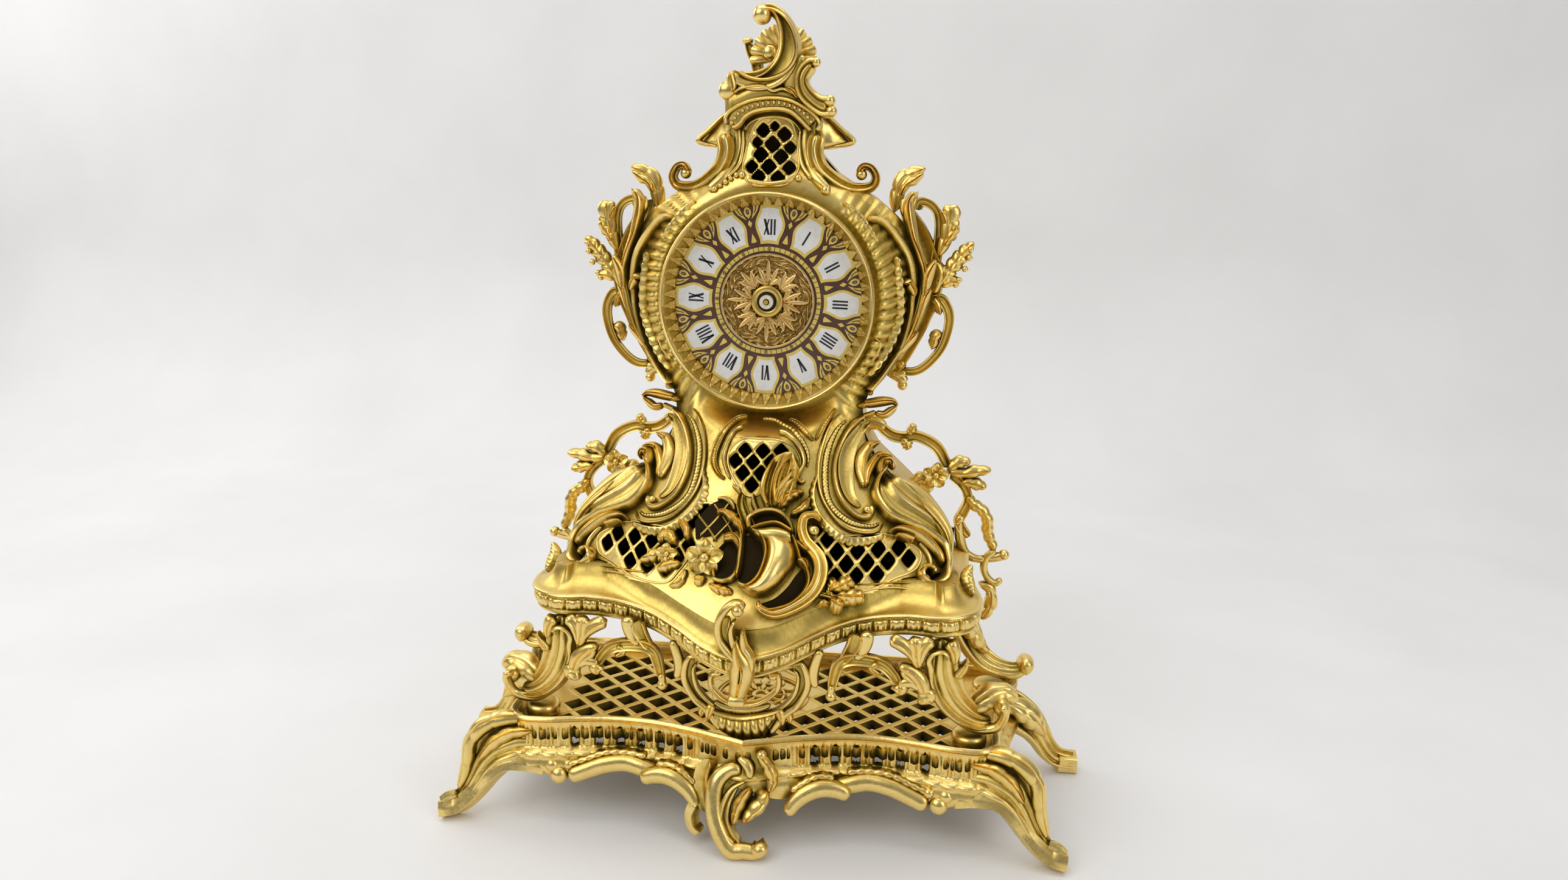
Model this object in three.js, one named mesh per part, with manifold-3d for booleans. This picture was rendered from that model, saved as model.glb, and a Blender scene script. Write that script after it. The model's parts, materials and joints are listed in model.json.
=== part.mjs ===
// Mantel clock in cast brass, in the Rococo manner, standing on an openwork plinth.
// Millimetres, +Z up, the dial faces -Y, the origin lies on the floor under the middle of the clock.
import * as THREE from 'three';
import { mergeVertices } from 'three/addons/utils/BufferGeometryUtils.js';
import Module from 'manifold-3d';

const wasm = await Module();
wasm.setup();

// Fits and walls
const seatGap = 0.3; // between two pieces that are screwed, soldered or pressed together
const runGap = 0.4; // between a turning piece and what it turns in
const castWall = 3; // case front casting
const sideWall = 2.2; // case sides
const backPlateThickness = 2;

// Heights, from the floor up
const plinthHeight = 50; // top face of the lattice plate
const plinthPlate = 3;
const rimHeight = 7;
const rimWidth = 5;
const padHeight = 7.2;
const legHeight = 54.9;
const mouldingDrop = 14.5; // from the middle of the cushion down to the underside of the bead row
const mouldingRise = 9;
const bodyHeight = 140.7; // from the middle of the moulding up to the dial centre
const neckHeight = 78; // from the dial centre up to the foot of the roof
const archHeight = 100; // from the dial centre up to the beaded arch on the neck

// Depths, from front to back
const seatDepth = -15; // flat face of the front casting under the bezel
const caseBack = 17; // rear edge of the case sides
const wingDepth = 11.6; // middle plane of the side wings

// Dial
const dialRadius = 51;
const dialThickness = 1.2;
const dialCentreRadius = 25;
const bezelInner = 49.5;
const bezelOuter = 56.5;
const bezelDepth = 12;
const caseOpening = 44;

// Movement
const movementDepth = 16;
const movementWall = 1.2;
const movementRise = 28; // from the shaft up to the top of the case
const bayRoom = 0.6; // round the cell in its bay
const bayWall = 0.8; // in front of the cell
const contactRoom = 2.3; // between each end of the cell and the wall
const bushRadius = 4.6;
const tubeRadius = 3.6;
const tubeBore = 1.7;
const shaftRadius = 1.2;
const gearModule = 0.6;
const cannonTeeth = 10;
const motionTeeth = 30;
const motionPinionTeeth = 8;
const hourTeeth = 32;
const cellRadius = 7.1;
const cellLength = 49;

// Back door
const doorOpening = 44;
const doorLap = 3; // of the door over the edge of its opening
const latchInset = 4; // from the edge of the opening in to the latch
const doorThickness = 1.6;
const hingePinRadius = 1;
const knuckleRadius = 2.3;
const knuckleLength = 7;

const doorRadius = doorOpening + doorLap;

// Levels worked out from the heights
const padBase = plinthHeight + seatGap;
const padTop = padBase + padHeight;
const mouldingBottom = padTop + legHeight;
const mouldingZ = mouldingBottom + mouldingDrop;
const dialZ = mouldingZ + bodyHeight;
const neckZ = dialZ + neckHeight;
const archZ = dialZ + archHeight;

const brass = { color: 0xc9a24b, roughness: 0.3, metalness: 1 };
const darkBrass = { color: 0x8f7440, roughness: 0.45, metalness: 1 };
const enamel = { color: 0xf1f0ea, roughness: 0.25, metalness: 0 };
const blackPlastic = { color: 0x1d1d1f, roughness: 0.6, metalness: 0 };
const creamPlastic = { color: 0xd9cfb0, roughness: 0.5, metalness: 0 };
const steel = { color: 0xb9bcc0, roughness: 0.3, metalness: 1 };
const copper = { color: 0xb4683a, roughness: 0.4, metalness: 1 };
const boardGreen = { color: 0x2f5d3a, roughness: 0.6, metalness: 0 };

const clock = new THREE.Group();

function addNode(name, geometry, look) {
  const mesh = new THREE.Mesh(geometry, new THREE.MeshStandardMaterial(look));
  mesh.name = name;
  clock.add(mesh);
  return mesh;
}

// Solids: a closed geometry becomes a manifold for joining and cutting, and comes back
function toSolid(geometry) {
  const bare = geometry.clone();
  bare.deleteAttribute('normal');
  bare.deleteAttribute('uv');
  const merged = mergeVertices(bare, 1e-4);
  return new wasm.Manifold(new wasm.Mesh({
    numProp: 3,
    vertProperties: new Float32Array(merged.attributes.position.array),
    triVerts: new Uint32Array(merged.index.array),
  }));
}

function toGeometry(solid) {
  const mesh = solid.getMesh();
  const geometry = new THREE.BufferGeometry();
  geometry.setAttribute('position', new THREE.BufferAttribute(mesh.vertProperties, 3));
  geometry.setIndex(new THREE.BufferAttribute(mesh.triVerts, 1));
  return geometry;
}

function join(...geometries) {
  return geometries.map(toSolid).reduce((sum, next) => sum.add(next));
}


function largestPart(solid) {
  const parts = solid.decompose();
  return parts.reduce((best, next) => (next.volume() > best.volume() ? next : best));
}

// Closed surface through a stack of rings with the same number of points, capped at both ends
function loft(rings) {
  const count = rings[0].length;
  const positions = rings.flat().flatMap((p) => [p.x, p.y, p.z]);
  const index = [];
  for (let i = 0; i < rings.length - 1; i += 1) {
    for (let j = 0; j < count; j += 1) {
      const a = i * count + j;
      const b = i * count + ((j + 1) % count);
      index.push(a, b, b + count, a, b + count, a + count);
    }
  }
  const last = (rings.length - 1) * count;
  for (let j = 1; j < count - 1; j += 1) {
    index.push(0, j + 1, j);
    index.push(last, last + j, last + j + 1);
  }
  const geometry = new THREE.BufferGeometry();
  geometry.setAttribute('position', new THREE.Float32BufferAttribute(positions, 3));
  geometry.setIndex(index);
  return geometry;
}

// Closed plate between two grids of points, outer seen from the front and inner behind it
function plateBetween(outer, inner) {
  const rows = outer.length;
  const columns = outer[0].length;
  const all = [...outer.flat(), ...inner.flat()];
  const back = rows * columns;
  const index = [];
  const quad = (a, b, c, d) => index.push(a, b, c, a, c, d);
  for (let i = 0; i < rows - 1; i += 1) {
    for (let j = 0; j < columns - 1; j += 1) {
      const a = i * columns + j;
      quad(a, a + 1, a + columns + 1, a + columns);
      quad(back + a, back + a + columns, back + a + columns + 1, back + a + 1);
    }
    const left = i * columns;
    const right = left + columns - 1;
    quad(left, left + columns, back + left + columns, back + left);
    quad(right, back + right, back + right + columns, right + columns);
  }
  for (let j = 0; j < columns - 1; j += 1) {
    const high = (rows - 1) * columns + j;
    quad(j, back + j, back + j + 1, j + 1);
    quad(high, high + 1, back + high + 1, back + high);
  }
  const geometry = new THREE.BufferGeometry();
  geometry.setAttribute('position', new THREE.Float32BufferAttribute(all.flatMap((p) => [p.x, p.y, p.z]),
    3));
  geometry.setIndex(index);
  return geometry;
}

// The left-hand copy of a piece: every point goes over and every triangle turns round
function mirrored(solid) {
  const geometry = toGeometry(solid);
  const points = geometry.attributes.position;
  for (let i = 0; i < points.count; i += 1) points.setX(i, -points.getX(i));
  const index = geometry.index.array;
  for (let i = 0; i < index.length; i += 3) [index[i + 1], index[i + 2]] = [index[i + 2], index[i + 1]];
  return toSolid(geometry);
}

// Prism with an outline in the front view (x, z) between two depths
function prismY(shape, yFront, yBack, curveSegments = 12) {
  const geometry = new THREE.ExtrudeGeometry(shape, { depth: yBack - yFront, bevelEnabled: false,
    curveSegments });
  geometry.rotateX(Math.PI / 2);
  return geometry.translate(0, yBack, 0);
}

function prismZ(shape, zLow, zHigh, curveSegments = 12) {
  const geometry = new THREE.ExtrudeGeometry(shape, { depth: zHigh - zLow, bevelEnabled: false,
    curveSegments });
  return geometry.translate(0, 0, zLow);
}

function polygon(points) {
  return new THREE.Shape(points.map(([x, y]) => new THREE.Vector2(x, y)));
}

function disc(x, z, radius) {
  const shape = new THREE.Shape();
  shape.absarc(x, z, radius, 0, 2 * Math.PI, false);
  return shape;
}

function cylinderY(x, z, radius, yFront, yBack, segments = 24) {
  const geometry = new THREE.CylinderGeometry(radius, radius, yBack - yFront, segments);
  return geometry.translate(x, (yFront + yBack) / 2, z);
}

function cylinderZ(x, y, radius, zLow, zHigh, segments = 12) {
  const geometry = new THREE.CylinderGeometry(radius, radius, zHigh - zLow, segments);
  geometry.rotateX(Math.PI / 2);
  return geometry.translate(x, y, (zLow + zHigh) / 2);
}

function block(xLow, xHigh, yFront, yBack, zLow, zHigh) {
  const geometry = new THREE.BoxGeometry(xHigh - xLow, yBack - yFront, zHigh - zLow);
  return geometry.translate((xLow + xHigh) / 2, (yFront + yBack) / 2, (zLow + zHigh) / 2);
}

function ball(centre, radius, depth = radius) {
  const geometry = new THREE.OctahedronGeometry(radius, 1);
  geometry.scale(1, depth / radius, 1);
  return geometry.translate(centre.x, centre.y, centre.z);
}

// Value at t from a list spread evenly over 0 to 1
function spread(list, t) {
  if (list.length === 1) return list[0];
  const at = t * (list.length - 1);
  const low = Math.min(Math.floor(at), list.length - 2);
  return THREE.MathUtils.lerp(list[low], list[low + 1], at - low);
}

// Cast scroll: an oval section carried along a smooth path, wide in the front view
function scroll(path, widths, { depth = 1, sides = 3, steps = 6 } = {}) {
  const curve = new THREE.CatmullRomCurve3(path, false, 'centripetal');
  const forward = new THREE.Vector3(0, -1, 0);
  const rings = [];
  for (let i = 0; i <= steps; i += 1) {
    const t = i / steps;
    const centre = curve.getPointAt(t);
    const along = curve.getTangentAt(t);
    const across = new THREE.Vector3().crossVectors(along, forward).normalize();
    const out = new THREE.Vector3().crossVectors(across, along).normalize();
    const width = spread(widths, t);
    rings.push(Array.from({ length: sides }, (_, j) => {
      const angle = Math.PI / 2 + (2 * Math.PI * j) / sides;
      return centre.clone()
        .addScaledVector(across, width * Math.cos(angle))
        .addScaledVector(out, width * depth * Math.sin(angle));
    }));
  }
  return loft(rings.map((ring) => ring.reverse()));
}

// Smooth value from a table of rows, by cubic pieces with slopes taken from the neighbours
function tableValue(rows, key, at) {
  const low = Math.max(0, Math.min(rows.length - 2, rows.findLastIndex((row) => row[0] <= at)));
  const slope = (i) => {
    const a = rows[Math.max(0, i - 1)];
    const b = rows[Math.min(rows.length - 1, i + 1)];
    return (b[key] - a[key]) / (b[0] - a[0]);
  };
  const [p, q] = [rows[low], rows[low + 1]];
  const h = q[0] - p[0];
  const t = Math.min(1, Math.max(0, (at - p[0]) / h));
  const [t2, t3] = [t * t, t * t * t];
  return (2 * t3 - 3 * t2 + 1) * p[key] + (t3 - 2 * t2 + t) * h * slope(low)
    + (3 * t2 - 2 * t3) * q[key] + (t3 - t2) * h * slope(low + 1);
}

// Case outline: height, half width, depth of the front at the middle and at the edge
const caseRows = [
  [mouldingZ - 12, 97, -97, -62],
  [mouldingZ + 4.5, 97, -86, -57],
  [mouldingZ + 12.5, 98, -80, -50],
  [mouldingZ + 22.5, 94, -70, -42],
  [mouldingZ + 35.5, 84, -57, -32],
  [mouldingZ + 50.5, 68, -46, -24],
  [mouldingZ + 62.5, 56, -39, -18],
  [dialZ - 68, 52, -34, -14],
  [dialZ - 58, 51, -29, -11],
  [dialZ - 48, 54, -24, -8],
  [dialZ - 33, 64, -19, -4],
  [dialZ - 18, 74, -16, -1],
  [dialZ, 80, -15, 0],
  [dialZ + 17, 80, -15, 0],
  [dialZ + 32, 74, -15, -1],
  [dialZ + 44, 66, -15, -1],
  [dialZ + 54, 53, -14, 0],
  [dialZ + 62, 40, -13, 1],
  [dialZ + 70, 28, -11, 1],
  [neckZ, 23, -9, 0],
  [neckZ + 10, 22, -8, 0],
  [neckZ + 20, 23, -7, 0],
  [neckZ + 28, 18, -6, -1],
  [neckZ + 34, 8, -5, -3],
];
const halfWidth = (z) => tableValue(caseRows, 1, z);

// Front of the case: bowed across, and flat where the bezel sits
function frontDepth(x, z) {
  const share = Math.min(1, Math.abs(x) / halfWidth(z));
  const middle = tableValue(caseRows, 2, z);
  const edge = tableValue(caseRows, 3, z);
  const bowed = middle + (edge - middle) * share ** 2.2;
  const fromDial = Math.hypot(x, z - dialZ);
  const flat = 1 - THREE.MathUtils.smoothstep(fromDial, bezelOuter + 2, bezelOuter + 16);
  return THREE.MathUtils.lerp(bowed, seatDepth, flat);
}

function place(points, origin, depthAt) {
  return points.map(([x, z]) => new THREE.Vector3(x, depthAt(x, origin + z), origin + z));
}
const onFront = (points, origin, lift) => place(points, origin, (x, z) => frontDepth(x, z) - lift);
const inPlane = (points, origin, y) => place(points, origin, () => y);
const flip = (points) => points.map(([x, z]) => [-x, z]);

// Base moulding: plan of the front half and height of the cushion along it
const mouldingPlan = [
  [0, -98, -20], [15, -94, -17.5], [32, -85, -11.5], [47, -80, -6], [62, -78, -2.5], [80, -79, 0],
    [97, -80, 0],
  [108, -73, 0], [111, -60, 0], [108, -38, 0], [106, -15, 0], [107, caseBack - 1, 0],
];
const mouldingCurve = new THREE.CatmullRomCurve3(
  [...mouldingPlan.slice(1).reverse().map(([x, y, z]) => new THREE.Vector3(-x, y, z)),
    ...mouldingPlan.map(([x, y, z]) => new THREE.Vector3(x, y, z))], false, 'centripetal');
const mouldingSteps = 36;
const mouldingNotch = -6.8;
const mouldingSection = [
  [-15, mouldingRise], [-2, mouldingRise], [4.4, 5], [6, 0], [4.4, -5], [1.8, mouldingNotch], [4.4, -8.4],
    [4.4, -12],
  [1.5, -mouldingDrop], [-15, -mouldingDrop],
];

function sweepPlan(curve, section, steps, level) {
  const rings = [];
  for (let i = 0; i <= steps; i += 1) {
    const centre = curve.getPointAt(i / steps);
    const along = curve.getTangentAt(i / steps).setZ(0).normalize();
    const out = new THREE.Vector3(along.y, -along.x, 0);
    rings.push(section.map(([o, dz]) => new THREE.Vector3(
      centre.x + out.x * o, centre.y + out.y * o, level + centre.z + dz)));
  }
  return loft(rings);
}

// The moulding grown by the seat gap, which cuts the pieces that stand on it, hang under it or lie beside it
const mouldingEnvelope = mouldingSection.filter(([, dz]) => dz !== mouldingNotch).map(([o, dz]) => [
  o > 0 ? o + seatGap : o, dz === mouldingRise || dz === -mouldingDrop ? dz + Math.sign(dz) * seatGap : dz]);
const mouldingZone = toSolid(sweepPlan(mouldingCurve, mouldingEnvelope, mouldingSteps, mouldingZ));

function mouldingLevel(x) {
  const half = mouldingPlan.filter(([px]) => px <= 98);
  const rows = half.map(([px, , z]) => [px, z]);
  return mouldingZ + (Math.abs(x) > 97 ? 0 : tableValue(rows, 1, Math.abs(x)));
}

// Web that closes the case from below: it hangs with the moulding in front and levels out to the rear
const webThickness = 2;
function mouldingWeb() {
  const columns = 19;
  const rows = 5;
  const reach = 95;
  const frontRows = mouldingPlan.filter(([px]) => px <= 98);
  const grid = (depth) => Array.from({ length: rows }, (_, i) => Array.from({ length: columns }, (__, j) => {
    const x = reach * ((2 * j) / (columns - 1) - 1);
    const v = i / (rows - 1);
    const front = tableValue(frontRows, 1, Math.abs(x)) + 12;
    const dip = (mouldingLevel(x) - mouldingZ) * (1 - v) ** 1.5;
    return new THREE.Vector3(x, front + (caseBack - 1.5 - front) * v, mouldingZ - mouldingDrop + depth + dip);
  }));
  return plateBetween(grid(webThickness), grid(0));
}

const moulding = toSolid(sweepPlan(mouldingCurve, mouldingSection, mouldingSteps, mouldingZ))
  .add(toSolid(mouldingWeb()));
addNode('base_moulding', toGeometry(moulding), brass);

// Case front casting with its three pierced windows
function frontShell(grow, thickness) {
  const columns = 7;
  const rowHeights = caseRows.slice(1).map((row) => row[0])
    .filter((height, i, all) => i % 3 !== 1 || i === all.length - 1);
  const grid = (depth) => rowHeights.map((height, i) => Array.from({ length: columns }, (_, j) => {
    const u = (2 * j) / (columns - 1) - 1;
    const x = (halfWidth(height) + grow) * u;
    const foot = mouldingLevel(x) + mouldingRise;
    const z = i === 0 ? foot + seatGap : Math.max(height,
      foot + 2 * i) + (i === rowHeights.length - 1 ? grow : 0);
    return new THREE.Vector3(x, frontDepth(x, z) + depth, z);
  }));
  return plateBetween(grid(-grow), grid(thickness));
}

// Diamond lattice holes inside a window outline
function latticeHoles(outline, pitchX, pitchZ, bar, centreX, centreZ, yFront, yBack) {
  const window = toSolid(prismY(polygon(outline), yFront, yBack));
  const box = new THREE.Box2().setFromPoints(outline.map(([x, z]) => new THREE.Vector2(x, z)));
  const halfX = pitchX / 2 - bar * 0.7;
  const halfZ = pitchZ / 2 - bar * 0.7;
  let holes = null;
  const shape = polygon(outline).getPoints();
  const inside = (x, z) => {
    let hit = false;
    for (let i = 0, j = shape.length - 1; i < shape.length; j = i, i += 1) {
      const [a, b] = [shape[i], shape[j]];
      if ((a.y > z) !== (b.y > z) && x < ((b.x - a.x) * (z - a.y)) / (b.y - a.y) + a.x) hit = !hit;
    }
    return hit;
  };
  const reachX = Math.ceil((box.max.x - box.min.x) / pitchX) + 2;
  const reachZ = Math.ceil((box.max.y - box.min.y) / pitchZ) + 2;
  for (let i = -2 * reachX; i <= 2 * reachX; i += 1) {
    for (let j = -2 * reachZ; j <= 2 * reachZ; j += 1) {
      const x = centreX + (i * pitchX) / 2;
      const z = centreZ + (j * pitchZ) / 2;
      if ((i + j) % 2 === 0 && inside(x, z)) {
        const hole = toSolid(prismY(polygon([[x - halfX, z], [x, z - halfZ], [x + halfX, z],
          [x, z + halfZ]]), yFront, yBack));
        holes = holes ? holes.add(hole) : hole;
      }
    }
  }
  return holes.intersect(window);
}

const neckWindow = [[-10, 61], [10, 61], [14, 67], [13, 76], [11.5, 86], [8, 91], [0, 93], [-8, 91],
  [-11.5, 86], [-13, 76], [-14, 67]]
  .map(([x, z]) => [x, dialZ + z]);
const waistWindow = [[-6, -98], [6, -98], [15, -92], [19, -84], [18, -76], [11, -70], [0, -68], [-11, -70],
  [-18, -76], [-19, -84], [-15, -92]]
  .map(([x, z]) => [x, dialZ + z]);
const lowerWindow = [[30, 10], [45, 9], [62, 10], [78, 11], [86, 15], [84, 21], [74, 23.5], [60, 22],
  [45, 22], [32, 23]]
  .map(([x, z]) => [x, mouldingZ + z]);

const windowHoles = latticeHoles(neckWindow, 10.4, 11.4, 2, 0.5, dialZ + 79, -40, 20)
  .add(latticeHoles(waistWindow, 11.6, 11.6, 2, 0, dialZ - 84, -90, 10))
  .add(latticeHoles(lowerWindow, 13, 11.2, 2.2, 58, mouldingZ + 16, -130, 10))
  .add(latticeHoles(flip(lowerWindow).reverse(), 13, 11.2, 2.2, -58, mouldingZ + 16, -130, 10));

// Relief of one side of the case front, as cast scrolls on the bowed surface
function frontRelief(side) {
  const draw = (points, origin, lift, widths, options) => scroll(
    onFront(side > 0 ? points : flip(points), origin, lift), widths, options);
  const knob = ([x, z], origin, lift, radius) => ball(
    new THREE.Vector3(side * x, frontDepth(x, origin + z) - lift, origin + z), radius);
  const neckPath = [[22, 84, -12], [22, 76, -11], [25, 68, -8], [32, 62, -2], [40, 59, 3], [48, 60, 6],
    [53, 65, 8], [52, 71, 8]]
    .map(([x, z, y]) => new THREE.Vector3(side * x, y, dialZ + z));
  return [
    draw([[69, -51], [60, -55], [50, -60], [42, -68], [38, -80], [37, -90], [40, -98], [47, -104],
      [54, -103]],
      dialZ, 2, [1.5, 3.6, 3, 2.5, 2.3, 2.3, 2.3, 2.4, 2.4], { steps: 7 }),
    draw([[44, -57], [36, -65], [31.5, -78], [31, -90], [34, -101], [42, -109], [52, -112], [63, -110]],
      dialZ, 1.2, [1.4, 2, 2, 2, 2, 2, 2, 1.4], { steps: 6 }),
    draw([[27, -97], [33, -108], [44, -115.5], [58, -118], [72, -116]], dialZ, 0.6,
      [1.2, 2.4, 2.6, 2.4, 1.2], { steps: 4 }),
    draw([[50, -80], [60, -76], [68, -79]], dialZ, 2, [3, 3, 1], { steps: 3 }),
    knob([54, -101], dialZ, 3, 3.2),
    draw([[63, 58], [62, 50], [70, 42], [82, 33], [91, 23], [95, 13], [91, 5.5]],
      mouldingZ, 2, [2, 4, 6.5, 7.5, 7, 5.5, 3.5], { depth: 0.6, steps: 7 }),
    knob([88, 8], mouldingZ, 3, 4.2),
    draw([[50, 58], [62, 51], [71, 40], [77, 28], [80, 14], [81, 2], [78, -12], [73, -24], [66, -36],
      [58, -46], [52, -52]],
      dialZ, 2.5, [2, 3, 3.2, 3.2, 3.2, 3.2, 3.2, 3, 3, 2.6, 2], { steps: 8 }),
    draw([[47, 41], [56, 42], [65, 35], [71, 24], [74, 12], [74, -2], [71, -16], [65, -29], [56, -41],
      [46, -50]],
      dialZ, 1.8, [2.4, 2.6, 2.6, 2.6, 2.4, 2.4, 2.2, 2, 2, 1.4], { steps: 7 }),
    scroll(neckPath, [3, 3.2, 3.4, 3.5, 3.5, 3.2, 2.8, 2.2], { steps: 8 }),
    ball(new THREE.Vector3(side * 48.5, 8, dialZ + 68), 4.2),
  ];
}

const archPath = [[-26, -12.5], [-21, -6], [-11, -1.5], [0, 0], [11, -1.5], [21, -6], [26, -12.5]];
const archRelief = scroll(onFront(archPath, archZ, 2.5), [2.8], { steps: 8 });
const windowRelief = [
  scroll(onFront([[-10, -61], [-20, -67], [-26, -76], [-27, -84], [-24, -90], [-17, -91]], dialZ, 1.2),
    [1.4, 2, 2, 2, 2, 1.6], { steps: 5 }),
  scroll(onFront([[-8, -66], [4, -65], [15, -68], [22, -75], [24.5, -84], [27, -91]], dialZ, 1.2),
    [1.4, 2, 2, 2, 2, 1.4], { steps: 6 }),
];

// The strip that the case sides take up: outline offset inwards, from the front edge to the back
const sideFoot = mouldingZ + mouldingRise + seatGap;
const sideSteps = 17;
const sideLevels = Array.from({ length: sideSteps + 1 }, (_,
  i) => sideFoot + ((neckZ - seatGap - sideFoot) * i) / sideSteps);
function sideStrip(levels, outward, inward, frontGap, yBack) {
  const rings = [];
  for (const z of levels) {
    const slope = (halfWidth(z + 0.5) - halfWidth(z - 0.5));
    const lean = Math.hypot(1, slope);
    const edge = halfWidth(z);
    const yFront = frontDepth(edge, z) + castWall + frontGap;
    const [xOut, xIn] = [edge + outward * lean, edge - inward * lean];
    rings.push([
      new THREE.Vector3(xOut, yFront, z), new THREE.Vector3(xOut, yBack, z),
      new THREE.Vector3(xIn, yBack, z), new THREE.Vector3(xIn, yFront, z)]);
  }
  return loft(rings);
}
const sideRight = toSolid(sideStrip(sideLevels, 0, sideWall, seatGap, caseBack));
const sideZone = toSolid(sideStrip([sideFoot - 4, ...sideLevels, neckZ + 2], seatGap, sideWall + 1, 0,
  caseBack + 30));

const frontSolid = [...frontRelief(1), ...frontRelief(-1), archRelief, ...windowRelief]
  .map(toSolid).reduce((sum, next) => sum.add(next), toSolid(frontShell(0, castWall)))
  .subtract(windowHoles)
  .subtract(toSolid(cylinderY(0, dialZ, caseOpening, -60, 30, 32)))
  .subtract(toSolid(cylinderY(0, dialZ, bezelOuter + seatGap, -60, seatDepth, 32)))
  .subtract(sideZone)
  .subtract(mirrored(sideZone));
const caseFront = largestPart(frontSolid.subtract(mouldingZone));
addNode('case_front', toGeometry(caseFront), brass);
addNode('case_side_right', toGeometry(sideRight), brass);
addNode('case_side_left', toGeometry(mirrored(sideRight)), brass);

// Back plate with the round opening of the door
function backOutline() {
  const right = [[104, mouldingBottom], [104, sideFoot]];
  sideLevels.forEach((z) => right.push([halfWidth(z), z]));
  return [...right, ...flip(right).reverse()];
}
const backFront = caseBack + seatGap;
const backRear = backFront + backPlateThickness;
const hingeX = doorRadius + knuckleRadius + 0.6;
const hingeY = backRear + knuckleRadius + 0.5;
const backShape = polygon(backOutline());
backShape.holes.push(disc(0, dialZ, doorOpening));

function tube(x, y, outer, bore, zLow, zHigh) {
  return toSolid(cylinderZ(x, y, outer, zLow, zHigh)).subtract(toSolid(cylinderZ(x, y, bore, zLow - 1,
    zHigh + 1)));
}
const pinFit = 0.25;
const outerKnuckle = (dz) => tube(hingeX, hingeY, knuckleRadius, hingePinRadius + pinFit, dialZ + dz,
  dialZ + dz + knuckleLength)
  .add(toSolid(block(hingeX, hingeX + knuckleRadius, backRear - 0.5, hingeY, dialZ + dz,
    dialZ + dz + knuckleLength))
    .subtract(toSolid(cylinderZ(hingeX, hingeY, knuckleRadius - 0.3, dialZ + dz - 1,
      dialZ + dz + knuckleLength + 1))));
const backPlate = toSolid(prismY(backShape, backFront, backRear, 16))
  .add(outerKnuckle(knuckleLength / 2 + runGap))
  .add(outerKnuckle(-1.5 * knuckleLength - runGap));
addNode('back_plate', toGeometry(backPlate), brass);

// Round back door, its knuckle and its strap round the pin
const doorFront = backRear + seatGap;
const doorRear = doorFront + doorThickness;
const doorDisc = toSolid(cylinderY(0, dialZ, doorRadius, doorFront, doorRear, 32));
const doorHollow = toSolid(cylinderY(0, dialZ, doorOpening - 7.5, doorFront - 1, doorFront + 0.6, 24));
const [knuckleLow, knuckleHigh] = [dialZ - knuckleLength / 2, dialZ + knuckleLength / 2];
const doorStrap = toSolid(block(doorRadius - 12, hingeX, doorRear - 0.4, doorRear + 1, knuckleLow,
  knuckleHigh));
const doorKnuckle = toSolid(cylinderZ(hingeX, hingeY, knuckleRadius, knuckleLow, knuckleHigh));
const doorBore = toSolid(cylinderZ(hingeX, hingeY, hingePinRadius + pinFit, knuckleLow - 1,
  knuckleHigh + 1));
const latchX = -(doorOpening - latchInset);
const latchShaft = 1.6;
const door = doorDisc.subtract(doorHollow).add(doorStrap).add(doorKnuckle).subtract(doorBore)
  .subtract(toSolid(cylinderY(latchX, dialZ, latchShaft + runGap, doorFront - 5, doorRear + 5, 16)));
addNode('back_door', toGeometry(door), brass);
addNode('door_hinge_pin', cylinderZ(hingeX, hingeY, hingePinRadius, dialZ - 1.5 * knuckleLength - 1.5,
  dialZ + 1.5 * knuckleLength + 1.5, 12), steel);

// Turn latch: a knob behind the door, a shaft through it and a tongue inside that hooks behind the back plate
const tongueFront = backFront - seatGap - 1.4;
const latch = join(
  cylinderY(latchX, dialZ, 4, doorRear + runGap, doorRear + 4, 20),
  cylinderY(latchX, dialZ, latchShaft, tongueFront, doorRear + 2, 12),
  block(latchX - 2, latchX + 2, tongueFront, tongueFront + 1.4, dialZ - 8.5, dialZ + 2.4));
addNode('door_latch', toGeometry(latch), brass);

// Bezel: turned ring with a sloping inner band, a rounded lip and a rebate over the dial rim
function ringY(profile, segments, y) {
  const geometry = new THREE.LatheGeometry(profile.map(([r, h]) => new THREE.Vector2(r, h)), segments);
  return geometry.translate(0, y, dialZ);
}
const dialFront = seatDepth - seatGap - dialThickness;
const bezelBack = seatDepth - seatGap;
const bezelProfile = [
  [dialRadius + seatGap, 0], [dialRadius + seatGap, -dialThickness - seatGap],
    [bezelInner, -dialThickness - seatGap],
  [bezelInner, -3.4], [bezelOuter - 2.6, -bezelDepth + 1.2], [bezelOuter - 1.2, -bezelDepth],
  [bezelOuter, -bezelDepth + 1.6], [bezelOuter, 0], [dialRadius + seatGap, 0],
];
addNode('bezel', ringY(bezelProfile, 32, bezelBack), brass);

// Dial plate, embossed centre disc and the fixing nut on the movement bush
const dialShape = disc(0, dialZ, dialRadius);
dialShape.holes.push(disc(0, dialZ, bushRadius + seatGap));
addNode('dial_plate', prismY(dialShape, dialFront, dialFront + dialThickness, 20), enamel);
const centreFront = dialFront - seatGap - 0.8;
const centreShape = disc(0, dialZ, dialCentreRadius);
centreShape.holes.push(disc(0, dialZ, bushRadius + seatGap));
addNode('dial_centre', prismY(centreShape, centreFront, dialFront - seatGap, 14), darkBrass);
const nutRadius = 8.4;
const nutShape = disc(0, dialZ, nutRadius);
nutShape.holes.push(disc(0, dialZ, bushRadius + seatGap));
const nutFront = centreFront - seatGap - 2;
addNode('dial_nut', prismY(nutShape, nutFront, centreFront - seatGap, 12), brass);

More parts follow.
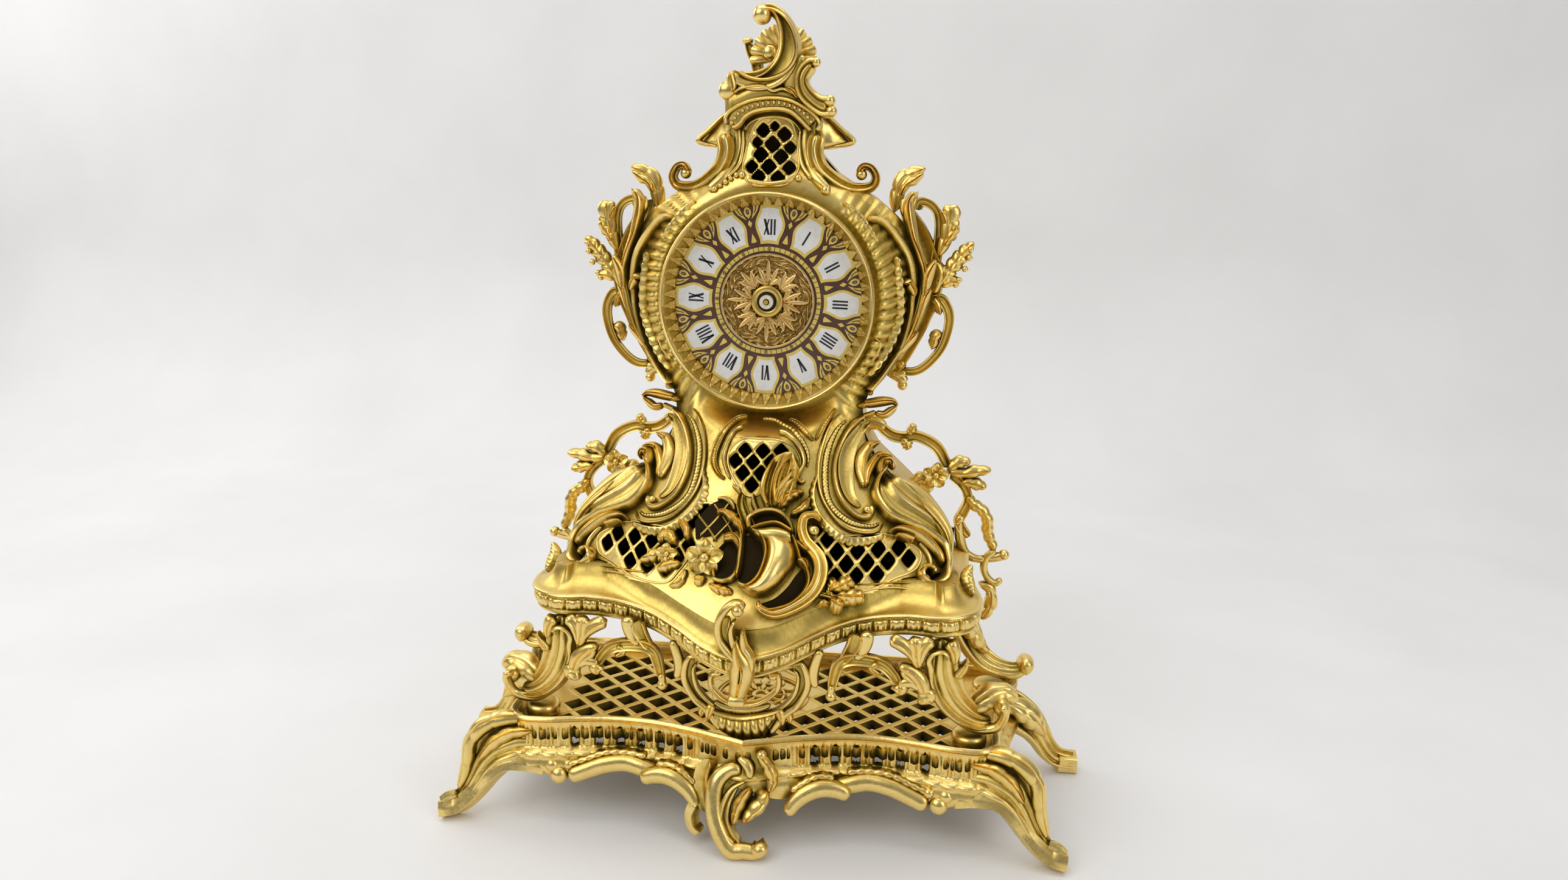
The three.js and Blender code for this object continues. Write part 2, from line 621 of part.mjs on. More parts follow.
// Movement tray: a moulded box with a gear bay and a battery bay, and the threaded bush in front
const trayFront = dialFront + dialThickness + seatGap;
const trayBack = trayFront + movementDepth;
const halfTray = cellLength / 2 + contactRoom + movementWall;
const gearTip = (teeth) => gearModule * (teeth / 2 + 0.8);
const bayFloor = dialZ - gearTip(hourTeeth) - runGap - movementWall;
const cellZ = bayFloor - bayRoom - cellRadius;
const trayLow = cellZ - cellRadius - bayRoom - movementWall;
const trayHigh = dialZ + movementRise;
const bayHalf = halfTray - movementWall;
const tray = toSolid(block(-halfTray, halfTray, trayFront, trayBack, trayLow, trayHigh))
  .subtract(toSolid(block(-bayHalf, bayHalf, trayFront + movementWall, trayBack + 1,
    bayFloor + movementWall, trayHigh - movementWall)))
  .subtract(toSolid(block(-bayHalf, bayHalf, trayFront + bayWall, trayBack + 1,
    trayLow + movementWall, bayFloor)))
  .add(toSolid(cylinderY(0, dialZ, bushRadius, nutFront + 0.2, trayFront + 1)))
  .subtract(toSolid(cylinderY(0, dialZ, tubeRadius + runGap, nutFront - 5, trayFront + 5)));
addNode('movement_case', toGeometry(tray), blackPlastic);

// Motion work: cannon pinion on the minute shaft, motion wheel and pinion, hour wheel on its tube
function gear(x, z, teeth, phase, yFront, yBack, boreRadius) {
  const pitch = (gearModule * teeth) / 2;
  const [root, tip] = [pitch - 1.15 * gearModule, gearTip(teeth)];
  const step = (2 * Math.PI) / teeth;
  const points = [];
  for (let i = 0; i < teeth; i += 1) {
    const middle = phase + i * step;
    [[-0.29, root], [-0.1, tip], [0.1, tip], [0.29, root]].forEach(([share, radius]) => {
      const angle = middle + share * step;
      points.push([x + radius * Math.cos(angle), z + radius * Math.sin(angle)]);
    });
  }
  const shape = polygon(points);
  if (boreRadius) shape.holes.push(disc(x, z, boreRadius));
  return prismY(shape, yFront, yBack, 8);
}
const gearCentres = (gearModule * (cannonTeeth + motionTeeth)) / 2;
const wheelThickness = 1.4;
const hourFront = trayFront + movementWall + runGap;
const hourBack = hourFront + wheelThickness;
const pinionBack = hourBack + runGap + 0.2;
const motionFront = pinionBack;
const motionBack = motionFront + wheelThickness;
const coverFront = trayBack + seatGap;
const coverThickness = 1.4;
const knobFront = coverFront + coverThickness + runGap;
const tubeFront = nutFront - 2.2;
const shaftFront = tubeFront - 1.2;
const meshPhase = Math.PI / 2;

const minuteShaft = join(
  cylinderY(0, dialZ, shaftRadius, shaftFront, coverFront - runGap, 12),
  gear(0, dialZ, cannonTeeth, meshPhase, motionFront, motionBack, 0),
  cylinderY(0, dialZ, 9, motionBack + runGap, motionBack + runGap + 1.6, 32),
  cylinderY(0, dialZ, 2, motionBack - 0.1, motionBack + runGap + 1, 12));
addNode('minute_shaft', toGeometry(minuteShaft), brass);

const motionZ = dialZ + gearCentres;
const motionPhase = -Math.PI / 2 + Math.PI / motionTeeth;
const pinionPhase = -Math.PI / 2;
const motionBore = 1.8;
const motionWheel = join(
  gear(0, motionZ, motionTeeth, motionPhase, motionFront, motionBack, 0),
  gear(0, motionZ, motionPinionTeeth, pinionPhase, hourFront, motionFront + 0.1, 0),
  cylinderY(0, motionZ, motionBore - runGap, motionBack - 0.1, knobFront + 3, 12));
addNode('motion_wheel', toGeometry(motionWheel), creamPlastic);

const hourPhase = Math.PI / 2 + Math.PI / hourTeeth;
const hourWheel = join(
  gear(0, dialZ, hourTeeth, hourPhase, hourFront, hourBack, 0),
  cylinderY(0, dialZ, tubeRadius, tubeFront, hourFront + 0.1, 20))
  .subtract(toSolid(cylinderY(0, dialZ, tubeBore, tubeFront - 1, hourBack + 1, 16)));
addNode('hour_wheel', toGeometry(hourWheel), creamPlastic);

// Movement cover over the gear bay, and the setting knob behind it
const cover = toSolid(block(-halfTray, halfTray, coverFront, coverFront + coverThickness, bayFloor, trayHigh))
  .subtract(toSolid(cylinderY(0, motionZ, motionBore, coverFront - 1, coverFront + 3, 16)));
addNode('movement_cover', toGeometry(cover), blackPlastic);
const knobShape = new THREE.Shape();
const knobTeeth = 16;
for (let i = 0; i < 2 * knobTeeth; i += 1) {
  const radius = i % 2 ? 5.4 : 5;
  const angle = (Math.PI * i) / knobTeeth;
  const [x, z] = [radius * Math.cos(angle), motionZ + radius * Math.sin(angle)];
  if (i) knobShape.lineTo(x, z);
  else knobShape.moveTo(x, z);
}
const knob = toSolid(prismY(knobShape, knobFront, knobFront + 4))
  .subtract(toSolid(cylinderY(0, motionZ, motionBore - runGap + 0.15, knobFront - 1, knobFront + 3.1, 12)));
addNode('setting_knob', toGeometry(knob), blackPlastic);

// Dry cell with its terminal, and a spring contact at each end
const cellY = trayFront + bayWall + seatGap + cellRadius;
function cylinderX(radius, xLow, xHigh, segments = 20) {
  const geometry = new THREE.CylinderGeometry(radius, radius, xHigh - xLow, segments);
  geometry.rotateZ(Math.PI / 2);
  return geometry.translate((xLow + xHigh) / 2, cellY, cellZ);
}
addNode('battery_cell', toGeometry(join(
  cylinderX(cellRadius, -cellLength / 2, cellLength / 2),
    cylinderX(2.6, cellLength / 2 - 0.5, cellLength / 2 + 1.2))), steel);
const bayEnd = bayHalf - seatGap;
addNode('contact_plus', block(cellLength / 2 + 1.5, bayEnd, cellY - 5, cellY + 5, cellZ - 5, cellZ + 5),
  steel);
addNode('contact_minus', block(-bayEnd, -cellLength / 2 - seatGap, cellY - 5, cellY + 5, cellZ - 5,
  cellZ + 5), steel);

// Circuit board, coil and stator of the stepping motor, beside the wheels
const bayLow = bayFloor + movementWall + seatGap;
const bayHigh = trayHigh - movementWall - seatGap;
const boardBack = trayBack - 1;
addNode('circuit_board', block(-bayEnd, -13, boardBack - 1.2, boardBack, bayLow, bayHigh), boardGreen);
const coilFront = trayFront + movementWall + seatGap;
const coilRadius = 3.6;
const coilHalf = 9;
const coilX = bayEnd - coilRadius - 1.9;
addNode('motor_coil', toGeometry(toSolid(cylinderZ(coilX, coilFront + coilRadius + 0.4, coilRadius,
  dialZ - coilHalf, dialZ + coilHalf, 16))), copper);
addNode('motor_stator', toGeometry(toSolid(block(coilX - 4, bayEnd, coilFront, coilFront + 6,
  dialZ + coilHalf + seatGap, dialZ + coilHalf + 5))), steel);

// Crest: crescent scroll over the neck, an S-scroll on the right and a small volute on the left
const crestY = -8.5;
const crestParts = [
  scroll(inPlane([[-22, 15], [-14, 12], [-6, 13], [2, 17], [8, 24], [10, 32], [9, 39], [5, 44], [-1, 45]],
    archZ, crestY),
    [1.2, 3.4, 4, 4.4, 4.8, 4.8, 4, 3.2, 2.6], { steps: 12 }),
  ball(new THREE.Vector3(-4.2, crestY, archZ + 41.6), 4.2),
  scroll(inPlane([[22, 19], [16.5, 17], [14, 10], [17, 3], [24, -3], [31, -4]], archZ, crestY),
    [1.6, 3, 3, 3.4, 3.4, 2], { steps: 8 }),
  ball(new THREE.Vector3(22, crestY, archZ + 18.6), 2.6),
  ball(new THREE.Vector3(31.5, crestY + 1, archZ - 1.5), 3),
  scroll(inPlane([[-20, 13], [-26, 7], [-24, 0], [-20, -5]], archZ, crestY), [2.4, 3.2, 3, 1.8],
    { steps: 5 }),
  ball(new THREE.Vector3(-23.5, crestY - 0.5, archZ + 6), 3.8),
  scroll(inPlane([[-23, 1], [-12, 6], [0, 8], [11, 6], [19, 1]], archZ, crestY), [2.6, 4.4, 5, 4.6, 3],
    { steps: 7 }),
];
const frontZone = toSolid(frontShell(seatGap, 12));
const archZone = toSolid(scroll(onFront(archPath, archZ, 2.5), [3.4], { steps: 8 }));
const crest = join(...crestParts).subtract(frontZone).subtract(archZone);
addNode('crest', toGeometry(largestPart(crest)), brass);

// Roof behind the crest: a hollow cap whose eaves run out to a point at each side and turn in below it
const roofTip = 42;
const roofTop = 31;
const roofFoot = neckZ + seatGap;
const roofFront = 4.4;
const roofBack = caseBack + 2;
const roofWall = 1.8;
// Share of the height, and the half width there as a share of the tip's
const roofRows = [[0, 0.72], [0.1, 1], [0.3, 0.84], [0.52, 0.66], [0.76, 0.4], [1, 0.18]];
function roofRing([share, reachShare]) {
  const z = roofFoot + roofTop * share;
  const reach = roofTip * reachShare;
  const back = roofBack - 8 * share;
  const middle = (roofFront + back) / 2;
  const shoulder = Math.min(reach * 0.72, 23);
  return [[-reach, middle], [-shoulder, roofFront], [0, roofFront], [shoulder, roofFront], [reach, middle],
    [shoulder, back], [0, back], [-shoulder, back]]
    .map(([x, y]) => new THREE.Vector3(x, y, z));
}
const roofHollow = toSolid(block(-12, 12, roofFront - 1, roofBack - 4 - roofWall, roofFoot - 1,
  roofFoot + roofTop * 0.5));
const roof = toSolid(loft(roofRows.map(roofRing))).subtract(roofHollow);
addNode('roof_cap', toGeometry(largestPart(roof.subtract(frontZone))), brass);

// Rear finial: ribbed shell standing on the roof, with a curled leaf at its left
const finialY = 8.5;
const finialFoot = roofFoot + roofTop + seatGap;
function shellFan() {
  const ribs = 9;
  const points = [[-5, 0], [5, 0]];
  for (let i = 0; i <= 2 * ribs; i += 1) {
    const angle = -0.35 + ((Math.PI + 0.5) * i) / (2 * ribs);
    const radius = i % 2 ? 18.5 : 16.5;
    points.push([4 + radius * Math.cos(angle), 12 + radius * Math.sin(angle)]);
  }
  return polygon(points.map(([x, z]) => [x, finialFoot + z]));
}
const finial = join(prismY(shellFan(), finialY - 2, finialY + 2),
  scroll(inPlane([[-4, 4], [-9, 11], [-11, 18], [-15, 22]], finialFoot, finialY), [3, 2.6, 2.4, 1],
    { steps: 5 }),
  ball(new THREE.Vector3(0, finialY - 2, finialFoot + 14), 5, 3));
addNode('rear_finial', toGeometry(finial), brass);

// Pierced leaf wing at the side of the dial, cut back to the case side
const besideCase = toSolid(sideStrip([...sideLevels, neckZ + 40], seatGap, 120, -20, caseBack + 30));
function trimToSide(parts) {
  const solid = join(...parts).subtract(besideCase);
  return largestPart(solid);
}
const wing = trimToSide([
  [[[69, 44], [70, 54], [74, 62], [80, 69]], [4, 5, 4, 1], 5],
  [[[74, 52], [83, 48], [88, 40], [89, 28], [88, 16], [85, 6]], [2.4, 2.4, 2.4, 2.4, 2.4, 2.4], 6],
  [[[89, 24], [92, 36], [94, 44], [95.5, 51]], [2.4, 3.4, 2.6, 0.8], 4],
  [[[68, 50], [76, 36], [81, 24], [84, 10], [83, -2], [79, -14], [74, -26], [69, -36], [64, -44]],
    [3, 4, 4, 4, 4, 3.6, 3.2, 3, 2.6], 8],
  [[[83, 2], [90, 13], [98, 20], [107, 29]], [3, 5, 4, 1], 5],
  [[[85, 3], [93, 4], [100, 9]], [3, 3.2, 1], 3],
  [[[84, -2], [92, 0], [97, -8], [98, -18], [95, -28], [88, -36], [80, -41], [71, -40]],
    [2.2, 2.2, 2.4, 2.6, 2.6, 2.4, 2.2, 2], 9],
  [[[97, -19], [90, -22], [87, -30]], [2, 2.6, 0.9], 3],
  [[[65, -41], [74, -47]], [2.4, 2.4], 1],
].map(([points, widths, steps]) => scroll(inPlane(points, dialZ, wingDepth), widths, { steps }))
  .concat([ball(new THREE.Vector3(74, wingDepth, dialZ - 47), 3.4)]));
addNode('wing_right', toGeometry(wing), brass);
addNode('wing_left', toGeometry(mirrored(wing)), brass);

// Garland bracket at the side of the waist: leaves, a flower head, buds and a hook
const garland = trimToSide([
  [[[52, 70], [60, 67], [68, 63], [76, 61], [84, 61], [91, 57], [96, 50], [97, 43]],
    [3, 3, 3, 3.6, 4, 4.2, 4.6, 5], 7],
  [[[76, 62], [79, 70]], [3, 0.8], 1],
  [[[80, 61], [76, 54]], [3, 0.8], 1],
  [[[97, 44], [108, 45], [122, 43]], [3.4, 3.2, 1], 4],
  [[[104, 43], [113, 39], [120, 35]], [2.6, 2.2, 0.8], 3],
  [[[92, 41], [85, 43]], [4.4, 2.6], 1],
  [[[97, 41], [107, 38], [108, 28], [105, 19], [100, 12]], [3.4, 3.2, 3, 3.4, 3], 5],
  [[[105, 18], [110, 7]], [2.6, 3], 2],
  [[[107, 34], [115, 25], [121, 16], [124, 6], [125, -1]], [2.6, 3, 3.6, 3.2, 2.6], 5],
  [[[124, 0], [132, -4]], [2.4, 2.4], 1],
  [[[125, 0], [121.5, -8], [122, -16], [127, -20], [131, -18]], [2.4, 2.6, 2.4, 2, 0.8], 6],
  [[[121, -12], [124, -24], [122, -33]], [2.6, 4, 1.6], 4],
  [[[122, -10], [115, -5], [107, 2], [99, 10]], [2.6, 2.8, 2.8, 2.8], 4],
].map(([points, widths, steps]) => scroll(inPlane(points, mouldingZ, wingDepth), widths, { steps }))
  .concat([
    ball(new THREE.Vector3(92, wingDepth - 1, mouldingZ + 41), 7.4, 5),
    ball(new THREE.Vector3(132, wingDepth, mouldingZ - 4), 3.2),
    ball(new THREE.Vector3(110, wingDepth, mouldingZ + 6), 3.2),
  ]));
const garlandRight = largestPart(garland.subtract(mouldingZone));
addNode('garland_right', toGeometry(garlandRight), brass);
addNode('garland_left', toGeometry(mirrored(garlandRight)), brass);

// Cartouche on the lower front, standing clear of the casting that it is screwed to
const reliefAt = (points, origin, lift) => onFront(points, origin, lift);
const cartoucheParts = [
  scroll(reliefAt([[2, 26], [5, 40], [10, 52], [16, 62]], mouldingZ, 5), [8, 8.4, 6.4, 1.6],
    { depth: 0.6, steps: 6 }),
  scroll(reliefAt([[10, 2], [12, 16], [8, 30]], mouldingZ, 6), [9, 13, 8],
    { depth: 0.55, sides: 8, steps: 5 }),
  scroll(reliefAt([[8, -5], [22, -6], [32, 2], [36, 14], [31, 26], [22, 33], [12, 32]], mouldingZ, 8),
    [2.4, 3, 3.2, 3, 2.8, 2.4, 2], { steps: 8 }),
  scroll(reliefAt([[2, 27], [-8, 28], [-14, 20], [-12, 11], [-3, 8], [4, 12]], mouldingZ, 6),
    [2.6, 2.6, 2.6, 2.6, 2.6, 2.6], { steps: 9 }),
  scroll(reliefAt([[-10, 16], [-20, 16], [-30, 20]], mouldingZ, 4), [5, 6, 4], { depth: 0.6, steps: 3 }),
  scroll(reliefAt([[-30, 18], [-44, 18], [-60, 14]], mouldingZ, 3.5), [5, 5, 1.4],
    { depth: 0.6, steps: 4 }),
  scroll(reliefAt([[34, 8], [46, 4], [58, 4]], mouldingZ, 3.5), [4, 4.6, 1.4], { depth: 0.6, steps: 4 }),
];
const flower = (() => {
  const shape = new THREE.Shape();
  const petals = 5;
  const steps = 40;
  for (let i = 0; i < steps; i += 1) {
    const angle = (2 * Math.PI * i) / steps;
    const radius = 7 + 3 * Math.abs(Math.cos((petals * angle) / 2));
    const [x, z] = [-26 + radius * Math.cos(angle), mouldingZ + 19 + radius * Math.sin(angle)];
    if (i) shape.lineTo(x, z);
    else shape.moveTo(x, z);
  }
  const depth = frontDepth(-26, mouldingZ + 19);
  return prismY(shape, depth - 8.5, depth - 4);
})();
const cartouche = largestPart(join(...cartoucheParts, flower).subtract(frontZone).subtract(mouldingZone));
addNode('cartouche', toGeometry(cartouche), brass);

// Drop ornament hanging over the moulding: a pierced scroll and a claw
const dropY = -105.2;
const dropPath = (points) => points.map(([x, z, y]) => new THREE.Vector3(x, dropY + y, mouldingZ + z));
const drop = join(
  scroll(dropPath([[4, -12, 0], [-4, -5, 0], [-12, -8, 0], [-15, -18, 0], [-9, -27, 0], [0, -30, 0]]),
    [2.2, 2.4, 2.4, 2.4, 2.4, 2.2], { steps: 9 }),
  scroll(dropPath([[4, -9, 0], [2, -20, 0], [1, -32, 0], [-1, -42, 3], [-4, -52, 5]]),
    [2.6, 3, 4.4, 4.4, 1.8], { steps: 7 }));
addNode('drop_ornament', toGeometry(largestPart(drop.subtract(mouldingZone))), brass);

// Round pads on the plinth and the four scroll legs that stand on them
const padRadius = 9;
const frontPad = [113, -71];
const rearPad = [126, -14];
function pad([x, y]) {
  const middle = padHeight / 2;
  const profile = [[0, 0], [padRadius - 1, 0], [padRadius, middle * 0.6], [padRadius - 0.6, middle * 1.5],
    [padRadius - 2.4, padHeight], [0, padHeight]];
  const geometry = new THREE.LatheGeometry(profile.map(([r, h]) => new THREE.Vector2(r, h)), 16);
  geometry.rotateX(Math.PI / 2);
  return geometry.translate(x, y, padBase);
}
function leg(points, widths, [padX, padY], grow = 0) {
  const path = points.map(([x, y, z]) => new THREE.Vector3(x, y, z));
  const body = join(scroll(path, widths.map((width) => width + grow), { depth: 0.8, sides: 6, steps: 9 }),
    ball(path.at(-1), 4.6));
  return largestPart(body
    .subtract(toSolid(cylinderZ(padX, padY, padRadius + 3, padBase - 30, padTop + seatGap)))
    .subtract(toSolid(block(-300, 300, -300, 300, mouldingBottom - seatGap, mouldingBottom + 60))));
}
const frontLegForm = [[[93, -82, mouldingBottom + 6], [94, -81, mouldingBottom - 8],
  [97, -79, mouldingBottom - 21],
  [102, -77, mouldingBottom - 34], [110, -74, padTop + 10], [120, -71, padTop + 4.5],
    [129, -69, padTop + 6.5], [131, -68, padTop + 12]],
[10, 8.5, 8, 7.6, 7, 6, 5, 4], frontPad];
const frontLeg = leg(...frontLegForm);
const frontLegZone = leg(...frontLegForm, seatGap * 1.3);
const rearLeg = leg([[104, -14, mouldingBottom + 6], [107, -13, mouldingBottom - 14],
  [113, -12, mouldingBottom - 32],
  [122, -12, padTop + 11], [133, -12, padTop + 4.5], [142, -12, padTop + 4.5], [145, -12, padTop + 9]],
[12, 11, 9.5, 8, 6.5, 5, 4], rearPad);
addNode('leg_front_right', toGeometry(frontLeg), brass);
addNode('leg_front_left', toGeometry(mirrored(frontLeg)), brass);
addNode('leg_rear_right', toGeometry(rearLeg), brass);
addNode('leg_rear_left', toGeometry(mirrored(rearLeg)), brass);
[['front', frontPad], ['rear', rearPad]].forEach(([row, [x, y]]) => {
  addNode(`foot_pad_${row}_right`, pad([x, y]), brass);
  addNode(`foot_pad_${row}_left`, pad([-x, y]), brass);
});

// Openwork front apron between the front legs, under the moulding
const apronY = -87;
const apronCurves = (side) => [
  [[[90, -34], [80, -31], [69, -27], [57, -26], [47, -31], [43, -41]], [3, 3, 2.8, 2.8, 2.8, 1.6], 9],
  [[[54, -26], [52, -19], [58, -12]], [2.8, 2.8, 3], 4],
  [[[56, -8], [44, -18], [34, -28], [29, -40], [22, -52], [10, -59], [0, -61]],
    [3, 3.4, 3.2, 3.2, 3.4, 3.6, 3.8], 9],
  [[[20, -24], [21, -36], [15, -47], [5, -52], [0, -53]], [2, 2.6, 2.6, 2.8, 3], 7],
  [[[86, -32], [77, -38], [76, -46]], [3, 3, 1], 4],
].map(([points, widths, steps]) => scroll(
  inPlane(side > 0 ? points : flip(points), mouldingZ, apronY), widths, { steps }));
function apronShell() {
  const ribs = 6;
  const points = [[-8, -56], [8, -56]];
  const low = [];
  for (let i = 0; i <= 2 * ribs; i += 1) {
    const t = i / (2 * ribs);
    const x = 13 - 26 * t;
    low.push([x, -61 - 6.6 * (1 - ((x / 13) ** 2)) + (i % 2 ? -1.2 : 0)]);
  }
  return polygon([...points, ...low].map(([x, z]) => [x, mouldingZ + z]));
}
const apronRaw = join(...apronCurves(1), ...apronCurves(-1), prismY(apronShell(), apronY - 5, apronY + 2));
const apron = apronRaw.subtract(frontLegZone).subtract(mirrored(frontLegZone)).subtract(mouldingZone);
addNode('front_apron', toGeometry(largestPart(apron)), brass);

// Plinth top: lattice plate inside a raised rim
const plinthPlan = [
  [0, -98], [12, -94], [28, -89], [48, -84.5], [68, -83.5], [88, -86], [106, -89.5], [120, -89], [127, -83],
  [129, -68], [132, -44], [138, -22], [143, -8], [142, 4], [134, 10], [110, 11.5], [60, 12], [0, 12],
];
const plinthLoop = [...plinthPlan, ...flip(plinthPlan.slice(1, -1)).reverse()];
const plinthCurve = new THREE.CatmullRomCurve3(plinthLoop.map(([x, y]) => new THREE.Vector3(x, y, 0)),
  true, 'centripetal');
function planOffset(distance, steps) {
  return Array.from({ length: steps }, (_, i) => {
    const centre = plinthCurve.getPointAt(i / steps);
    const along = plinthCurve.getTangentAt(i / steps);
    return [centre.x + along.y * distance, centre.y - along.x * distance];
  });
}
const rimSteps = 42;
const rimOuter = planOffset(0, rimSteps);
const rimInner = planOffset(-rimWidth, rimSteps);
const rimShape = polygon(rimOuter);
rimShape.holes.push(polygon(rimInner));
const latticePitchX = 18;
const latticePitchY = 16;
const latticeBar = 3.4;
const latticeHalf = 100;
const roundMotif = 21;
const latticeFront = -68;
const latticeBack = -2;
const plateSolid = toSolid(prismZ(polygon(rimOuter), plinthHeight - plinthPlate, plinthHeight));
const plateHoles = (() => {
  const holes = [];
  const middle = (latticeFront + latticeBack) / 2;
  for (let i = -11; i <= 11; i += 1) {
    for (let j = -4; j <= 4; j += 1) {
      const x = (i * latticePitchX) / 2;
      const y = middle + (j * latticePitchY) / 2;
      const inside = Math.abs(x) < latticeHalf && y - latticePitchY / 2 > latticeFront - 4
        && y + latticePitchY / 2 < latticeBack + 6;
      if ((i + j) % 2 === 0 && inside && Math.hypot(x, y - middle) > roundMotif + 5) {
        const halfX = latticePitchX / 2 - latticeBar * 0.7;
        const halfY = latticePitchY / 2 - latticeBar * 0.7;
        holes.push(toSolid(prismZ(polygon([[x - halfX, y], [x, y - halfY], [x + halfX, y], [x, y + halfY]]),
          plinthHeight - plinthPlate - 1, plinthHeight + 1)));
      }
    }
  }
  return holes.reduce((sum, next) => sum.add(next));
})();
const plinthTop = plateSolid.add(toSolid(prismZ(rimShape, plinthHeight - plinthPlate,
  plinthHeight + rimHeight))).subtract(plateHoles);
addNode('plinth_top', toGeometry(plinthTop), brass);

// Plinth apron: a flaring wall under the rim with a scalloped lower edge and small arched holes
const apronTop = plinthHeight - plinthPlate - seatGap;
const wallThickness = 4;
const flare = 5;
// Distance along the wall from the middle of the front, and how far the lower edge hangs below the top
const edgeRows = [[0, 13.7], [20, 21.7], [30, 15.7], [50, 16.7], [60, 10.7], [74, 9.7], [88, 15.7],
  [97, 18.7], [104, 14.7], [118, 15.7], [135, 16.7], [160, 15.7], [200, 14.7], [240, 14.7]];
function apronWall(grow = 0) {
  const steps = 44;
  const rings = [];
  for (let i = 0; i < steps; i += 1) {
    const share = i / steps;
    const centre = plinthCurve.getPointAt(share);
    const along = plinthCurve.getTangentAt(share);
    const out = new THREE.Vector3(along.y, -along.x, 0);
    const away = Math.min(share, 1 - share) * plinthCurve.getLength();
    const low = apronTop - tableValue(edgeRows, 1, Math.min(away, 239));
    const at = (o, z) => new THREE.Vector3(centre.x + out.x * o, centre.y + out.y * o, z);
    const middle = (apronTop + low) / 2;
    rings.push([
      at(-wallThickness - grow, apronTop + grow), at(grow - 1, apronTop + grow), at(grow - 1.5, middle + 3),
      at(grow + 0.5, middle - 2), at(flare + grow, low - grow),
        at(flare - wallThickness - grow, low - grow)]);
  }
  const count = rings[0].length;
  const positions = rings.flat().flatMap((p) => [p.x, p.y, p.z]);
  const index = [];
  for (let i = 0; i < steps; i += 1) {
    const next = (i + 1) % steps;
    for (let j = 0; j < count; j += 1) {
      const [a, b] = [i * count + j, i * count + ((j + 1) % count)];
      const [c, d] = [next * count + ((j + 1) % count), next * count + j];
      index.push(a, b, c, a, c, d);
    }
  }
  const geometry = new THREE.BufferGeometry();
  geometry.setAttribute('position', new THREE.Float32BufferAttribute(positions, 3));
  geometry.setIndex(index);
  return geometry;
}
const wallSolid = toSolid(apronWall());
const archHoles = [42, 54, 66, 78, 91].flatMap((x) => [x, -x]).map((x) => {
  const shape = new THREE.Shape();
  shape.moveTo(x - 2.6, apronTop - 8);
  shape.lineTo(x + 2.6, apronTop - 8);
  shape.lineTo(x + 2.6, apronTop - 4);
  shape.absarc(x, apronTop - 4, 2.6, 0, Math.PI, false);
  return toSolid(prismY(shape, -130, -60, 3));
}).reduce((sum, next) => sum.add(next));

// Plinth feet, swept from the apron out to their toes and cut flat on the floor
function foot(points, widths, depth = 1) {
  const path = points.map(([x, y, z]) => new THREE.Vector3(x, y, z));
  const curve = new THREE.CatmullRomCurve3(path, false, 'centripetal');
  const rings = [];
  const steps = 7;
  for (let i = 0; i <= steps; i += 1) {
    const t = i / steps;
    const centre = curve.getPointAt(t);
    const along = curve.getTangentAt(t);
    const across = new THREE.Vector3(-along.y, along.x, 0).normalize();
    const up = new THREE.Vector3().crossVectors(along, across).normalize();
    const width = spread(widths, t);
    rings.push(Array.from({ length: 8 }, (_, j) => {
      const angle = (2 * Math.PI * (j + 0.5)) / 8;
      return centre.clone().addScaledVector(across, width * Math.cos(angle))
        .addScaledVector(up, width * depth * Math.sin(angle));
    }));
  }
  return toSolid(loft(rings))
    .subtract(toSolid(block(-300, 300, -300, 300, -60, 0)))
    .subtract(toSolid(block(-300, 300, -300, 300, apronTop, 200)));
}
const frontFoot = foot([[112, -80, apronTop - 2.7], [126, -87, apronTop - 9.7], [138, -92, apronTop - 18.7],
  [147, -95, 15], [153, -96.5, 4.2], [160, -98, 2.2]], [9, 9, 7.5, 6, 5.5, 5], 0.8);
const rearFoot = foot([[124, -10, apronTop - 2.7], [142, -8, apronTop - 8.7], [154, -7, apronTop - 18.7],
  [162, -6, 15], [168, -5, 5], [180, -4, 2.6]], [9, 12, 10, 7, 6, 6], 0.8);
const centreFoot = foot([[0, -84, apronTop - 4.7], [0, -97, apronTop - 13.7], [1, -107, apronTop - 25.7],
  [3, -111, 9], [6, -113, 2], [10, -114, 0]], [12, 12, 10, 8, 6, 5], 0.7);
const plinthApron = largestPart(wallSolid.subtract(archHoles));
const footNodes = [
  ['plinth_foot_front_right', frontFoot], ['plinth_foot_front_left', mirrored(frontFoot)],
  ['plinth_foot_rear_right', rearFoot], ['plinth_foot_rear_left', mirrored(rearFoot)],
  ['plinth_foot_centre', centreFoot],
];
addNode('plinth_apron', toGeometry(plinthApron), brass);
const wallZone = toSolid(apronWall(seatGap));
footNodes.forEach(([name, solid]) => addNode(name, toGeometry(largestPart(solid.subtract(wallZone))),
  brass));

// The middle of the depth comes over the origin
const bounds = new THREE.Box3().setFromObject(clock);
clock.position.y = -(bounds.min.y + bounds.max.y) / 2;

export default clock;
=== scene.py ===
import json
import math
import bpy
import numpy as np
from mathutils import Matrix, Vector

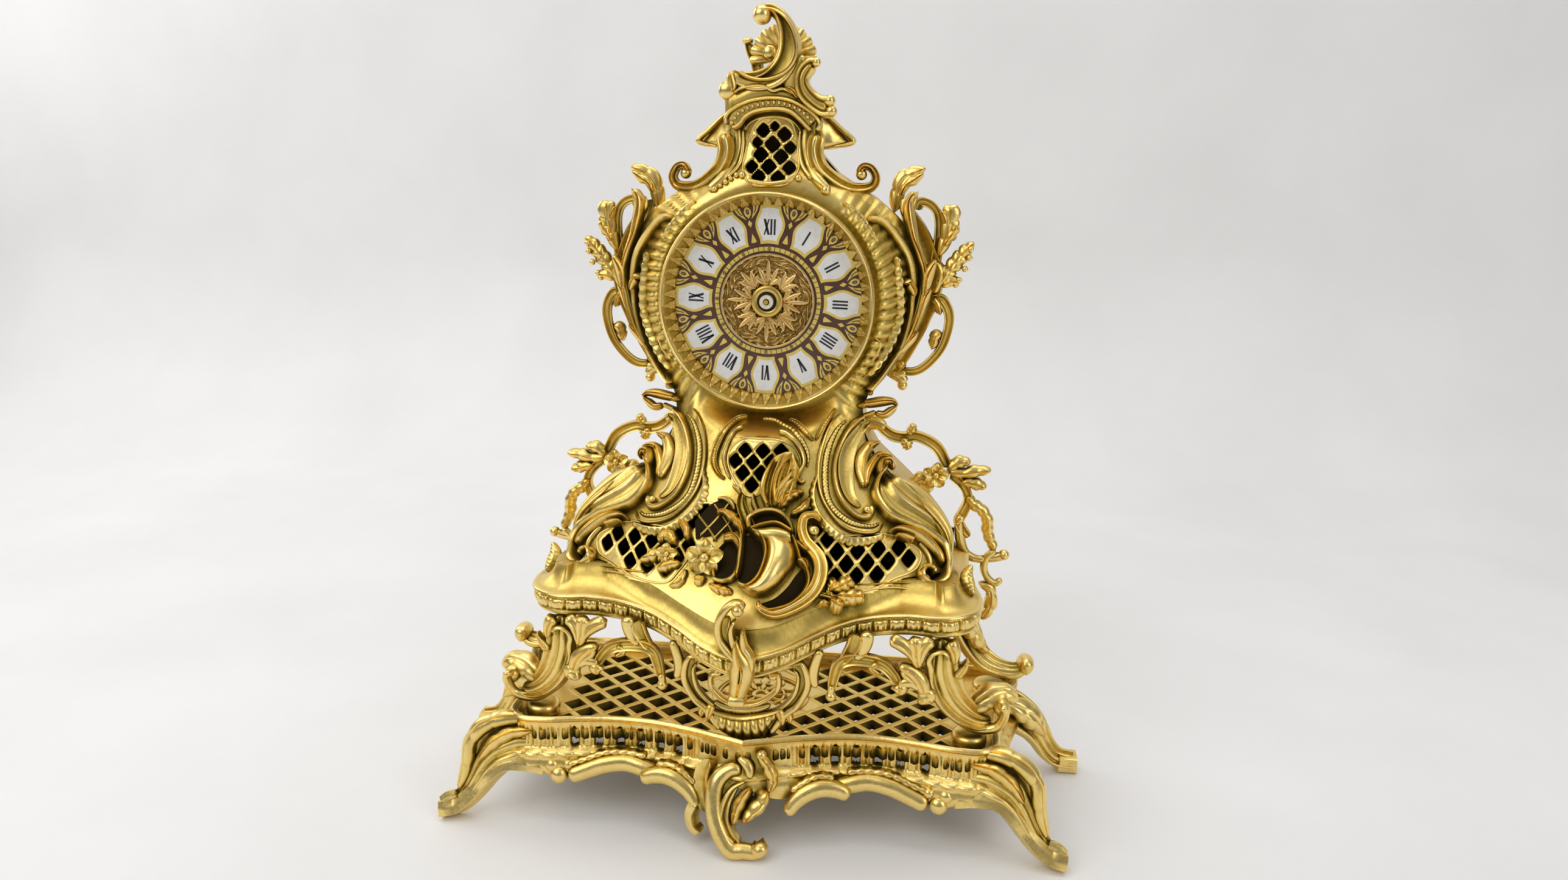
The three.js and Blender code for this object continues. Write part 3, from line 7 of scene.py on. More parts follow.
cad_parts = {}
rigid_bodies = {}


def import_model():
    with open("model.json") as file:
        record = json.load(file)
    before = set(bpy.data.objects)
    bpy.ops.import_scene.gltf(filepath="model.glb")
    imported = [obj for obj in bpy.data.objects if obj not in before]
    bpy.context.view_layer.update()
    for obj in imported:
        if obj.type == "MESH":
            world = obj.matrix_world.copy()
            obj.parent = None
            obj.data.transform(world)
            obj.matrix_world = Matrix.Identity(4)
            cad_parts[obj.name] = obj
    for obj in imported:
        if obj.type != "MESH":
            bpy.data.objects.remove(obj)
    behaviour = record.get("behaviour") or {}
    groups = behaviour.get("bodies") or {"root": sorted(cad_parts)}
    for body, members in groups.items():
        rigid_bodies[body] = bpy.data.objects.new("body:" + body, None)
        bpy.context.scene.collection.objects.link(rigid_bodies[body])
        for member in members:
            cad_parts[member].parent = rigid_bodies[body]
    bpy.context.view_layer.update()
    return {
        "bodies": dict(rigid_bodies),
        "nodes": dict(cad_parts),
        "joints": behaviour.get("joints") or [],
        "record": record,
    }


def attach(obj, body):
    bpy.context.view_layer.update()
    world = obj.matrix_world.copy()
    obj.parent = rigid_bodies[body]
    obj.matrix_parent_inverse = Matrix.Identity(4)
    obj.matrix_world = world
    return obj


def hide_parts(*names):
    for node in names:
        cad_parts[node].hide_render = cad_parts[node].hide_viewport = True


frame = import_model()

# Lengths below are in millimetres in the plane of the photograph's clock, x to the right, y to the back, z up.
# A point goes into the frame by moving it back by originDepth and dividing by 1000.
originDepth = 46.7116
padFoot = 50.3
padTop = 57.5
plateTop = 50.0
mouldingBottom = 112.4
mouldingZ = 126.9
dialZ = 267.6
neckZ = 345.6
seatDepth = -15.0
wingDepth = 11.6
wingBroad = 1.3
bezelOuter = 56.5
# the dial stands turned by a little less than two degrees
dialTurn = math.radians(1.7)
# distance between the stations of a path, unless a finer one is asked for
pathStep = 0.9


# Paths and surfaces


def tableValue(rows, key, at):
    # cubic pieces with the slope at each row taken from its two neighbours
    rows = np.asarray(rows, float)
    at = np.asarray(at, float)
    z, v = rows[:, 0], rows[:, key]
    low = np.maximum(np.arange(len(z)) - 1, 0)
    high = np.minimum(np.arange(len(z)) + 1, len(z) - 1)
    slope = (v[high] - v[low]) / (z[high] - z[low])
    i = np.clip(np.searchsorted(z, at, side="right") - 1, 0, len(z) - 2)
    h = z[i + 1] - z[i]
    t = np.clip((at - z[i]) / h, 0, 1)
    return ((2 * t**3 - 3 * t**2 + 1) * v[i] + (t**3 - 2 * t**2 + t) * h * slope[i]
            + (3 * t**2 - 2 * t**3) * v[i + 1] + (t**3 - t**2) * h * slope[i + 1])


caseRows = [
    (mouldingZ - 12, 97, -97, -62), (mouldingZ + 4.5, 97, -86, -57), (mouldingZ + 12.5, 98, -80, -50),
    (mouldingZ + 22.5, 94, -70, -42), (mouldingZ + 35.5, 84, -57, -32), (mouldingZ + 50.5, 68, -46, -24),
    (mouldingZ + 62.5, 56, -39, -18), (dialZ - 68, 52, -34, -14), (dialZ - 58, 51, -29, -11),
    (dialZ - 48, 54, -24, -8), (dialZ - 33, 64, -19, -4), (dialZ - 18, 74, -16, -1), (dialZ, 80, -15, 0),
    (dialZ + 17, 80, -15, 0), (dialZ + 32, 74, -15, -1), (dialZ + 44, 66, -15, -1), (dialZ + 54, 53, -14, 0),
    (dialZ + 62, 40, -13, 1), (dialZ + 70, 28, -11, 1), (neckZ, 23, -9, 0), (neckZ + 10, 22, -8, 0),
    (neckZ + 20, 23, -7, 0), (neckZ + 28, 18, -6, -1), (neckZ + 34, 8, -5, -3)]


def halfWidth(z):
    return tableValue(caseRows, 1, z)


def smoothStep(x, low, high):
    t = np.clip((x - low) / (high - low), 0, 1)
    return t * t * (3 - 2 * t)


def frontDepth(x, z):
    # bowed across the case, and flat round the dial where the bezel sits
    share = np.minimum(1, np.abs(x) / halfWidth(z))
    middle = tableValue(caseRows, 2, z)
    edge = tableValue(caseRows, 3, z)
    bowed = middle + (edge - middle) * share**2.2
    flat = 1 - smoothStep(np.hypot(x, z - dialZ), bezelOuter + 2, bezelOuter + 16)
    return bowed + (seatDepth - bowed) * flat


def frontNormal(x, z):
    reach = 1.5
    across = (frontDepth(x + reach, z) - frontDepth(x - reach, z)) / (2 * reach)
    up = (frontDepth(x, z + reach) - frontDepth(x, z - reach)) / (2 * reach)
    n = np.stack([across, -np.ones_like(across), up], -1)
    return n / np.linalg.norm(n, axis=-1, keepdims=True)


def smoothPath(points, step):
    # smooth curve through the points, then cut into even steps
    fewest = 10
    p = np.asarray(points, float)
    if len(p) == 2:
        p = np.array([p[0], (p[0] + p[1]) / 2, p[1]])
    gaps = np.maximum(np.linalg.norm(np.diff(p, axis=0), axis=1), 1e-6) ** 0.5
    t = np.concatenate([[0], np.cumsum(gaps)])
    m = np.gradient(p, t, axis=0)
    s = np.linspace(0, 1, 20, endpoint=False)[None, :, None]
    h = np.diff(t)[:, None, None]
    a, b, ma, mb = p[:-1, None], p[1:, None], m[:-1, None], m[1:, None]
    dense = ((2 * s**3 - 3 * s**2 + 1) * a + (s**3 - 2 * s**2 + s) * h * ma
             + (3 * s**2 - 2 * s**3) * b + (s**3 - s**2) * h * mb)
    q = np.concatenate([dense.reshape(-1, p.shape[1]), p[-1:]])
    length = np.concatenate([[0], np.cumsum(np.linalg.norm(np.diff(q, axis=0), axis=1))])
    count = max(fewest, int(length[-1] / step) + 1)
    at = np.linspace(0, length[-1], count)
    return np.stack([np.interp(at, length, q[:, k]) for k in range(q.shape[1])], 1)


def spread(values, count):
    values = np.asarray(values, float)
    if values.ndim == 0 or len(values) == 1:
        return np.full(count, float(values.reshape(-1)[0]))
    rows = np.stack([np.linspace(0, 1, len(values)), values], 1)
    return tableValue(rows, 1, np.linspace(0, 1, count))


def onFront(points, lift, step):
    # path drawn in the front view and laid on the case front; a third number lifts a point off it
    p = smoothPath(points, step)
    extra = p[:, 2] if p.shape[1] > 2 else 0
    n = frontNormal(p[:, 0], p[:, 1])
    base = np.stack([p[:, 0], frontDepth(p[:, 0], p[:, 1]), p[:, 1]], 1)
    return base + n * np.reshape(lift + extra, (-1, 1)), n


def inPlane(points, y):
    # path drawn in the front view on an upright plane; a third number brings a point forward
    p = smoothPath(points, pathStep)
    extra = p[:, 2] if p.shape[1] > 2 else 0
    path = np.stack([p[:, 0], y - extra + 0 * p[:, 0], p[:, 1]], 1)
    return path, np.tile([0.0, -1.0, 0.0], (len(p), 1))


def inSpace(points, facing, step=pathStep):
    # path in three coordinates; facing gives the way its face looks at evenly spread stations
    path = smoothPath(points, step)
    facing = np.atleast_2d(np.asarray(facing, float))
    n = np.stack([spread(facing[:, k], len(path)) for k in range(3)], 1)
    return path, n / np.linalg.norm(n, axis=1, keepdims=True)


# Mesh parts hold vertices, quads, triangles and a height share from 0 in the hollows to 1 on the ridges; values far
# below 0 mark faces painted near black as shade


def makePart(v, quads, tris, height):
    v = np.asarray(v, float)
    quads = np.asarray(quads, int).reshape(-1, 4)
    tris = np.asarray(tris, int).reshape(-1, 3)
    both = np.concatenate([tris, quads[:, [0, 1, 2]], quads[:, [0, 2, 3]]])
    volume = np.einsum("ij,ij->i", v[both[:, 0]], np.cross(v[both[:, 1]], v[both[:, 2]])).sum()
    if volume < 0:
        quads, tris = quads[:, ::-1], tris[:, ::-1]
    return {"v": v, "q": quads, "t": tris, "h": np.broadcast_to(height, (len(v),)).astype(float)}


def ringGrid(rings, height=1.0):
    # closed skin over a stack of closed rings, with a fan at each end
    n, m = rings.shape[:2]
    i, j = np.meshgrid(np.arange(n - 1), np.arange(m), indexing="ij")
    k = (j + 1) % m
    quads = np.stack([i * m + j, i * m + k, (i + 1) * m + k, (i + 1) * m + j], -1).reshape(-1, 4)
    j = np.arange(m)
    k = (j + 1) % m
    first, last = n * m, n * m + 1
    tris = np.concatenate([np.stack([np.full(m, first), k, j], 1),
                           np.stack([np.full(m, last), (n - 1) * m + j, (n - 1) * m + k], 1)])
    v = np.concatenate([rings.reshape(-1, 3), [rings[0].mean(0)], [rings[-1].mean(0)]])
    h = np.broadcast_to(height, (n, m)).reshape(-1)
    return makePart(v, quads, tris, np.concatenate([h, [h[0], h[-1]]]))


def loopGrid(rings, height=1.0):
    # closed skin over rings that themselves run round a closed loop
    n, m = rings.shape[:2]
    i, j = np.meshgrid(np.arange(n), np.arange(m), indexing="ij")
    a, b = (i + 1) % n, (j + 1) % m
    quads = np.stack([i * m + j, i * m + b, a * m + b, a * m + j], -1).reshape(-1, 4)
    return makePart(rings.reshape(-1, 3), quads, [], np.broadcast_to(height, (n, m)).reshape(-1))


def mirror(parts):
    out = []
    for p in parts:
        out.append({**p, "v": p["v"] * [-1, 1, 1], "q": p["q"][:, ::-1], "t": p["t"][:, ::-1]})
    return out


def both(parts):
    return parts + mirror(parts)


profiles = {
    "round": [(-1, 0), (-0.95, 0.31), (-0.8, 0.6), (-0.5, 0.87), (0, 1), (0.5, 0.87), (0.8, 0.6), (0.95, 0.31), (1, 0)],
    "flat": [(-1, 0), (-0.96, 0.6), (-0.85, 0.93), (0, 1), (0.85, 0.93), (0.96, 0.6), (1, 0)],
    "gutter": [(-1, 0), (-0.96, 0.62), (-0.85, 0.98), (-0.72, 0.95), (-0.58, 0.6), (-0.3, 0.26), (0, 0.18),
               (0.3, 0.26), (0.58, 0.6), (0.72, 0.95), (0.85, 0.98), (0.96, 0.62), (1, 0)],
    "rimRight": [(-1, 0), (-0.95, 0.3), (-0.85, 0.42), (-0.7, 0.32), (-0.4, 0.2), (-0.1, 0.22), (0.2, 0.42),
                 (0.5, 0.82), (0.7, 1), (0.85, 0.92), (0.96, 0.5), (1, 0)],
    "rimLeft": [(-1, 0), (-0.96, 0.5), (-0.85, 0.92), (-0.7, 1), (-0.5, 0.82), (-0.2, 0.42), (0.1, 0.22),
                (0.4, 0.2), (0.7, 0.32), (0.85, 0.42), (0.95, 0.3), (1, 0)],
    "double": [(-1, 0), (-0.95, 0.5), (-0.82, 0.78), (-0.62, 0.7), (-0.5, 0.42), (-0.34, 0.4), (-0.15, 0.85),
               (0.1, 1), (0.35, 0.85), (0.52, 0.42), (0.66, 0.5), (0.8, 0.72), (0.93, 0.5), (1, 0)],
    "leaf": [(-1, 0.12), (-0.9, 0.42), (-0.7, 0.7), (-0.4, 0.93), (-0.16, 1), (0, 0.72), (0.16, 1), (0.4, 0.93),
             (0.7, 0.7), (0.9, 0.42), (1, 0.12)],
    "hollow": [(-1, 0.7), (-0.9, 1), (-0.7, 0.8), (-0.35, 0.35), (0, 0.2), (0.35, 0.35), (0.7, 0.8), (0.9, 1),
        (1, 0.7)],
    "fluted": [(-1, 0), (-0.96, 0.45), (-0.86, 0.62), (-0.74, 0.5), (-0.64, 0.3), (-0.52, 0.55), (-0.4, 0.74),
               (-0.26, 0.74), (-0.16, 0.42), (-0.06, 0.4), (0.08, 0.8), (0.24, 0.9), (0.38, 0.72), (0.46, 0.4),
               (0.56, 0.38), (0.68, 0.8), (0.8, 1.0), (0.93, 0.8), (1, 0)],
    "ridges": [(-1, 0), (-0.95, 0.6), (-0.82, 0.96), (-0.66, 0.8), (-0.5, 0.35), (-0.2, 0.18), (0.2, 0.18), (0.5, 0.35),
               (0.66, 0.8), (0.82, 0.96), (0.95, 0.6), (1, 0)],
    "roll": [(-1, 0), (-0.9, 0.5), (-0.7, 0.84), (-0.4, 1), (0, 0.94), (0.4, 0.7), (0.75, 0.36), (1, 0.05)],
}


def scroll(where, widths, height, profile="round", back=1.2, across=17, lobes=None, veins=0.0, ribs=None,
           side=0, lean=0.0, rounded=False, bend=0.0, square=False):
    # a strip carried along a path: its face follows the profile, its edge may be cut into lobes, its face may
    # carry veins that run from the middle to the notches, or ribs that run straight across
    path, normal = where
    n = len(path)
    along = np.gradient(path, axis=0)
    along /= np.maximum(np.linalg.norm(along, axis=1, keepdims=True), 1e-9)
    normal = normal - (normal * along).sum(1, keepdims=True) * along
    normal /= np.linalg.norm(normal, axis=1, keepdims=True)
    beside = np.cross(along, normal)
    s = np.linspace(0, 1, n)[:, None]
    u = np.sin(np.linspace(-np.pi / 2, np.pi / 2, across))[None, :]
    left, right = (widths if isinstance(widths, tuple) else (widths, widths))
    wl, wr = spread(left, n)[:, None], spread(right, n)[:, None]
    w = np.where(u < 0, wl, wr)
    table = np.array(profiles[profile])
    h = np.interp(u, table[:, 0], table[:, 1]) * np.ones_like(s)
    tall = spread(height, n)[:, None]
    if not square:
        # both ends close in as quarter rounds
        run = np.concatenate([[0], np.cumsum(np.linalg.norm(np.diff(path, axis=0), axis=1))])[:, None]
        inward = np.clip(np.minimum(run, run[-1] - run) / (0.8 * max(0.8, float(w.mean()))), 0, 1)
        cap = np.sqrt(1 - (1 - inward) ** 2)
        w = w * (0.3 + 0.7 * cap)
        tall = tall * (0.35 + 0.65 * cap)
    edgeShare = np.abs(u)
    if side:
        edgeShare = np.clip(side * u, 0, 1)
    if lobes:
        count, depth = lobes[:2]
        phase = lobes[2] if len(lobes) > 2 else 0.0
        lobe = np.abs(np.sin(np.pi * (count * s + phase))) ** 0.5
        w = w * (1 - depth * (1 - lobe) * edgeShare)
        if veins:
            h = h * (1 - veins * (1 - np.abs(np.sin(np.pi * (count * s + phase))) ** 0.6) * edgeShare**0.6)
    if ribs:
        count, deep = ribs
        rib = np.abs(np.sin(np.pi * count * s)) ** 0.7
        h = h * (1 - deep * (1 - rib) * np.clip(1.4 * edgeShare + 0.1, 0, 1))
    forward = lean * edgeShare**1.5 * w
    spreadOut = path[:, None] + beside[:, None] * (u * w)[..., None] + along[:, None] * (forward * np.ones_like(s))[...,
        None]
    cup = bend * (u**2) * w
    face = spreadOut + normal[:, None] * (tall * h + cup)[..., None]
    share = np.sqrt(np.maximum(0, 1 - u**2)) if rounded else np.ones_like(u)
    depth = spread(back, n)[:, None] * np.maximum(share, 0.06)
    rear = spreadOut + normal[:, None] * (cup - depth)[..., None]
    rings = np.concatenate([face, rear[:, ::-1]], 1)
    level = np.concatenate([h, np.full_like(h, 0.5)], 1)
    return ringGrid(rings, np.clip(level, 0, 1))


def panel(edgeA, edgeB, height, y=None, lift=0.0, flutes=0, deep=0.3, dome=0.6, back=1.6, across=19, step=1.0,
          level=None, ends=(0.15, 0.15), ribs=None):
    # sheet between two edges drawn in the front view: height * sin(pi u)^dome * (1 - deep * cos^2(pi flutes u)),
    # sinking towards both ends, on the case front or on an upright plane at depth y
    a, b = smoothPath(edgeA, 0.5), smoothPath(edgeB, 0.5)
    n = max(10, int(max(len(a), len(b)) * 0.5 / step))
    a = np.stack([np.interp(np.linspace(0, 1, n), np.linspace(0, 1, len(a)), a[:, k]) for k in (0, 1)], 1)
    b = np.stack([np.interp(np.linspace(0, 1, n), np.linspace(0, 1, len(b)), b[:, k]) for k in (0, 1)], 1)
    u = np.linspace(0, 1, across)[None, :, None]
    flat = a[:, None] + (b - a)[:, None] * u
    s = np.linspace(0, 1, n)[:, None]
    sink = smoothStep(s, 0, ends[0]) * (1 - smoothStep(s, 1 - ends[1], 1))
    tall = spread(height, n)[:, None] * np.sin(np.pi * u[..., 0]) ** dome * (0.15 + 0.85 * sink)
    grooves = np.cos(np.pi * flutes * u[..., 0]) ** 2 if flutes else np.zeros_like(u[..., 0])
    tall = tall * (1 - deep * grooves)
    if ribs:
        grooves = (1 - np.abs(np.sin(np.pi * ribs * s)) ** 0.7) * np.ones_like(grooves)
        tall = tall - deep * spread(height, n)[:, None] * grooves * np.sin(np.pi * u[..., 0]) ** 0.3
    x, z = flat[..., 0], flat[..., 1]
    base = np.stack([x, frontDepth(x, z) if y is None else y + 0 * x, z], -1)
    normal = frontNormal(x, z) if y is None else np.broadcast_to(np.array([0.0, -1.0, 0.0]), base.shape)
    face = base + normal * (tall + lift)[..., None]
    rear = base + normal * (lift - back * np.sin(np.pi * u[..., 0])[..., None] ** 0.3 - 0.05)
    rings = np.concatenate([face, rear[:, ::-1]], 1)
    share = (1 - 0.85 * grooves) * (0.35 + 0.65 * np.sin(np.pi * u[...,
        0])) * np.ones_like(x) if level is None else level + 0 * x
    return ringGrid(rings, np.concatenate([share, np.full_like(share, 0.4)], 1))


def unitBall(rows=7, columns=10):
    a = np.linspace(0, np.pi, rows + 2)[1:-1][:, None]
    b = np.linspace(0, 2 * np.pi, columns, endpoint=False)[None, :]
    rings = np.stack([np.sin(a) * np.cos(b), np.sin(a) * np.sin(b), np.cos(a) + 0 * b], -1)
    part = ringGrid(rings)
    part["v"][-2] = [0, 0, 1]
    part["v"][-1] = [0, 0, -1]
    return part


ballShape = unitBall()
fineBall = unitBall(13, 20)


def copies(shape, frames):
    # one shape repeated at many frames, each a 3x4 matrix of axes and place
    frames = np.asarray(frames, float)
    v = np.einsum("nij,mj->nmi", frames[:, :, :3], shape["v"]) + frames[:, None, :, 3]
    shift = (np.arange(len(frames)) * len(shape["v"]))[:, None, None]
    return makePart(v.reshape(-1, 3), (shape["q"] + shift).reshape(-1, 4), (shape["t"] + shift).reshape(-1, 3), 1.0)


def beads(where, pitch, radius, tall, long):
    path, normal = where
    length = np.concatenate([[0], np.cumsum(np.linalg.norm(np.diff(path, axis=0), axis=1))])
    count = max(2, int(round(length[-1] / pitch)))
    at = (np.arange(count) + 0.5) * length[-1] / count
    centre = np.stack([np.interp(at, length, path[:, k]) for k in range(3)], 1)
    n = np.stack([np.interp(at, length, normal[:, k]) for k in range(3)], 1)
    slope = np.gradient(path, axis=0)
    t = np.stack([np.interp(at, length, slope[:, k]) for k in range(3)], 1)
    t /= np.linalg.norm(t, axis=1, keepdims=True)
    n -= (n * t).sum(1, keepdims=True) * t
    n /= np.linalg.norm(n, axis=1, keepdims=True)
    b = np.cross(t, n)
    frames = np.stack([t * long, b * radius, n * tall, centre], -1)
    return copies(ballShape, frames)


def ball(x, z, radius, lift=0.0, y=None, depth=None):
    if y is None:
        y = float(frontDepth(np.array(x), np.array(z))) - lift
    depth = depth or radius
    frame = np.array([[radius, 0, 0, x], [0, depth, 0, y], [0, 0, radius, z]])
    return copies(fineBall, [frame])


def flower(x, y, z, radius, tilt, deep, phase):
    # petals as cupped leaves round a domed middle
    petals, core = 5, 0.26
    facing = np.array(tilt, float)
    facing /= np.linalg.norm(facing)
    up = np.array([0.0, 0.0, 1.0]) - facing[2] * facing
    up /= np.linalg.norm(up)
    right = np.cross(up, facing)
    out = []
    for k in range(petals):
        a = phase + 2 * np.pi * k / petals
        d = np.cos(a) * right + np.sin(a) * up
        start = np.array([x, y, z]) + d * radius * 0.12 + facing * deep * 0.5
        points = [start, start + d * radius * 0.5 + facing * deep * 0.35,
            start + d * radius * 0.88 - facing * deep * 0.2]
        widths = [share * radius for share in (0.16, 0.36, 0.44, 0.3, 0.05)]
        out.append(scroll(inSpace(points, [facing], 0.5), widths, deep * 0.5, "hollow", back=0.8, across=13, bend=0.12))
    frame = np.stack([right * radius * core, up * radius * core, facing * radius * core * 0.9,
                      np.array([x, y, z]) + facing * deep * 0.9], -1)
    out.append(copies(fineBall, [frame]))
    return out


def ringBand(inner, outer, yFront, yBack, start=0.0, end=2 * np.pi, *, count):
    # flat ring, or a stretch of one
    whole = abs(end - start) > 2 * np.pi - 1e-6
    a = np.linspace(start, end, count, endpoint=not whole)
    ca, sa = np.cos(a), np.sin(a)
    cross = [(inner, yFront), (outer, yFront), (outer, yBack), (inner, yBack)]
    rings = np.stack([np.stack([r * ca, np.full(len(a), y), dialZ + r * sa], 1) for r, y in cross], 1)
    return loopGrid(rings) if whole else ringGrid(rings)


def turned(profile, count, wave=None):
    # closed outline of radius and depth turned about the dial's axis; wave may move each point
    profile = np.asarray(profile, float)
    a = np.linspace(0, 2 * np.pi, count, endpoint=False)[:, None]
    r = np.broadcast_to(profile[None, :, 0], (count, len(profile))).copy()
    y = np.broadcast_to(profile[None, :, 1], (count, len(profile))).copy()
    level = np.ones_like(r)
    if wave is not None:
        r, y, level = wave(r, y, a)
    rings = np.stack([r * np.cos(a), y, dialZ + r * np.sin(a)], -1)
    return loopGrid(rings, level)


made = {}


def addPiece(name, parts, material, nodes=(), *, sharp=50):
    v = np.concatenate([p["v"] for p in parts]) + [0, originDepth, 0]
    v[:, 2] = np.maximum(v[:, 2], 0)
    starts = np.cumsum([0] + [len(p["v"]) for p in parts[:-1]])
    quads = np.concatenate([p["q"] + s for p, s in zip(parts, starts)])
    tris = np.concatenate([p["t"] + s for p, s in zip(parts, starts)])
    level = np.concatenate([p["h"] for p in parts])
    mesh = bpy.data.meshes.new(name)
    mesh.vertices.add(len(v))
    mesh.vertices.foreach_set("co", (v / 1000).astype(np.float32).ravel())
    loops = np.concatenate([quads.ravel(), tris.ravel()])
    mesh.loops.add(len(loops))
    mesh.loops.foreach_set("vertex_index", loops.astype(np.int32))
    totals = np.concatenate([np.full(len(quads), 4), np.full(len(tris), 3)])
    mesh.polygons.add(len(totals))
    mesh.polygons.foreach_set("loop_start", np.concatenate([[0], np.cumsum(totals)[:-1]]).astype(np.int32))
    mesh.polygons.foreach_set("use_smooth", np.ones(len(totals), bool))
    mesh.update(calc_edges=True)
    mesh.set_sharp_from_angle(angle=math.radians(sharp))
    attribute = mesh.attributes.new("relief", "FLOAT", "POINT")
    attribute.data.foreach_set("value", level.astype(np.float32))
    obj = bpy.data.objects.new(name, mesh)
    bpy.context.scene.collection.objects.link(obj)
    mesh.materials.append(material)
    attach(obj, "case")
    if nodes:
        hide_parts(*nodes)
    made[name] = obj
    print(name, len(v), "vertices", len(totals), "faces")


def castPiece(name, parts, *nodes, sharp=50):
    addPiece(name, parts, castBrass, nodes, sharp=sharp)


def castPair(name, parts, node):
    # the piece on the right and its mirror image on the left
    castPiece(name + "Right", parts, node + "_right")
    castPiece(name + "Left", mirror(parts), node + "_left")


# Materials


# painted shadow: near-black colour for hole walls, inner faces and sheets that stand for the shade inside the case
paintedShadowColour = (0.022, 0.015, 0.006, 1)
unpolishedShadeColour = (0.030, 0.022, 0.012, 1)
# relief of a wall inside a hole or an inner face, and of a sheet that stands for the dark behind the casting; the
# material paints both near black as the shade there
innerShadowRelief = -2.0
shadowSheetRelief = -3.0


def newMaterial(name):
    material = bpy.data.materials.new(name)
    material.use_nodes = True
    return material, material.node_tree, material.node_tree.nodes["Principled BSDF"]


def addNode(tree, kind, values=None, **settings):
    node = tree.nodes.new(kind)
    for key, value in settings.items():
        setattr(node, key, value)
    for key, value in (values or {}).items():
        if isinstance(value, bpy.types.NodeSocket):
            tree.links.new(value, node.inputs[key])
        else:
            node.inputs[key].default_value = value
    return node


def noise(tree, scale, detail, rough=0.5):
    place = addNode(tree, "ShaderNodeTexCoord").outputs["Object"]
    values = {"Vector": place, "Scale": scale, "Detail": detail, "Roughness": rough}
    return addNode(tree, "ShaderNodeTexNoise", values).outputs["Fac"]


def maths(tree, kind, a, b=0.5, c=0.5, clamp=False):
    return addNode(tree, "ShaderNodeMath", {0: a, 1: b, 2: c}, operation=kind, use_clamp=clamp).outputs[0]


def mixColour(tree, share, colour, other):
    # the Mix node has its two colours at inputs 6 and 7 and the mixed colour at output 2
    return addNode(tree, "ShaderNodeMix", {"Factor": share, 6: colour, 7: other}, data_type="RGBA").outputs[2]


def addBump(tree, shader, height, strength, distance):
    bump = addNode(tree, "ShaderNodeBump", {"Height": height, "Strength": strength, "Distance": distance})
    tree.links.new(bump.outputs[0], shader.inputs["Normal"])


def ramp(tree, value, stops):
    node = addNode(tree, "ShaderNodeValToRGB", {"Fac": value})
    while len(node.color_ramp.elements) < len(stops):
        node.color_ramp.elements.new(0.5)
    for element, (at, color) in zip(node.color_ramp.elements, stops):
        element.position = at
        element.color = (*color, 1)
    return node.outputs["Color"]


def brassMaterial(name, stops, roughLow, cast=True, roughHigh=0.5, bump=0.25):
    material, tree, shader = newMaterial(name)
    blotch = noise(tree, 60, 3)
    grain = noise(tree, 420, 5, 0.6)
    if cast:
        relief = addNode(tree, "ShaderNodeAttribute", attribute_name="relief").outputs["Fac"]
        # painted shade: the shade attribute, from metal close in front of each point, darkens recesses as their shade
        # and their patina; low relief adds patina in the hollows
        shade = addNode(tree, "ShaderNodeAttribute", attribute_name="shade").outputs["Fac"]
        low = maths(tree, "SUBTRACT", 1.0, relief)
        deep = maths(tree, "MULTIPLY_ADD", shade, 0.75, maths(tree, "MULTIPLY", low, 0.3))
        deep = maths(tree, "ADD", deep, maths(tree, "MULTIPLY_ADD", blotch, 0.3, -0.13))
        deep = maths(tree, "ADD", deep, maths(tree, "MULTIPLY_ADD", grain, 0.24, -0.12), clamp=True)
    else:
        deep = maths(tree, "MULTIPLY", blotch, 0.5, clamp=True)
    colour = ramp(tree, deep, stops)
    if cast:
        # painted shadow: faces whose relief is far below 0 (hole walls, inner faces, sheets behind openings) turn
        # nearly black as the shade there
        hollow = maths(tree, "MULTIPLY_ADD", relief, -0.7, -0.4, clamp=True)
        colour = mixColour(tree, hollow, colour, paintedShadowColour)
    tree.links.new(colour, shader.inputs["Base Color"])
    shader.inputs["Metallic"].default_value = 1.0
    matt = maths(tree, "MULTIPLY_ADD", deep, 0.8, maths(tree, "MULTIPLY", grain, 0.4))
    rough = addNode(tree, "ShaderNodeMapRange", {"Value": matt, "From Min": 0.1, "From Max": 1.0,
                                                 "To Min": roughLow, "To Max": roughHigh})
    tree.links.new(rough.outputs[0], shader.inputs["Roughness"])
    swell = noise(tree, 110, 2)
    addBump(tree, shader, maths(tree, "MULTIPLY_ADD", grain, 0.35, swell), bump, 0.0006)
    return material


goldStops = [(0.0, (0.95, 0.72, 0.27)), (0.3, (0.84, 0.60, 0.16)), (0.6, (0.52, 0.37, 0.07)),
    (1.0, (0.15, 0.11, 0.018))]
castBrass = brassMaterial("castBrass", goldStops, 0.23, bump=0.34)
agedStops = [(0.0, (0.92, 0.68, 0.32)), (0.25, (0.70, 0.45, 0.15)), (0.6, (0.22, 0.13, 0.03)),
    (1.0, (0.07, 0.04, 0.012))]
agedBrass = brassMaterial("agedBrass", agedStops, 0.25)
sheetStops = [(0.0, (0.80, 0.58, 0.17)), (0.5, (0.66, 0.45, 0.11)), (1.0, (0.10, 0.07, 0.02))]
plainBrass = brassMaterial("plainBrass", sheetStops, 0.22, cast=False, roughHigh=0.45, bump=0.1)
sheetBrass = brassMaterial("sheetBrass", sheetStops, 0.3, cast=False, roughHigh=0.55, bump=0.12)


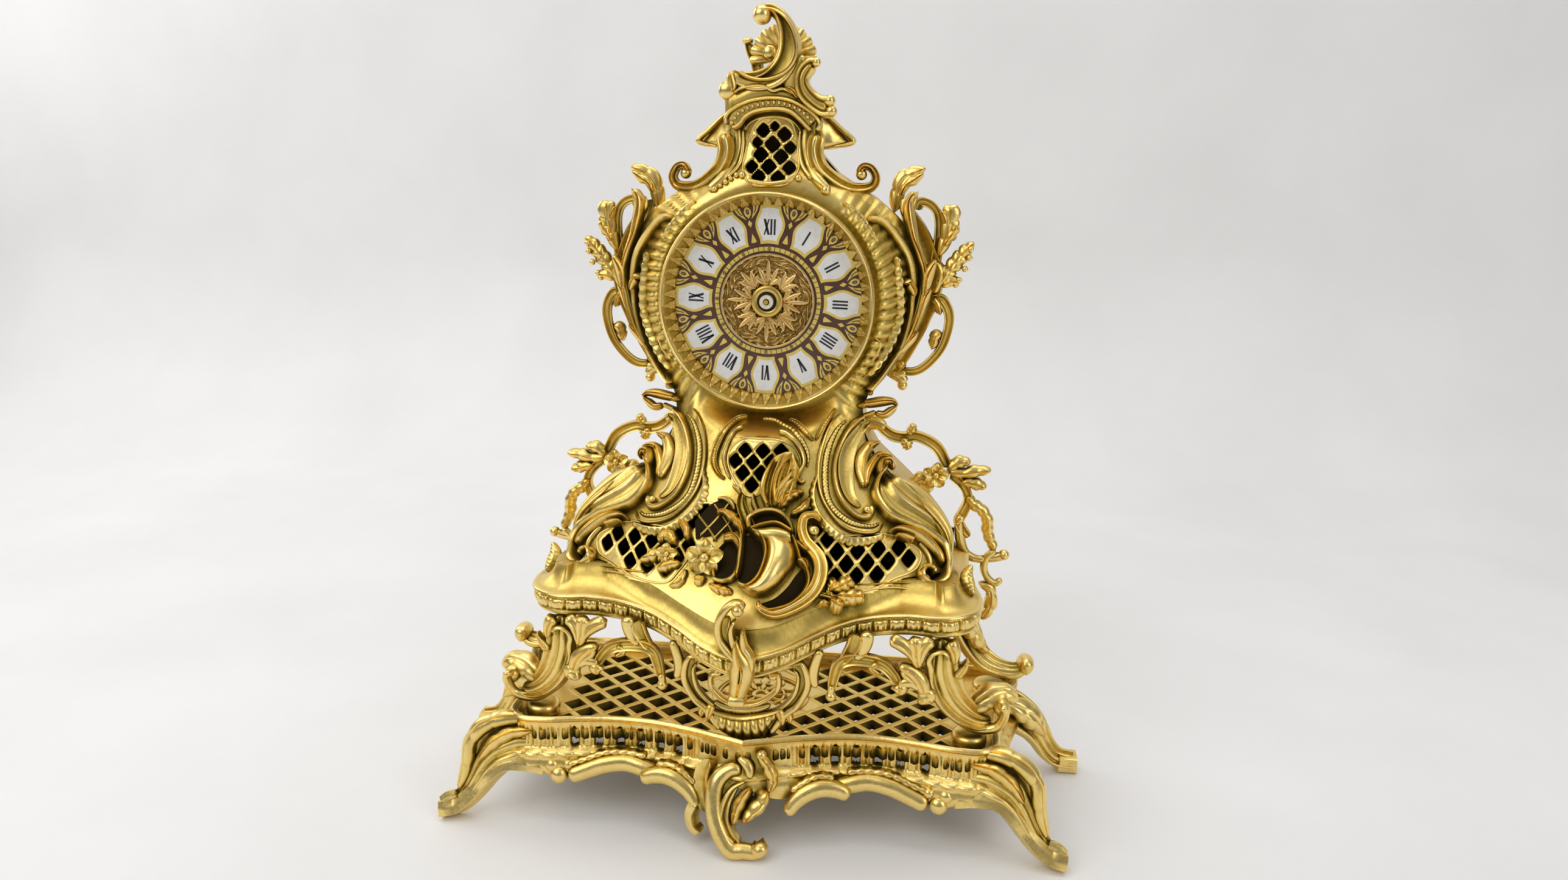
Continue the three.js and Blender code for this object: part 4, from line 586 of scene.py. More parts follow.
def shadeAndUnpolishInside(material):
    # faces that look forward, or towards the middle of the case, are its inside: painted near black, as unpolished
    # metal and as the shade inside the case
    tree = material.node_tree
    place = addNode(tree, "ShaderNodeTexCoord")
    where = addNode(tree, "ShaderNodeSeparateXYZ", {0: place.outputs["Object"]}).outputs["X"]
    facing = addNode(tree, "ShaderNodeSeparateXYZ", {0: place.outputs["Normal"]})
    inward = maths(tree, "MULTIPLY", maths(tree, "MULTIPLY", maths(tree, "SIGN", where), facing.outputs["X"]), -1.0)
    forward = maths(tree, "MULTIPLY", facing.outputs["Y"], -1.0)
    inside = maths(tree, "GREATER_THAN", maths(tree, "MAXIMUM", inward, forward), 0.45)
    shader = tree.nodes["Principled BSDF"]
    colour = shader.inputs["Base Color"].links[0].from_socket
    tree.links.new(mixColour(tree, inside, colour, unpolishedShadeColour), shader.inputs["Base Color"])


# painted shade on the inner faces of the sheet brass parts, with their unpolished tone
shadeAndUnpolishInside(sheetBrass)


def paintMaterial(name, color, rough, spot, scale=260, coat=0.0, metal=0.0, bump=0.05):
    material, tree, shader = newMaterial(name)
    fine = noise(tree, scale, 4)
    dark = tuple(c * (1 - 2 * spot) for c in color)
    light = tuple(min(1, c * (1 + spot)) for c in color)
    tree.links.new(ramp(tree, fine, [(0.3, dark), (0.7, light)]), shader.inputs["Base Color"])
    vary = addNode(tree, "ShaderNodeMapRange", {"Value": fine, "To Min": rough * 0.8, "To Max": rough * 1.25})
    tree.links.new(vary.outputs[0], shader.inputs["Roughness"])
    shader.inputs["Metallic"].default_value = metal
    shader.inputs["Coat Weight"].default_value = coat
    addBump(tree, shader, fine, bump, 0.0003)
    return material


dialWhite = paintMaterial("dialWhite", (0.82, 0.82, 0.80), 0.28, 0.03, coat=0.3)
dialYellow = paintMaterial("dialYellow", (0.78, 0.58, 0.12), 0.3, 0.06, coat=0.3)
dialBrown = paintMaterial("dialBrown", (0.09, 0.035, 0.02), 0.32, 0.12, coat=0.3)
dialBlack = paintMaterial("dialBlack", (0.012, 0.01, 0.02), 0.35, 0.2, coat=0.2)
blackPlastic = paintMaterial("blackPlastic", (0.02, 0.02, 0.022), 0.5, 0.2, 900, bump=0.2)
creamPlastic = paintMaterial("creamPlastic", (0.80, 0.73, 0.55), 0.4, 0.05, 500)
plainSteel = paintMaterial("plainSteel", (0.62, 0.63, 0.65), 0.3, 0.08, 700, metal=1.0)
copperWire = paintMaterial("copperWire", (0.72, 0.34, 0.18), 0.35, 0.15, 900, metal=1.0)
boardGreen = paintMaterial("boardGreen", (0.04, 0.2, 0.09), 0.4, 0.15, 700)
cellJacket = paintMaterial("cellJacket", (0.05, 0.07, 0.12), 0.3, 0.1, 300, coat=0.3)

keptNodes = {
    "case_side_right": sheetBrass, "case_side_left": sheetBrass, "back_plate": sheetBrass, "back_door": sheetBrass,
    "door_hinge_pin": plainSteel, "door_latch": sheetBrass, "movement_case": blackPlastic,
        "movement_cover": blackPlastic,
    "setting_knob": blackPlastic, "motion_wheel": creamPlastic, "hour_wheel": creamPlastic, "minute_shaft": plainBrass,
    "battery_cell": cellJacket, "contact_plus": plainSteel, "contact_minus": plainSteel, "circuit_board": boardGreen,
    "motor_coil": copperWire, "motor_stator": plainSteel}


# Camera, floor and lights


def cameraAtPhoto():
    # turn to the right, rise and roll in degrees, and a 24 mm lens
    turn, rise, roll = (math.radians(a) for a in (7.34, 14.14, 0.49))
    distance = 0.58325
    back = Vector((math.sin(turn) * math.cos(rise), -math.cos(turn) * math.cos(rise), math.sin(rise)))
    target = Vector((7.18, originDepth, 188.51)) / 1000
    ahead = -back
    right = ahead.cross(Vector((0, 0, 1))).normalized()
    up = right.cross(ahead)
    c, s = math.cos(roll), math.sin(roll)
    right, up = c * right + s * up, c * up - s * right
    data = bpy.data.cameras.new("camera")
    data.sensor_width = 36
    data.lens = 24.0
    data.clip_start = 0.02
    camera = bpy.data.objects.new("camera", data)
    camera.matrix_world = Matrix((right, up, back)).transposed().to_4x4()
    camera.location = target + back * distance
    bpy.context.scene.collection.objects.link(camera)
    bpy.context.scene.camera = camera


def addArea(name, place, aim, size, power):
    data = bpy.data.lights.new(name, "AREA")
    data.shape = "RECTANGLE"
    data.size, data.size_y = size
    data.energy = power
    light = bpy.data.objects.new(name, data)
    light.location = place
    light.rotation_mode = "QUATERNION"
    light.rotation_quaternion = (Vector(aim) - Vector(place)).to_track_quat("-Z", "Y")
    bpy.context.scene.collection.objects.link(light)


def buildStage():
    # floor that turns up into a wall behind, as one sheet
    across, bendStart, radius, wall = 30, 0.55, 0.25, 0.8
    bend = np.linspace(0.05, np.pi / 2, 16)
    depth = np.concatenate([np.linspace(-3.0, bendStart, 30), bendStart + radius * np.sin(bend), np.full(12, wall)])
    rise = np.concatenate([np.zeros(30), radius * (1 - np.cos(bend)), np.linspace(0.4, 3.2, 12)])
    x = np.linspace(-3.5, 3.5, across)
    v = np.stack([np.tile(x, len(depth)), np.repeat(depth, across), np.repeat(rise, across)], 1)
    i, j = np.meshgrid(np.arange(len(depth) - 1), np.arange(across - 1), indexing="ij")
    a = (i * across + j).reshape(-1)
    mesh = bpy.data.meshes.new("floor")
    mesh.from_pydata(v.tolist(), [], np.stack([a, a + 1, a + across + 1, a + across], 1).tolist())
    mesh.polygons.foreach_set("use_smooth", np.ones(len(mesh.polygons), bool))
    floor = bpy.data.objects.new("floor", mesh)
    bpy.context.scene.collection.objects.link(floor)
    floorPaint, tree, shader = newMaterial("floorPaint")
    paint = ramp(tree, noise(tree, 6, 5), [(0.3, (0.86, 0.855, 0.85)), (0.7, (0.92, 0.915, 0.91))])
    tree.links.new(paint, shader.inputs["Base Color"])
    shader.inputs["Roughness"].default_value = 0.6
    mesh.materials.append(floorPaint)
    world = bpy.data.worlds.new("room")
    bpy.context.scene.world = world
    world.use_nodes = True
    tree = world.node_tree
    place = addNode(tree, "ShaderNodeTexCoord").outputs["Generated"]
    split = addNode(tree, "ShaderNodeSeparateXYZ", {0: place})
    sky = ramp(tree, maths(tree, "MULTIPLY_ADD", split.outputs["Z"], 0.5), [
        (0.0, (0.30, 0.28, 0.25)), (0.48, (0.20, 0.19, 0.17)), (0.62, (0.42, 0.41, 0.39)), (1.0, (0.95, 0.95, 0.95))])
    tree.links.new(sky, tree.nodes["Background"].inputs["Color"])
    tree.nodes["Background"].inputs["Strength"].default_value = 0.55
    addArea("keyLight", (-0.9, -1.1, 1.25), (0, 0, 0.22), (1.5, 1.3), 10)
    addArea("fillLight", (1.3, -0.9, 0.8), (0, 0, 0.2), (0.7, 1.2), 4.5)
    addArea("topLight", (0.0, 0.15, 1.7), (0, 0.05, 0.2), (1.6, 1.0), 7)
    addArea("backLight", (-1.2, 0.45, 0.9), (0, 0.1, 0.3), (0.5, 0.9), 3)
    scene = bpy.context.scene
    scene.view_settings.view_transform = "Standard"
    scene.view_settings.look = "None"
    print("stage made")


cameraAtPhoto()
buildStage()


# Case front: a bowed shell with lattice windows, and the scrolls cast on it


def insideOutline(outline, x, z):
    # a point is inside when a ray towards +x crosses the outline an odd number of times
    a = np.asarray(outline, float)
    b = np.roll(a, -1, axis=0)
    x, z = np.asarray(x, float)[..., None], np.asarray(z, float)[..., None]
    crosses = (a[:, 1] > z) != (b[:, 1] > z)
    rise = np.where(b[:, 1] == a[:, 1], 1e-9, b[:, 1] - a[:, 1])
    at = a[:, 0] + (b[:, 0] - a[:, 0]) * (z - a[:, 1]) / rise
    return (crosses & (x < at)).sum(-1) % 2 == 1


def middleOf(grid):
    return (grid[:-1, :-1] + grid[1:, 1:]) / 2


def sheetPart(outer, inner, keep, height, inside=0.5):
    # two grids of points joined into a closed plate wherever keep is true
    n, m = outer.shape[:2]
    index = np.arange(n * m).reshape(n, m)
    quads = np.stack([index[:-1, :-1][keep], index[:-1, 1:][keep], index[1:, 1:][keep], index[1:, :-1][keep]], 1)
    edges = np.concatenate([quads[:, [k, (k + 1) % 4]] for k in range(4)])
    code = edges.min(1) * n * m + edges.max(1)
    _, first, count = np.unique(code, return_index=True, return_counts=True)
    rim = edges[first[count == 1]]
    back = n * m
    wall = np.stack([rim[:, 1], rim[:, 0], rim[:, 0] + back, rim[:, 1] + back], 1)
    quads = np.concatenate([quads, quads[:, ::-1] + back, wall])
    used, fresh = np.unique(quads, return_inverse=True)
    v = np.concatenate([outer.reshape(-1, 3), inner.reshape(-1, 3)])[used]
    h = np.concatenate([np.broadcast_to(height, (n, m)).reshape(-1), np.full(n * m, inside)])[used]
    return makePart(v, fresh.reshape(-1, 4), [], h)


mouldingPlan = [(0, -98, -20), (15, -94, -17.5), (32, -85, -11.5), (47, -80, -6), (62, -78, -2.5), (80, -79, 0),
    (97, -80, 0), (108, -73, 0), (111, -60, 0), (108, -38, 0), (106, -15, 0), (107, 16, 0)]
mouldingCorner = 97


def mouldingDip(x):
    # how far the moulding hangs in front; beside the case it is level
    rows = [(px, dip) for px, _, dip in mouldingPlan if px <= mouldingCorner]
    return np.where(np.abs(x) > mouldingCorner, 0, tableValue(rows, 1, np.minimum(np.abs(x), mouldingCorner)))


frontNumbers = {
    "columns": 150, "rows": 220, "latticeStep": 0.7, "wall": 3.0, "dialHole": 45.5, "shellFoot": 9.3,
    "channelInner": (57, 60), "channelOuter": (68, 84), "channelSide": (30, 52), "folds": 36, "foldHeight": 2.0,
    "neckWindow": [(-9, 59.5), (9, 59.5), (14.5, 66), (14, 76), (12.5, 86), (10, 91), (3, 93), (-5, 92), (-9, 88),
                   (-12.5, 78), (-14, 67)],
    "waistWindow": [(-5, -97), (2, -96), (9, -92), (16, -87), (21, -82), (18, -75), (11, -71), (0, -70.5), (-11, -71),
                    (-17, -77), (-17, -83), (-12, -91)],
    "lowerWindow": [(22, 39), (29, 39), (35, 31), (43, 28), (56, 27.5), (68, 27), (78, 23), (85, 18), (83, 12.5),
                    (72, 9.5), (61, 6), (41, 6), (35, 12), (29, 20), (24, 29)]}
# centre and half diagonals of each diamond hole
neckHoles = [(-4, 354, 3.6), (2, 356, 2.4), (7, 352, 3.7), (-7, 348, 2.8), (1, 347, 4.2), (10, 345.5, 3.2),
    (-5, 342, 4.1), (5.5, 341, 3.9), (-9.5, 336, 3.4), (-0.5, 336, 4.1), (10, 335.5, 3.6), (-5.5, 331, 3.6),
    (4.5, 330.5, 3.7)]
waistHoles = [(x, z, 3.9) for x, z in [(-13.4, 186.2), (-3.9, 186.2), (5.6, 186.4), (15.1, 186.2), (-8.9, 180.8),
    (0.7, 181), (10.2, 181.2), (-3.6, 175.6), (-8.6, 191.4), (0.9, 191.4), (10.4, 191.6)]]
lowerSteps = [(-2, 0), (0, 0), (2, 0), (4, 0), (6, 0), (-1, -1), (1, -1), (3, -1), (5, -1), (7, -1), (0, -2), (2, -2),
    (4, -2), (-1, 1), (-2, 2), (-3, 3), (1, 1), (3, 1)]
lowerHoles = [(42.9 + 5.12 * i, 148.3 + 4.95 * j, 3.85) for i, j in lowerSteps]
holes = {"neckWindow": neckHoles, "waistWindow": waistHoles, "lowerWindow": lowerHoles}


latticeWindows = [("neckWindow", 1), ("waistWindow", 1), ("lowerWindow", 1), ("lowerWindow", -1)]


def windowOutline(name):
    level = mouldingZ if name == "lowerWindow" else dialZ
    return np.array(frontNumbers[name], float) + [0, level]


def frontShell():
    # the bowed sheet, open where the lattice plates stand behind it
    f = frontNumbers
    u = np.linspace(-1, 1, f["columns"])[None, :]
    t = np.linspace(0, 1, f["rows"])[:, None]
    foot, top = mouldingZ + f["shellFoot"], neckZ + 34
    row = foot + (top - foot) * t
    x = halfWidth(row) * u
    z = row + mouldingDip(x) * (1 - t) ** 7
    outer = np.stack([x, frontDepth(x, z), z], -1)
    cx, cz = middleOf(x), middleOf(z)
    keep = np.hypot(cx, cz - dialZ) > f["dialHole"]
    for name, flip in latticeWindows:
        keep &= ~insideOutline(windowOutline(name) * [flip, 1], cx, cz)
    # the channel between the bezel and the side scrolls keeps its patina
    away = np.hypot(x, z - dialZ)
    channel = smoothStep(away, *f["channelInner"]) * (1 - smoothStep(away, *f["channelOuter"]))
    channel = channel * smoothStep(np.abs(x), *f["channelSide"])
    # a crumpled ribbon fills the channel: folds run outwards from the dial and wander a little
    crumple = np.abs(np.sin(f["folds"] * np.arctan2(x, z - dialZ) + 0.12 * away)) ** 0.8
    outer[..., 1] -= f["foldHeight"] * channel * crumple
    # the waist under the dial is darker too
    waist = np.exp(-((z - dialZ + 66) / 13) ** 2) * (1 - smoothStep(np.abs(x), 30, 46))
    # the inner face and the walls of the window cuts are painted near black as the shade inside the case
    return sheetPart(outer, outer + [0, f["wall"], 0], keep, 0.7 - channel * (1.8 - 1.2 * crumple) - 0.6 * waist,
        inside=innerShadowRelief)


def holeField(name, flip, x, z):
    # over all holes the least of (|dx|^p + |dz|^p) / r^p, and the centre it belongs to
    p = 1.3 if name == "neckWindow" else 1.15
    best = np.full(np.shape(x), 9.0)
    centre = np.zeros(np.shape(x) + (2,))
    for cx, cz, r in holes[name]:
        f = ((np.abs(x - flip * cx) ** p + np.abs(z - cz) ** p) / r**p) ** (1.3 / p)
        near = f < best
        best = np.where(near, f, best)
        centre[near] = (flip * cx, cz)
    return best, centre


def latticePlate(name, flip):
    # a finer sheet just behind the window's edge; the corners of the cells round a hole move onto its outline
    outline = windowOutline(name) * [flip, 1]
    low, high = outline.min(0) - 3, outline.max(0) + 3
    step = frontNumbers["latticeStep"]
    x, z = np.meshgrid(np.arange(low[0], high[0], step), np.arange(low[1], high[1], step), indexing="xy")
    cx, cz = x[:-1, :-1] + step / 2, z[:-1, :-1] + step / 2
    wide = outline.mean(0) + (outline - outline.mean(0)) * 1.09
    cut = holeField(name, flip, cx, cz)[0] < 1
    keep = insideOutline(wide, cx, cz) & ~cut
    rows, columns = x.shape
    ways = (1, 1), (0, 1)
    beside = [np.pad(cut, (down, across))[:rows, :columns] for down in ways for across in ways]
    field, centre = holeField(name, flip, x, z)
    rim = np.any(beside, 0) & ~np.all(beside, 0)
    pull = np.where(rim, np.maximum(field, 0.05) ** (-1 / 1.3), 1.0)
    x = centre[..., 0] + (x - centre[..., 0]) * pull
    z = centre[..., 1] + (z - centre[..., 1]) * pull
    # bars are raised towards their middle
    field = holeField(name, flip, x, z)[0]
    raised = 0.9 * smoothStep(field, 1.0, 1.35)
    y = frontDepth(x, z) + 0.7 - raised
    outer = np.stack([x, y, z], -1)
    back = np.stack([x, frontDepth(x, z) + 2.4, z], -1)
    # the back face and hole walls are painted near black as the shade behind the lattice
    return sheetPart(outer, back, keep, 0.25 + 0.6 * smoothStep(field, 1.0, 1.3), inside=innerShadowRelief)


def on(points, widths, height, profile="round", lift=0.0, step=pathStep, **more):
    return scroll(onFront(points, lift, step), widths, height, profile, **more)


def upright(y, broad=1.0, **usual):
    # strips on an upright plane, all of them broader by one factor
    def at(points, widths, height, profile="round", lift=0.0, **more):
        widths = tuple(broad * np.array(w) for w in widths) if isinstance(widths, tuple) else broad * np.array(widths)
        return scroll(inPlane(points, y - lift), widths, height, profile, **{**usual, **more})

    return at


def leafOf(at, **usual):
    def leaf(points, widths, height, **more):
        return at(points, widths, height, "leaf", **{**usual, **more})

    return leaf


def strip(points, facing, widths, height, profile="round", **more):
    return scroll(inSpace(points, facing), widths, height, profile, **more)


def waistScrolls():
    return [
        on([(39.5, 209), (35, 204.5), (32, 197.5), (30, 184), (33, 170.5), (44, 158.5), (58, 154.5), (63, 155.5),
            (65, 158.5)], [0.6, 1.2, 1.2, 1.2, 0.6], 2.8, across=9),
        on([(43, 205.5), (39, 202), (34, 189), (36.5, 169.5), (47, 160.5), (60, 157.5), (63, 158.5)],
            [0.8, 1.8, 1.9, 1.9, 1.8, 0.9], 1.5, ribs=(44, 0.6), across=11, step=0.35),
        on([(58.5, 209), (46, 203.5), (39.5, 192.5), (38, 181), (42.5, 169), (52, 161.5), (57, 161), (58.5, 163),
            (57, 165)], [1.5, 1.3, 1.9], 4.6),
        on([(55.5, 204), (49.5, 199.5), (44, 187.5), (45.5, 174.5), (48.5, 169), (53, 165.5)], [1.5, 4.2, 4.2, 1.6],
            1.7, "hollow"),
        on([(30, 181), (28.5, 174), (29.5, 167.5), (33.5, 161.5), (46, 153.5), (60, 152.5), (65.5, 153.5)],
            ([0.8, 1.4, 0.8], [1, 2.8, 3.1, 3.2, 3.1, 1.6]), 2.4, "roll", lobes=(18, 0.4), veins=0.7, side=1, lift=0.3,
            step=0.5),
        on([(53.5, 173.5), (52, 180), (52, 186.5), (55, 191), (61.5, 194)], [1.5, 3.7, 3.3, 0.8], 3.2, "leaf",
            lift=0.8),
        on([(54.5, 173.5), (55, 179.5), (58, 184), (63, 187), (68.5, 186)], [1.5, 2.9, 2.6, 1.2], 3.6, "leaf",
            lift=1.2),
        on([(47.5, 212), (53.5, 213), (67, 214.5), (70, 212.5)], [1.4, 2.6, 2.6, 1], 4.6, "leaf", lift=1.5),
        on([(58, 208.5), (62.5, 207.5), (66.5, 210), (69.5, 212)], [1.6, 2.2, 2.2, 1], 4.2, "leaf", lift=1.5),
        ball(56.6, 165, 2.2, 2.6),
    ]


def shoulders():
    return [
        panel([(60.5, 178), (59, 174), (59.5, 169), (62.5, 164), (67.5, 160), (83.5, 153.5), (90, 150), (95.5, 145),
            (98, 138.5)], [(68.5, 178.5), (85, 172), (101, 153), (101, 140)], [5.5, 7, 7, 6.5, 6, 5.5, 5, 4], flutes=4,
            deep=0.3, across=41, lift=0.2),
        on([(63.5, 179.5), (60, 176), (59, 170.5), (66.5, 160.5), (78.5, 155), (85, 152.5), (96, 144.5), (98.5, 139),
            (96.5, 134), (91, 132), (86, 133.5), (84, 136.5), (86, 138.5), (89.5, 137), (89.5, 135)],
            [1.2, 2.1, 2.2, 2.5, 2, 1.5], 7, lift=1),
        on([(60.5, 176.5), (60.5, 180), (63.5, 182.5), (67.5, 183.5), (68.5, 180)], [1.4, 2.8, 2.8, 1.6], 7.6, "leaf",
            lift=1.4),
        on([(67, 154), (73, 154.5), (84.5, 150.5), (93, 142.5), (94.5, 138.5)], [0.6, 2.5, 3, 2.6, 1.4], 5.6, "leaf",
            lift=0.8),
        on([(70.5, 152.5), (75.5, 151.5), (80.5, 149.5)], [0.6, 1.6, 1.4], 5, "leaf", lift=0.8),
        on([(83, 149), (87, 145.5), (89.5, 141.5), (89.5, 137.5)], [0.8, 1.3, 1.4, 1], 2.6),
        on([(92, 129), (93, 125), (94, 119.5)], [2, 1.4, 0.3], 1.8, "leaf"),
        on([(94, 127), (97, 128), (99.5, 130.5), (100.5, 133)], [0.8, 1.8, 1.6, 0.8], 1.8, ribs=(6, 0.6), step=0.4,
            lift=0.2),
        on([(111, 139.5), (108.5, 135), (109.5, 130.5), (112, 126.5)], [1, 3.2, 3.6, 1.6], 2, "roll", ribs=(8, 0.6),
            step=0.5),
        on([(54, 135.5), (60.5, 135), (74.5, 134.5), (81, 133), (86, 130.5)], 0.6, 1.5, ribs=(34, 0.5), across=7,
            step=0.3),
        on([(57.5, 133), (73, 132.5), (81.5, 130.5), (90.5, 126.5)], 0.55, 0.9, across=7),
        ball(87.4, 136.2, 2.6, 5.5),
    ]


def dialSurround():
    return [
        panel([(67.5, 319.5), (67.5, 313.5), (72, 306.5), (76.5, 288.5), (77.5, 278.5), (72.5, 255), (68, 245.5),
            (55, 226.5), (52, 223)], [(76.5, 324.5), (75, 311), (76.5, 302.5), (81, 285.5), (80, 266.5), (73.5, 245.5),
            (59, 223), (54.5, 217.5)], [6, 5.3, 4.4, 4.5, 4.6, 4.4, 4.1, 3.5, 2.6, 1.4], flutes=2, deep=0.14, dome=0.5,
            across=25, lift=0.2),
        on([(49.5, 309.5), (55.5, 308.5), (62, 304.5), (71.5, 291), (74.5, 276), (74, 268.5), (73.5, 261.5),
            (69, 245.5), (59.5, 230), (52, 221.5)], [1.4, 2.6, 2.6, 2.3, 1.8, 1.6, 1.6, 1], 5.6),
        on([(74.5, 323.5), (71.5, 318), (78, 290), (80.5, 282), (75.5, 255), (70.5, 243.5), (57.5, 223.5), (52, 218)],
            [2.2, 3.2, 2.7, 2.4, 2.3, 2.2, 2, 1.9, 1.7, 1.2], 5.4, "leaf", lift=0.4, rounded=True, back=3),
        on([(68, 277), (70.5, 278), (74, 274.5), (74.5, 270)], [1.2, 3, 3.2, 1.2], 6, "leaf", lift=0.6),
        on([(79, 270), (81.5, 277), (83.5, 283.5), (86.5, 289.5)], [1.6, 3.2, 3.2, 1.4], 4.8, "leaf", lift=1.4),
        on([(77, 258.5), (79.5, 265), (82, 270), (84.5, 274.5)], [1.4, 2.8, 2.8, 1.2], 4.6, "leaf", lift=1.2),
        on([(70, 239.5), (73.5, 245), (76.5, 248.5), (79, 251.5)], [1, 2.2, 2.3, 1], 4, "leaf", lift=1),
        on([(64.5, 291), (66, 284), (67.5, 258.5), (56.5, 234.5), (51.5, 230)], ([1.4, 2.7, 2.8, 2.8, 2.5, 1.4],
            [1, 2.3, 2.4, 2.4, 2.1, 1]), 3.4, "roll", lobes=(13, 0.5), veins=0.6, lift=0.7, step=0.5),
        on([(56, 250), (59, 247), (57.5, 241.5), (54, 236.5), (51.5, 235)], [0.6, 1.1, 1.1, 0.6], 1.8, lobes=(6, 0.4)),
        on([(38, 318), (45, 313), (51, 306), (56, 298)], ([0.8, 1.8, 1.8, 1], [0.8, 2.4, 2.2, 1]), 2.2, "roll",
            lobes=(8, 0.4), veins=0.6, lift=0.2),
    ]


def neckScrolls():
    # the band runs from the arch's end outwards and closes in a volute that stands clear of the case
    band = np.array([(24.5, 352), (23, 345), (24.5, 338), (28, 333), (40.5, 325.5), (52, 326.5), (54, 330.5),
        (51.5, 335.5), (47.5, 336.5), (44.5, 333.5)])
    share = np.clip((band[:, 0] - 24) / 28, 0, 1)
    path = np.stack([band[:, 0], -9 + 12 * share, band[:, 1]], 1)
    return [
        strip(path, [(0, -1, 0)], [4.6, 4.3, 2.9, 1.7], 4.4, "double", back=3.4, rounded=True),
        on([(17.5, 356), (17.5, 347), (19.5, 339), (23.5, 331), (31, 323)], [2.4, 3.3, 3.5, 2.2], 3.6, rounded=True),
        ball(46.6, 332.4, 2.9, y=0.6),
        on([(14.5, 354.5), (14.5, 346.5), (16.5, 336.5), (21.5, 329.5)], [0.7, 1.2, 1.4, 1.2], 1.6, lift=0.2),
    ]


def buildCaseFront():
    plates = [latticePlate(name, flip) for name, flip in latticeWindows]
    rims = []
    for name, flip in latticeWindows:
        outline = windowOutline(name) * [flip, 1]
        rims.append(on(np.concatenate([outline, outline[:2]]), 0.7, 0.8, across=7, back=0.8))
    castPiece("caseFront", [frontShell()] + plates + rims, "case_front")
    parts = both(waistScrolls() + shoulders() + dialSurround() + neckScrolls())
    peas = [(15.3, 330.4, 1.9), (29.4, 324.5, 2.6), (-13.9, 331.7, 1.9), (-17, 331.6, 1.5), (-20, 329.8, 1.3),
        (-22.6, 328, 1.5), (-25.4, 326.2, 1.2), (-28.4, 324.5, 1.7)]
    parts += [ball(x, z, r, 1) for x, z, r in peas]
    parts.append(on([(-15.5, 354.5), (-12.5, 359), (-6, 362), (9, 362), (14, 358.5), (17, 354)], 2.6, 1, "hollow",
        lift=0.2))
    parts.append(on([(-11.5, 329), (0, 327.5), (11.5, 329)], 1.2, 1.4))
    parts.append(on([(8.5, 199.5), (13, 199), (18, 196), (22.5, 186), (20.5, 182), (19.5, 179), (22, 177), (24, 178.5)],
        [1.2, 1.6, 1.4, 1.1], 3))
    parts.append(on([(-2, 204.5), (5, 204.5), (10, 203), (16, 201), (21, 196.5), (24.5, 189.5), (24.5, 184)],
        [0.8, 1.6, 1.6, 1.4, 0.6], 1.3, ribs=(20, 0.5), across=9, step=0.4))
    hook = [(-10, 205), (-15, 204), (-19.5, 200.5), (-24.5, 189.5), (-24.5, 184), (-21.5, 179.5), (-18, 177.5)]
    parts.append(on(hook, [0.6, 1.7, 2.2, 2.2, 1], 2.4, "gutter", lift=0.2))
    parts.append(on(hook, [0.5, 1.3, 1.3, 0.5], 2, lift=0.3, ribs=(30, 0.55), across=9, step=0.4))
    parts.append(on([(-11, 201), (-15, 199.5), (-19.5, 188.5), (-18, 182.5), (-15, 177.5)], [0.7, 1.4, 0.8], 2.6))
    bars = [(12.5, 204.5), (17, 203.5), (22.5, 200.5), (27, 196.5)], [(37, 211.5), (34, 207), (30.5, 202), (28, 196.5)]
    for bar in bars:
        parts.append(on(bar, [0.9, 1.6, 1.6, 0.9], 1.8, "gutter", lift=0.2))
        parts.append(on(bar, [0.4, 0.9, 0.9, 0.4], 1.2, lift=0.2, ribs=(12, 0.5), across=7, step=0.3))
    castPiece("caseScrolls", parts)


buildCaseFront()


# Bezel, dial and the nut in its middle


bezelTongues = 54


def buildBezel():
    profile = [(51.3, -15.3), (51.3, -16.8), (49.5, -16.8), (49.6, -18), (50.1, -18.8), (50.7, -19.7), (51.3, -20.6),
        (51.9, -21.6), (52.5, -22.6), (53.1, -23.6), (53.7, -24.5), (54.2, -25.2), (54.6, -26.4), (55, -27.1),
        (55.5, -27.3), (56, -26.9), (56.4, -25.8), (56.5, -24), (56.5, -18.5), (56.5, -15.3)]

    def wave(r, y, a):
        # pointed tongues on the inner slope: a V in angle whose foot lies at the dial and whose tip meets the rim
        saw = np.abs(((bezelTongues * a / (2 * np.pi)) % 1) * 2 - 1)[:, 0]
        wobble = 0.5 + 0.5 * np.sin(5 * a[:, 0]) * np.cos(3 * a[:, 0])
        level = np.ones_like(r)
        for k in range(3, 11):
            share = (k - 3) / 7
            inside = 1 - smoothStep(saw, 0.86 - 0.8 * share, 1.0 - 0.75 * share)
            vein = 0.5 * np.exp(-(saw / 0.12) ** 2) * (share < 0.8)
            rise = (1.9 + 0.5 * wobble) * inside * (1 - 0.35 * share) - vein
            y[:, k] += 1.1 - rise
            level[:, k] = np.clip(1.4 * inside - 0.45 - 0.6 * vein, -0.45, 1)
        return r, y, level

    castPiece("bezelRing", [turned(profile, bezelTongues * 14, wave=wave)], "bezel")


def dialPolar(radius, angle):
    a = np.pi / 2 - np.asarray(angle) - dialTurn
    return radius * np.cos(a), dialZ + radius * np.sin(a)


def flatShape(outline, yFront, yBack, centre):
    # star-shaped plate: fans from its own centre on both faces
    outline = np.asarray(outline, float)
    m = len(outline)
    v = np.concatenate([np.stack([outline[:, 0], np.full(m, y), outline[:, 1]], 1) for y in (yFront, yBack)]
                       + [[[centre[0], yFront, centre[1]], [centre[0], yBack, centre[1]]]])
    j = np.arange(m)
    k = (j + 1) % m
    quads = np.stack([j, k, k + m, j + m], 1)
    tris = np.concatenate([np.stack([np.full(m, 2 * m), k, j], 1), np.stack([np.full(m, 2 * m + 1), j + m, k + m], 1)])
    return makePart(v, quads, tris, 1)


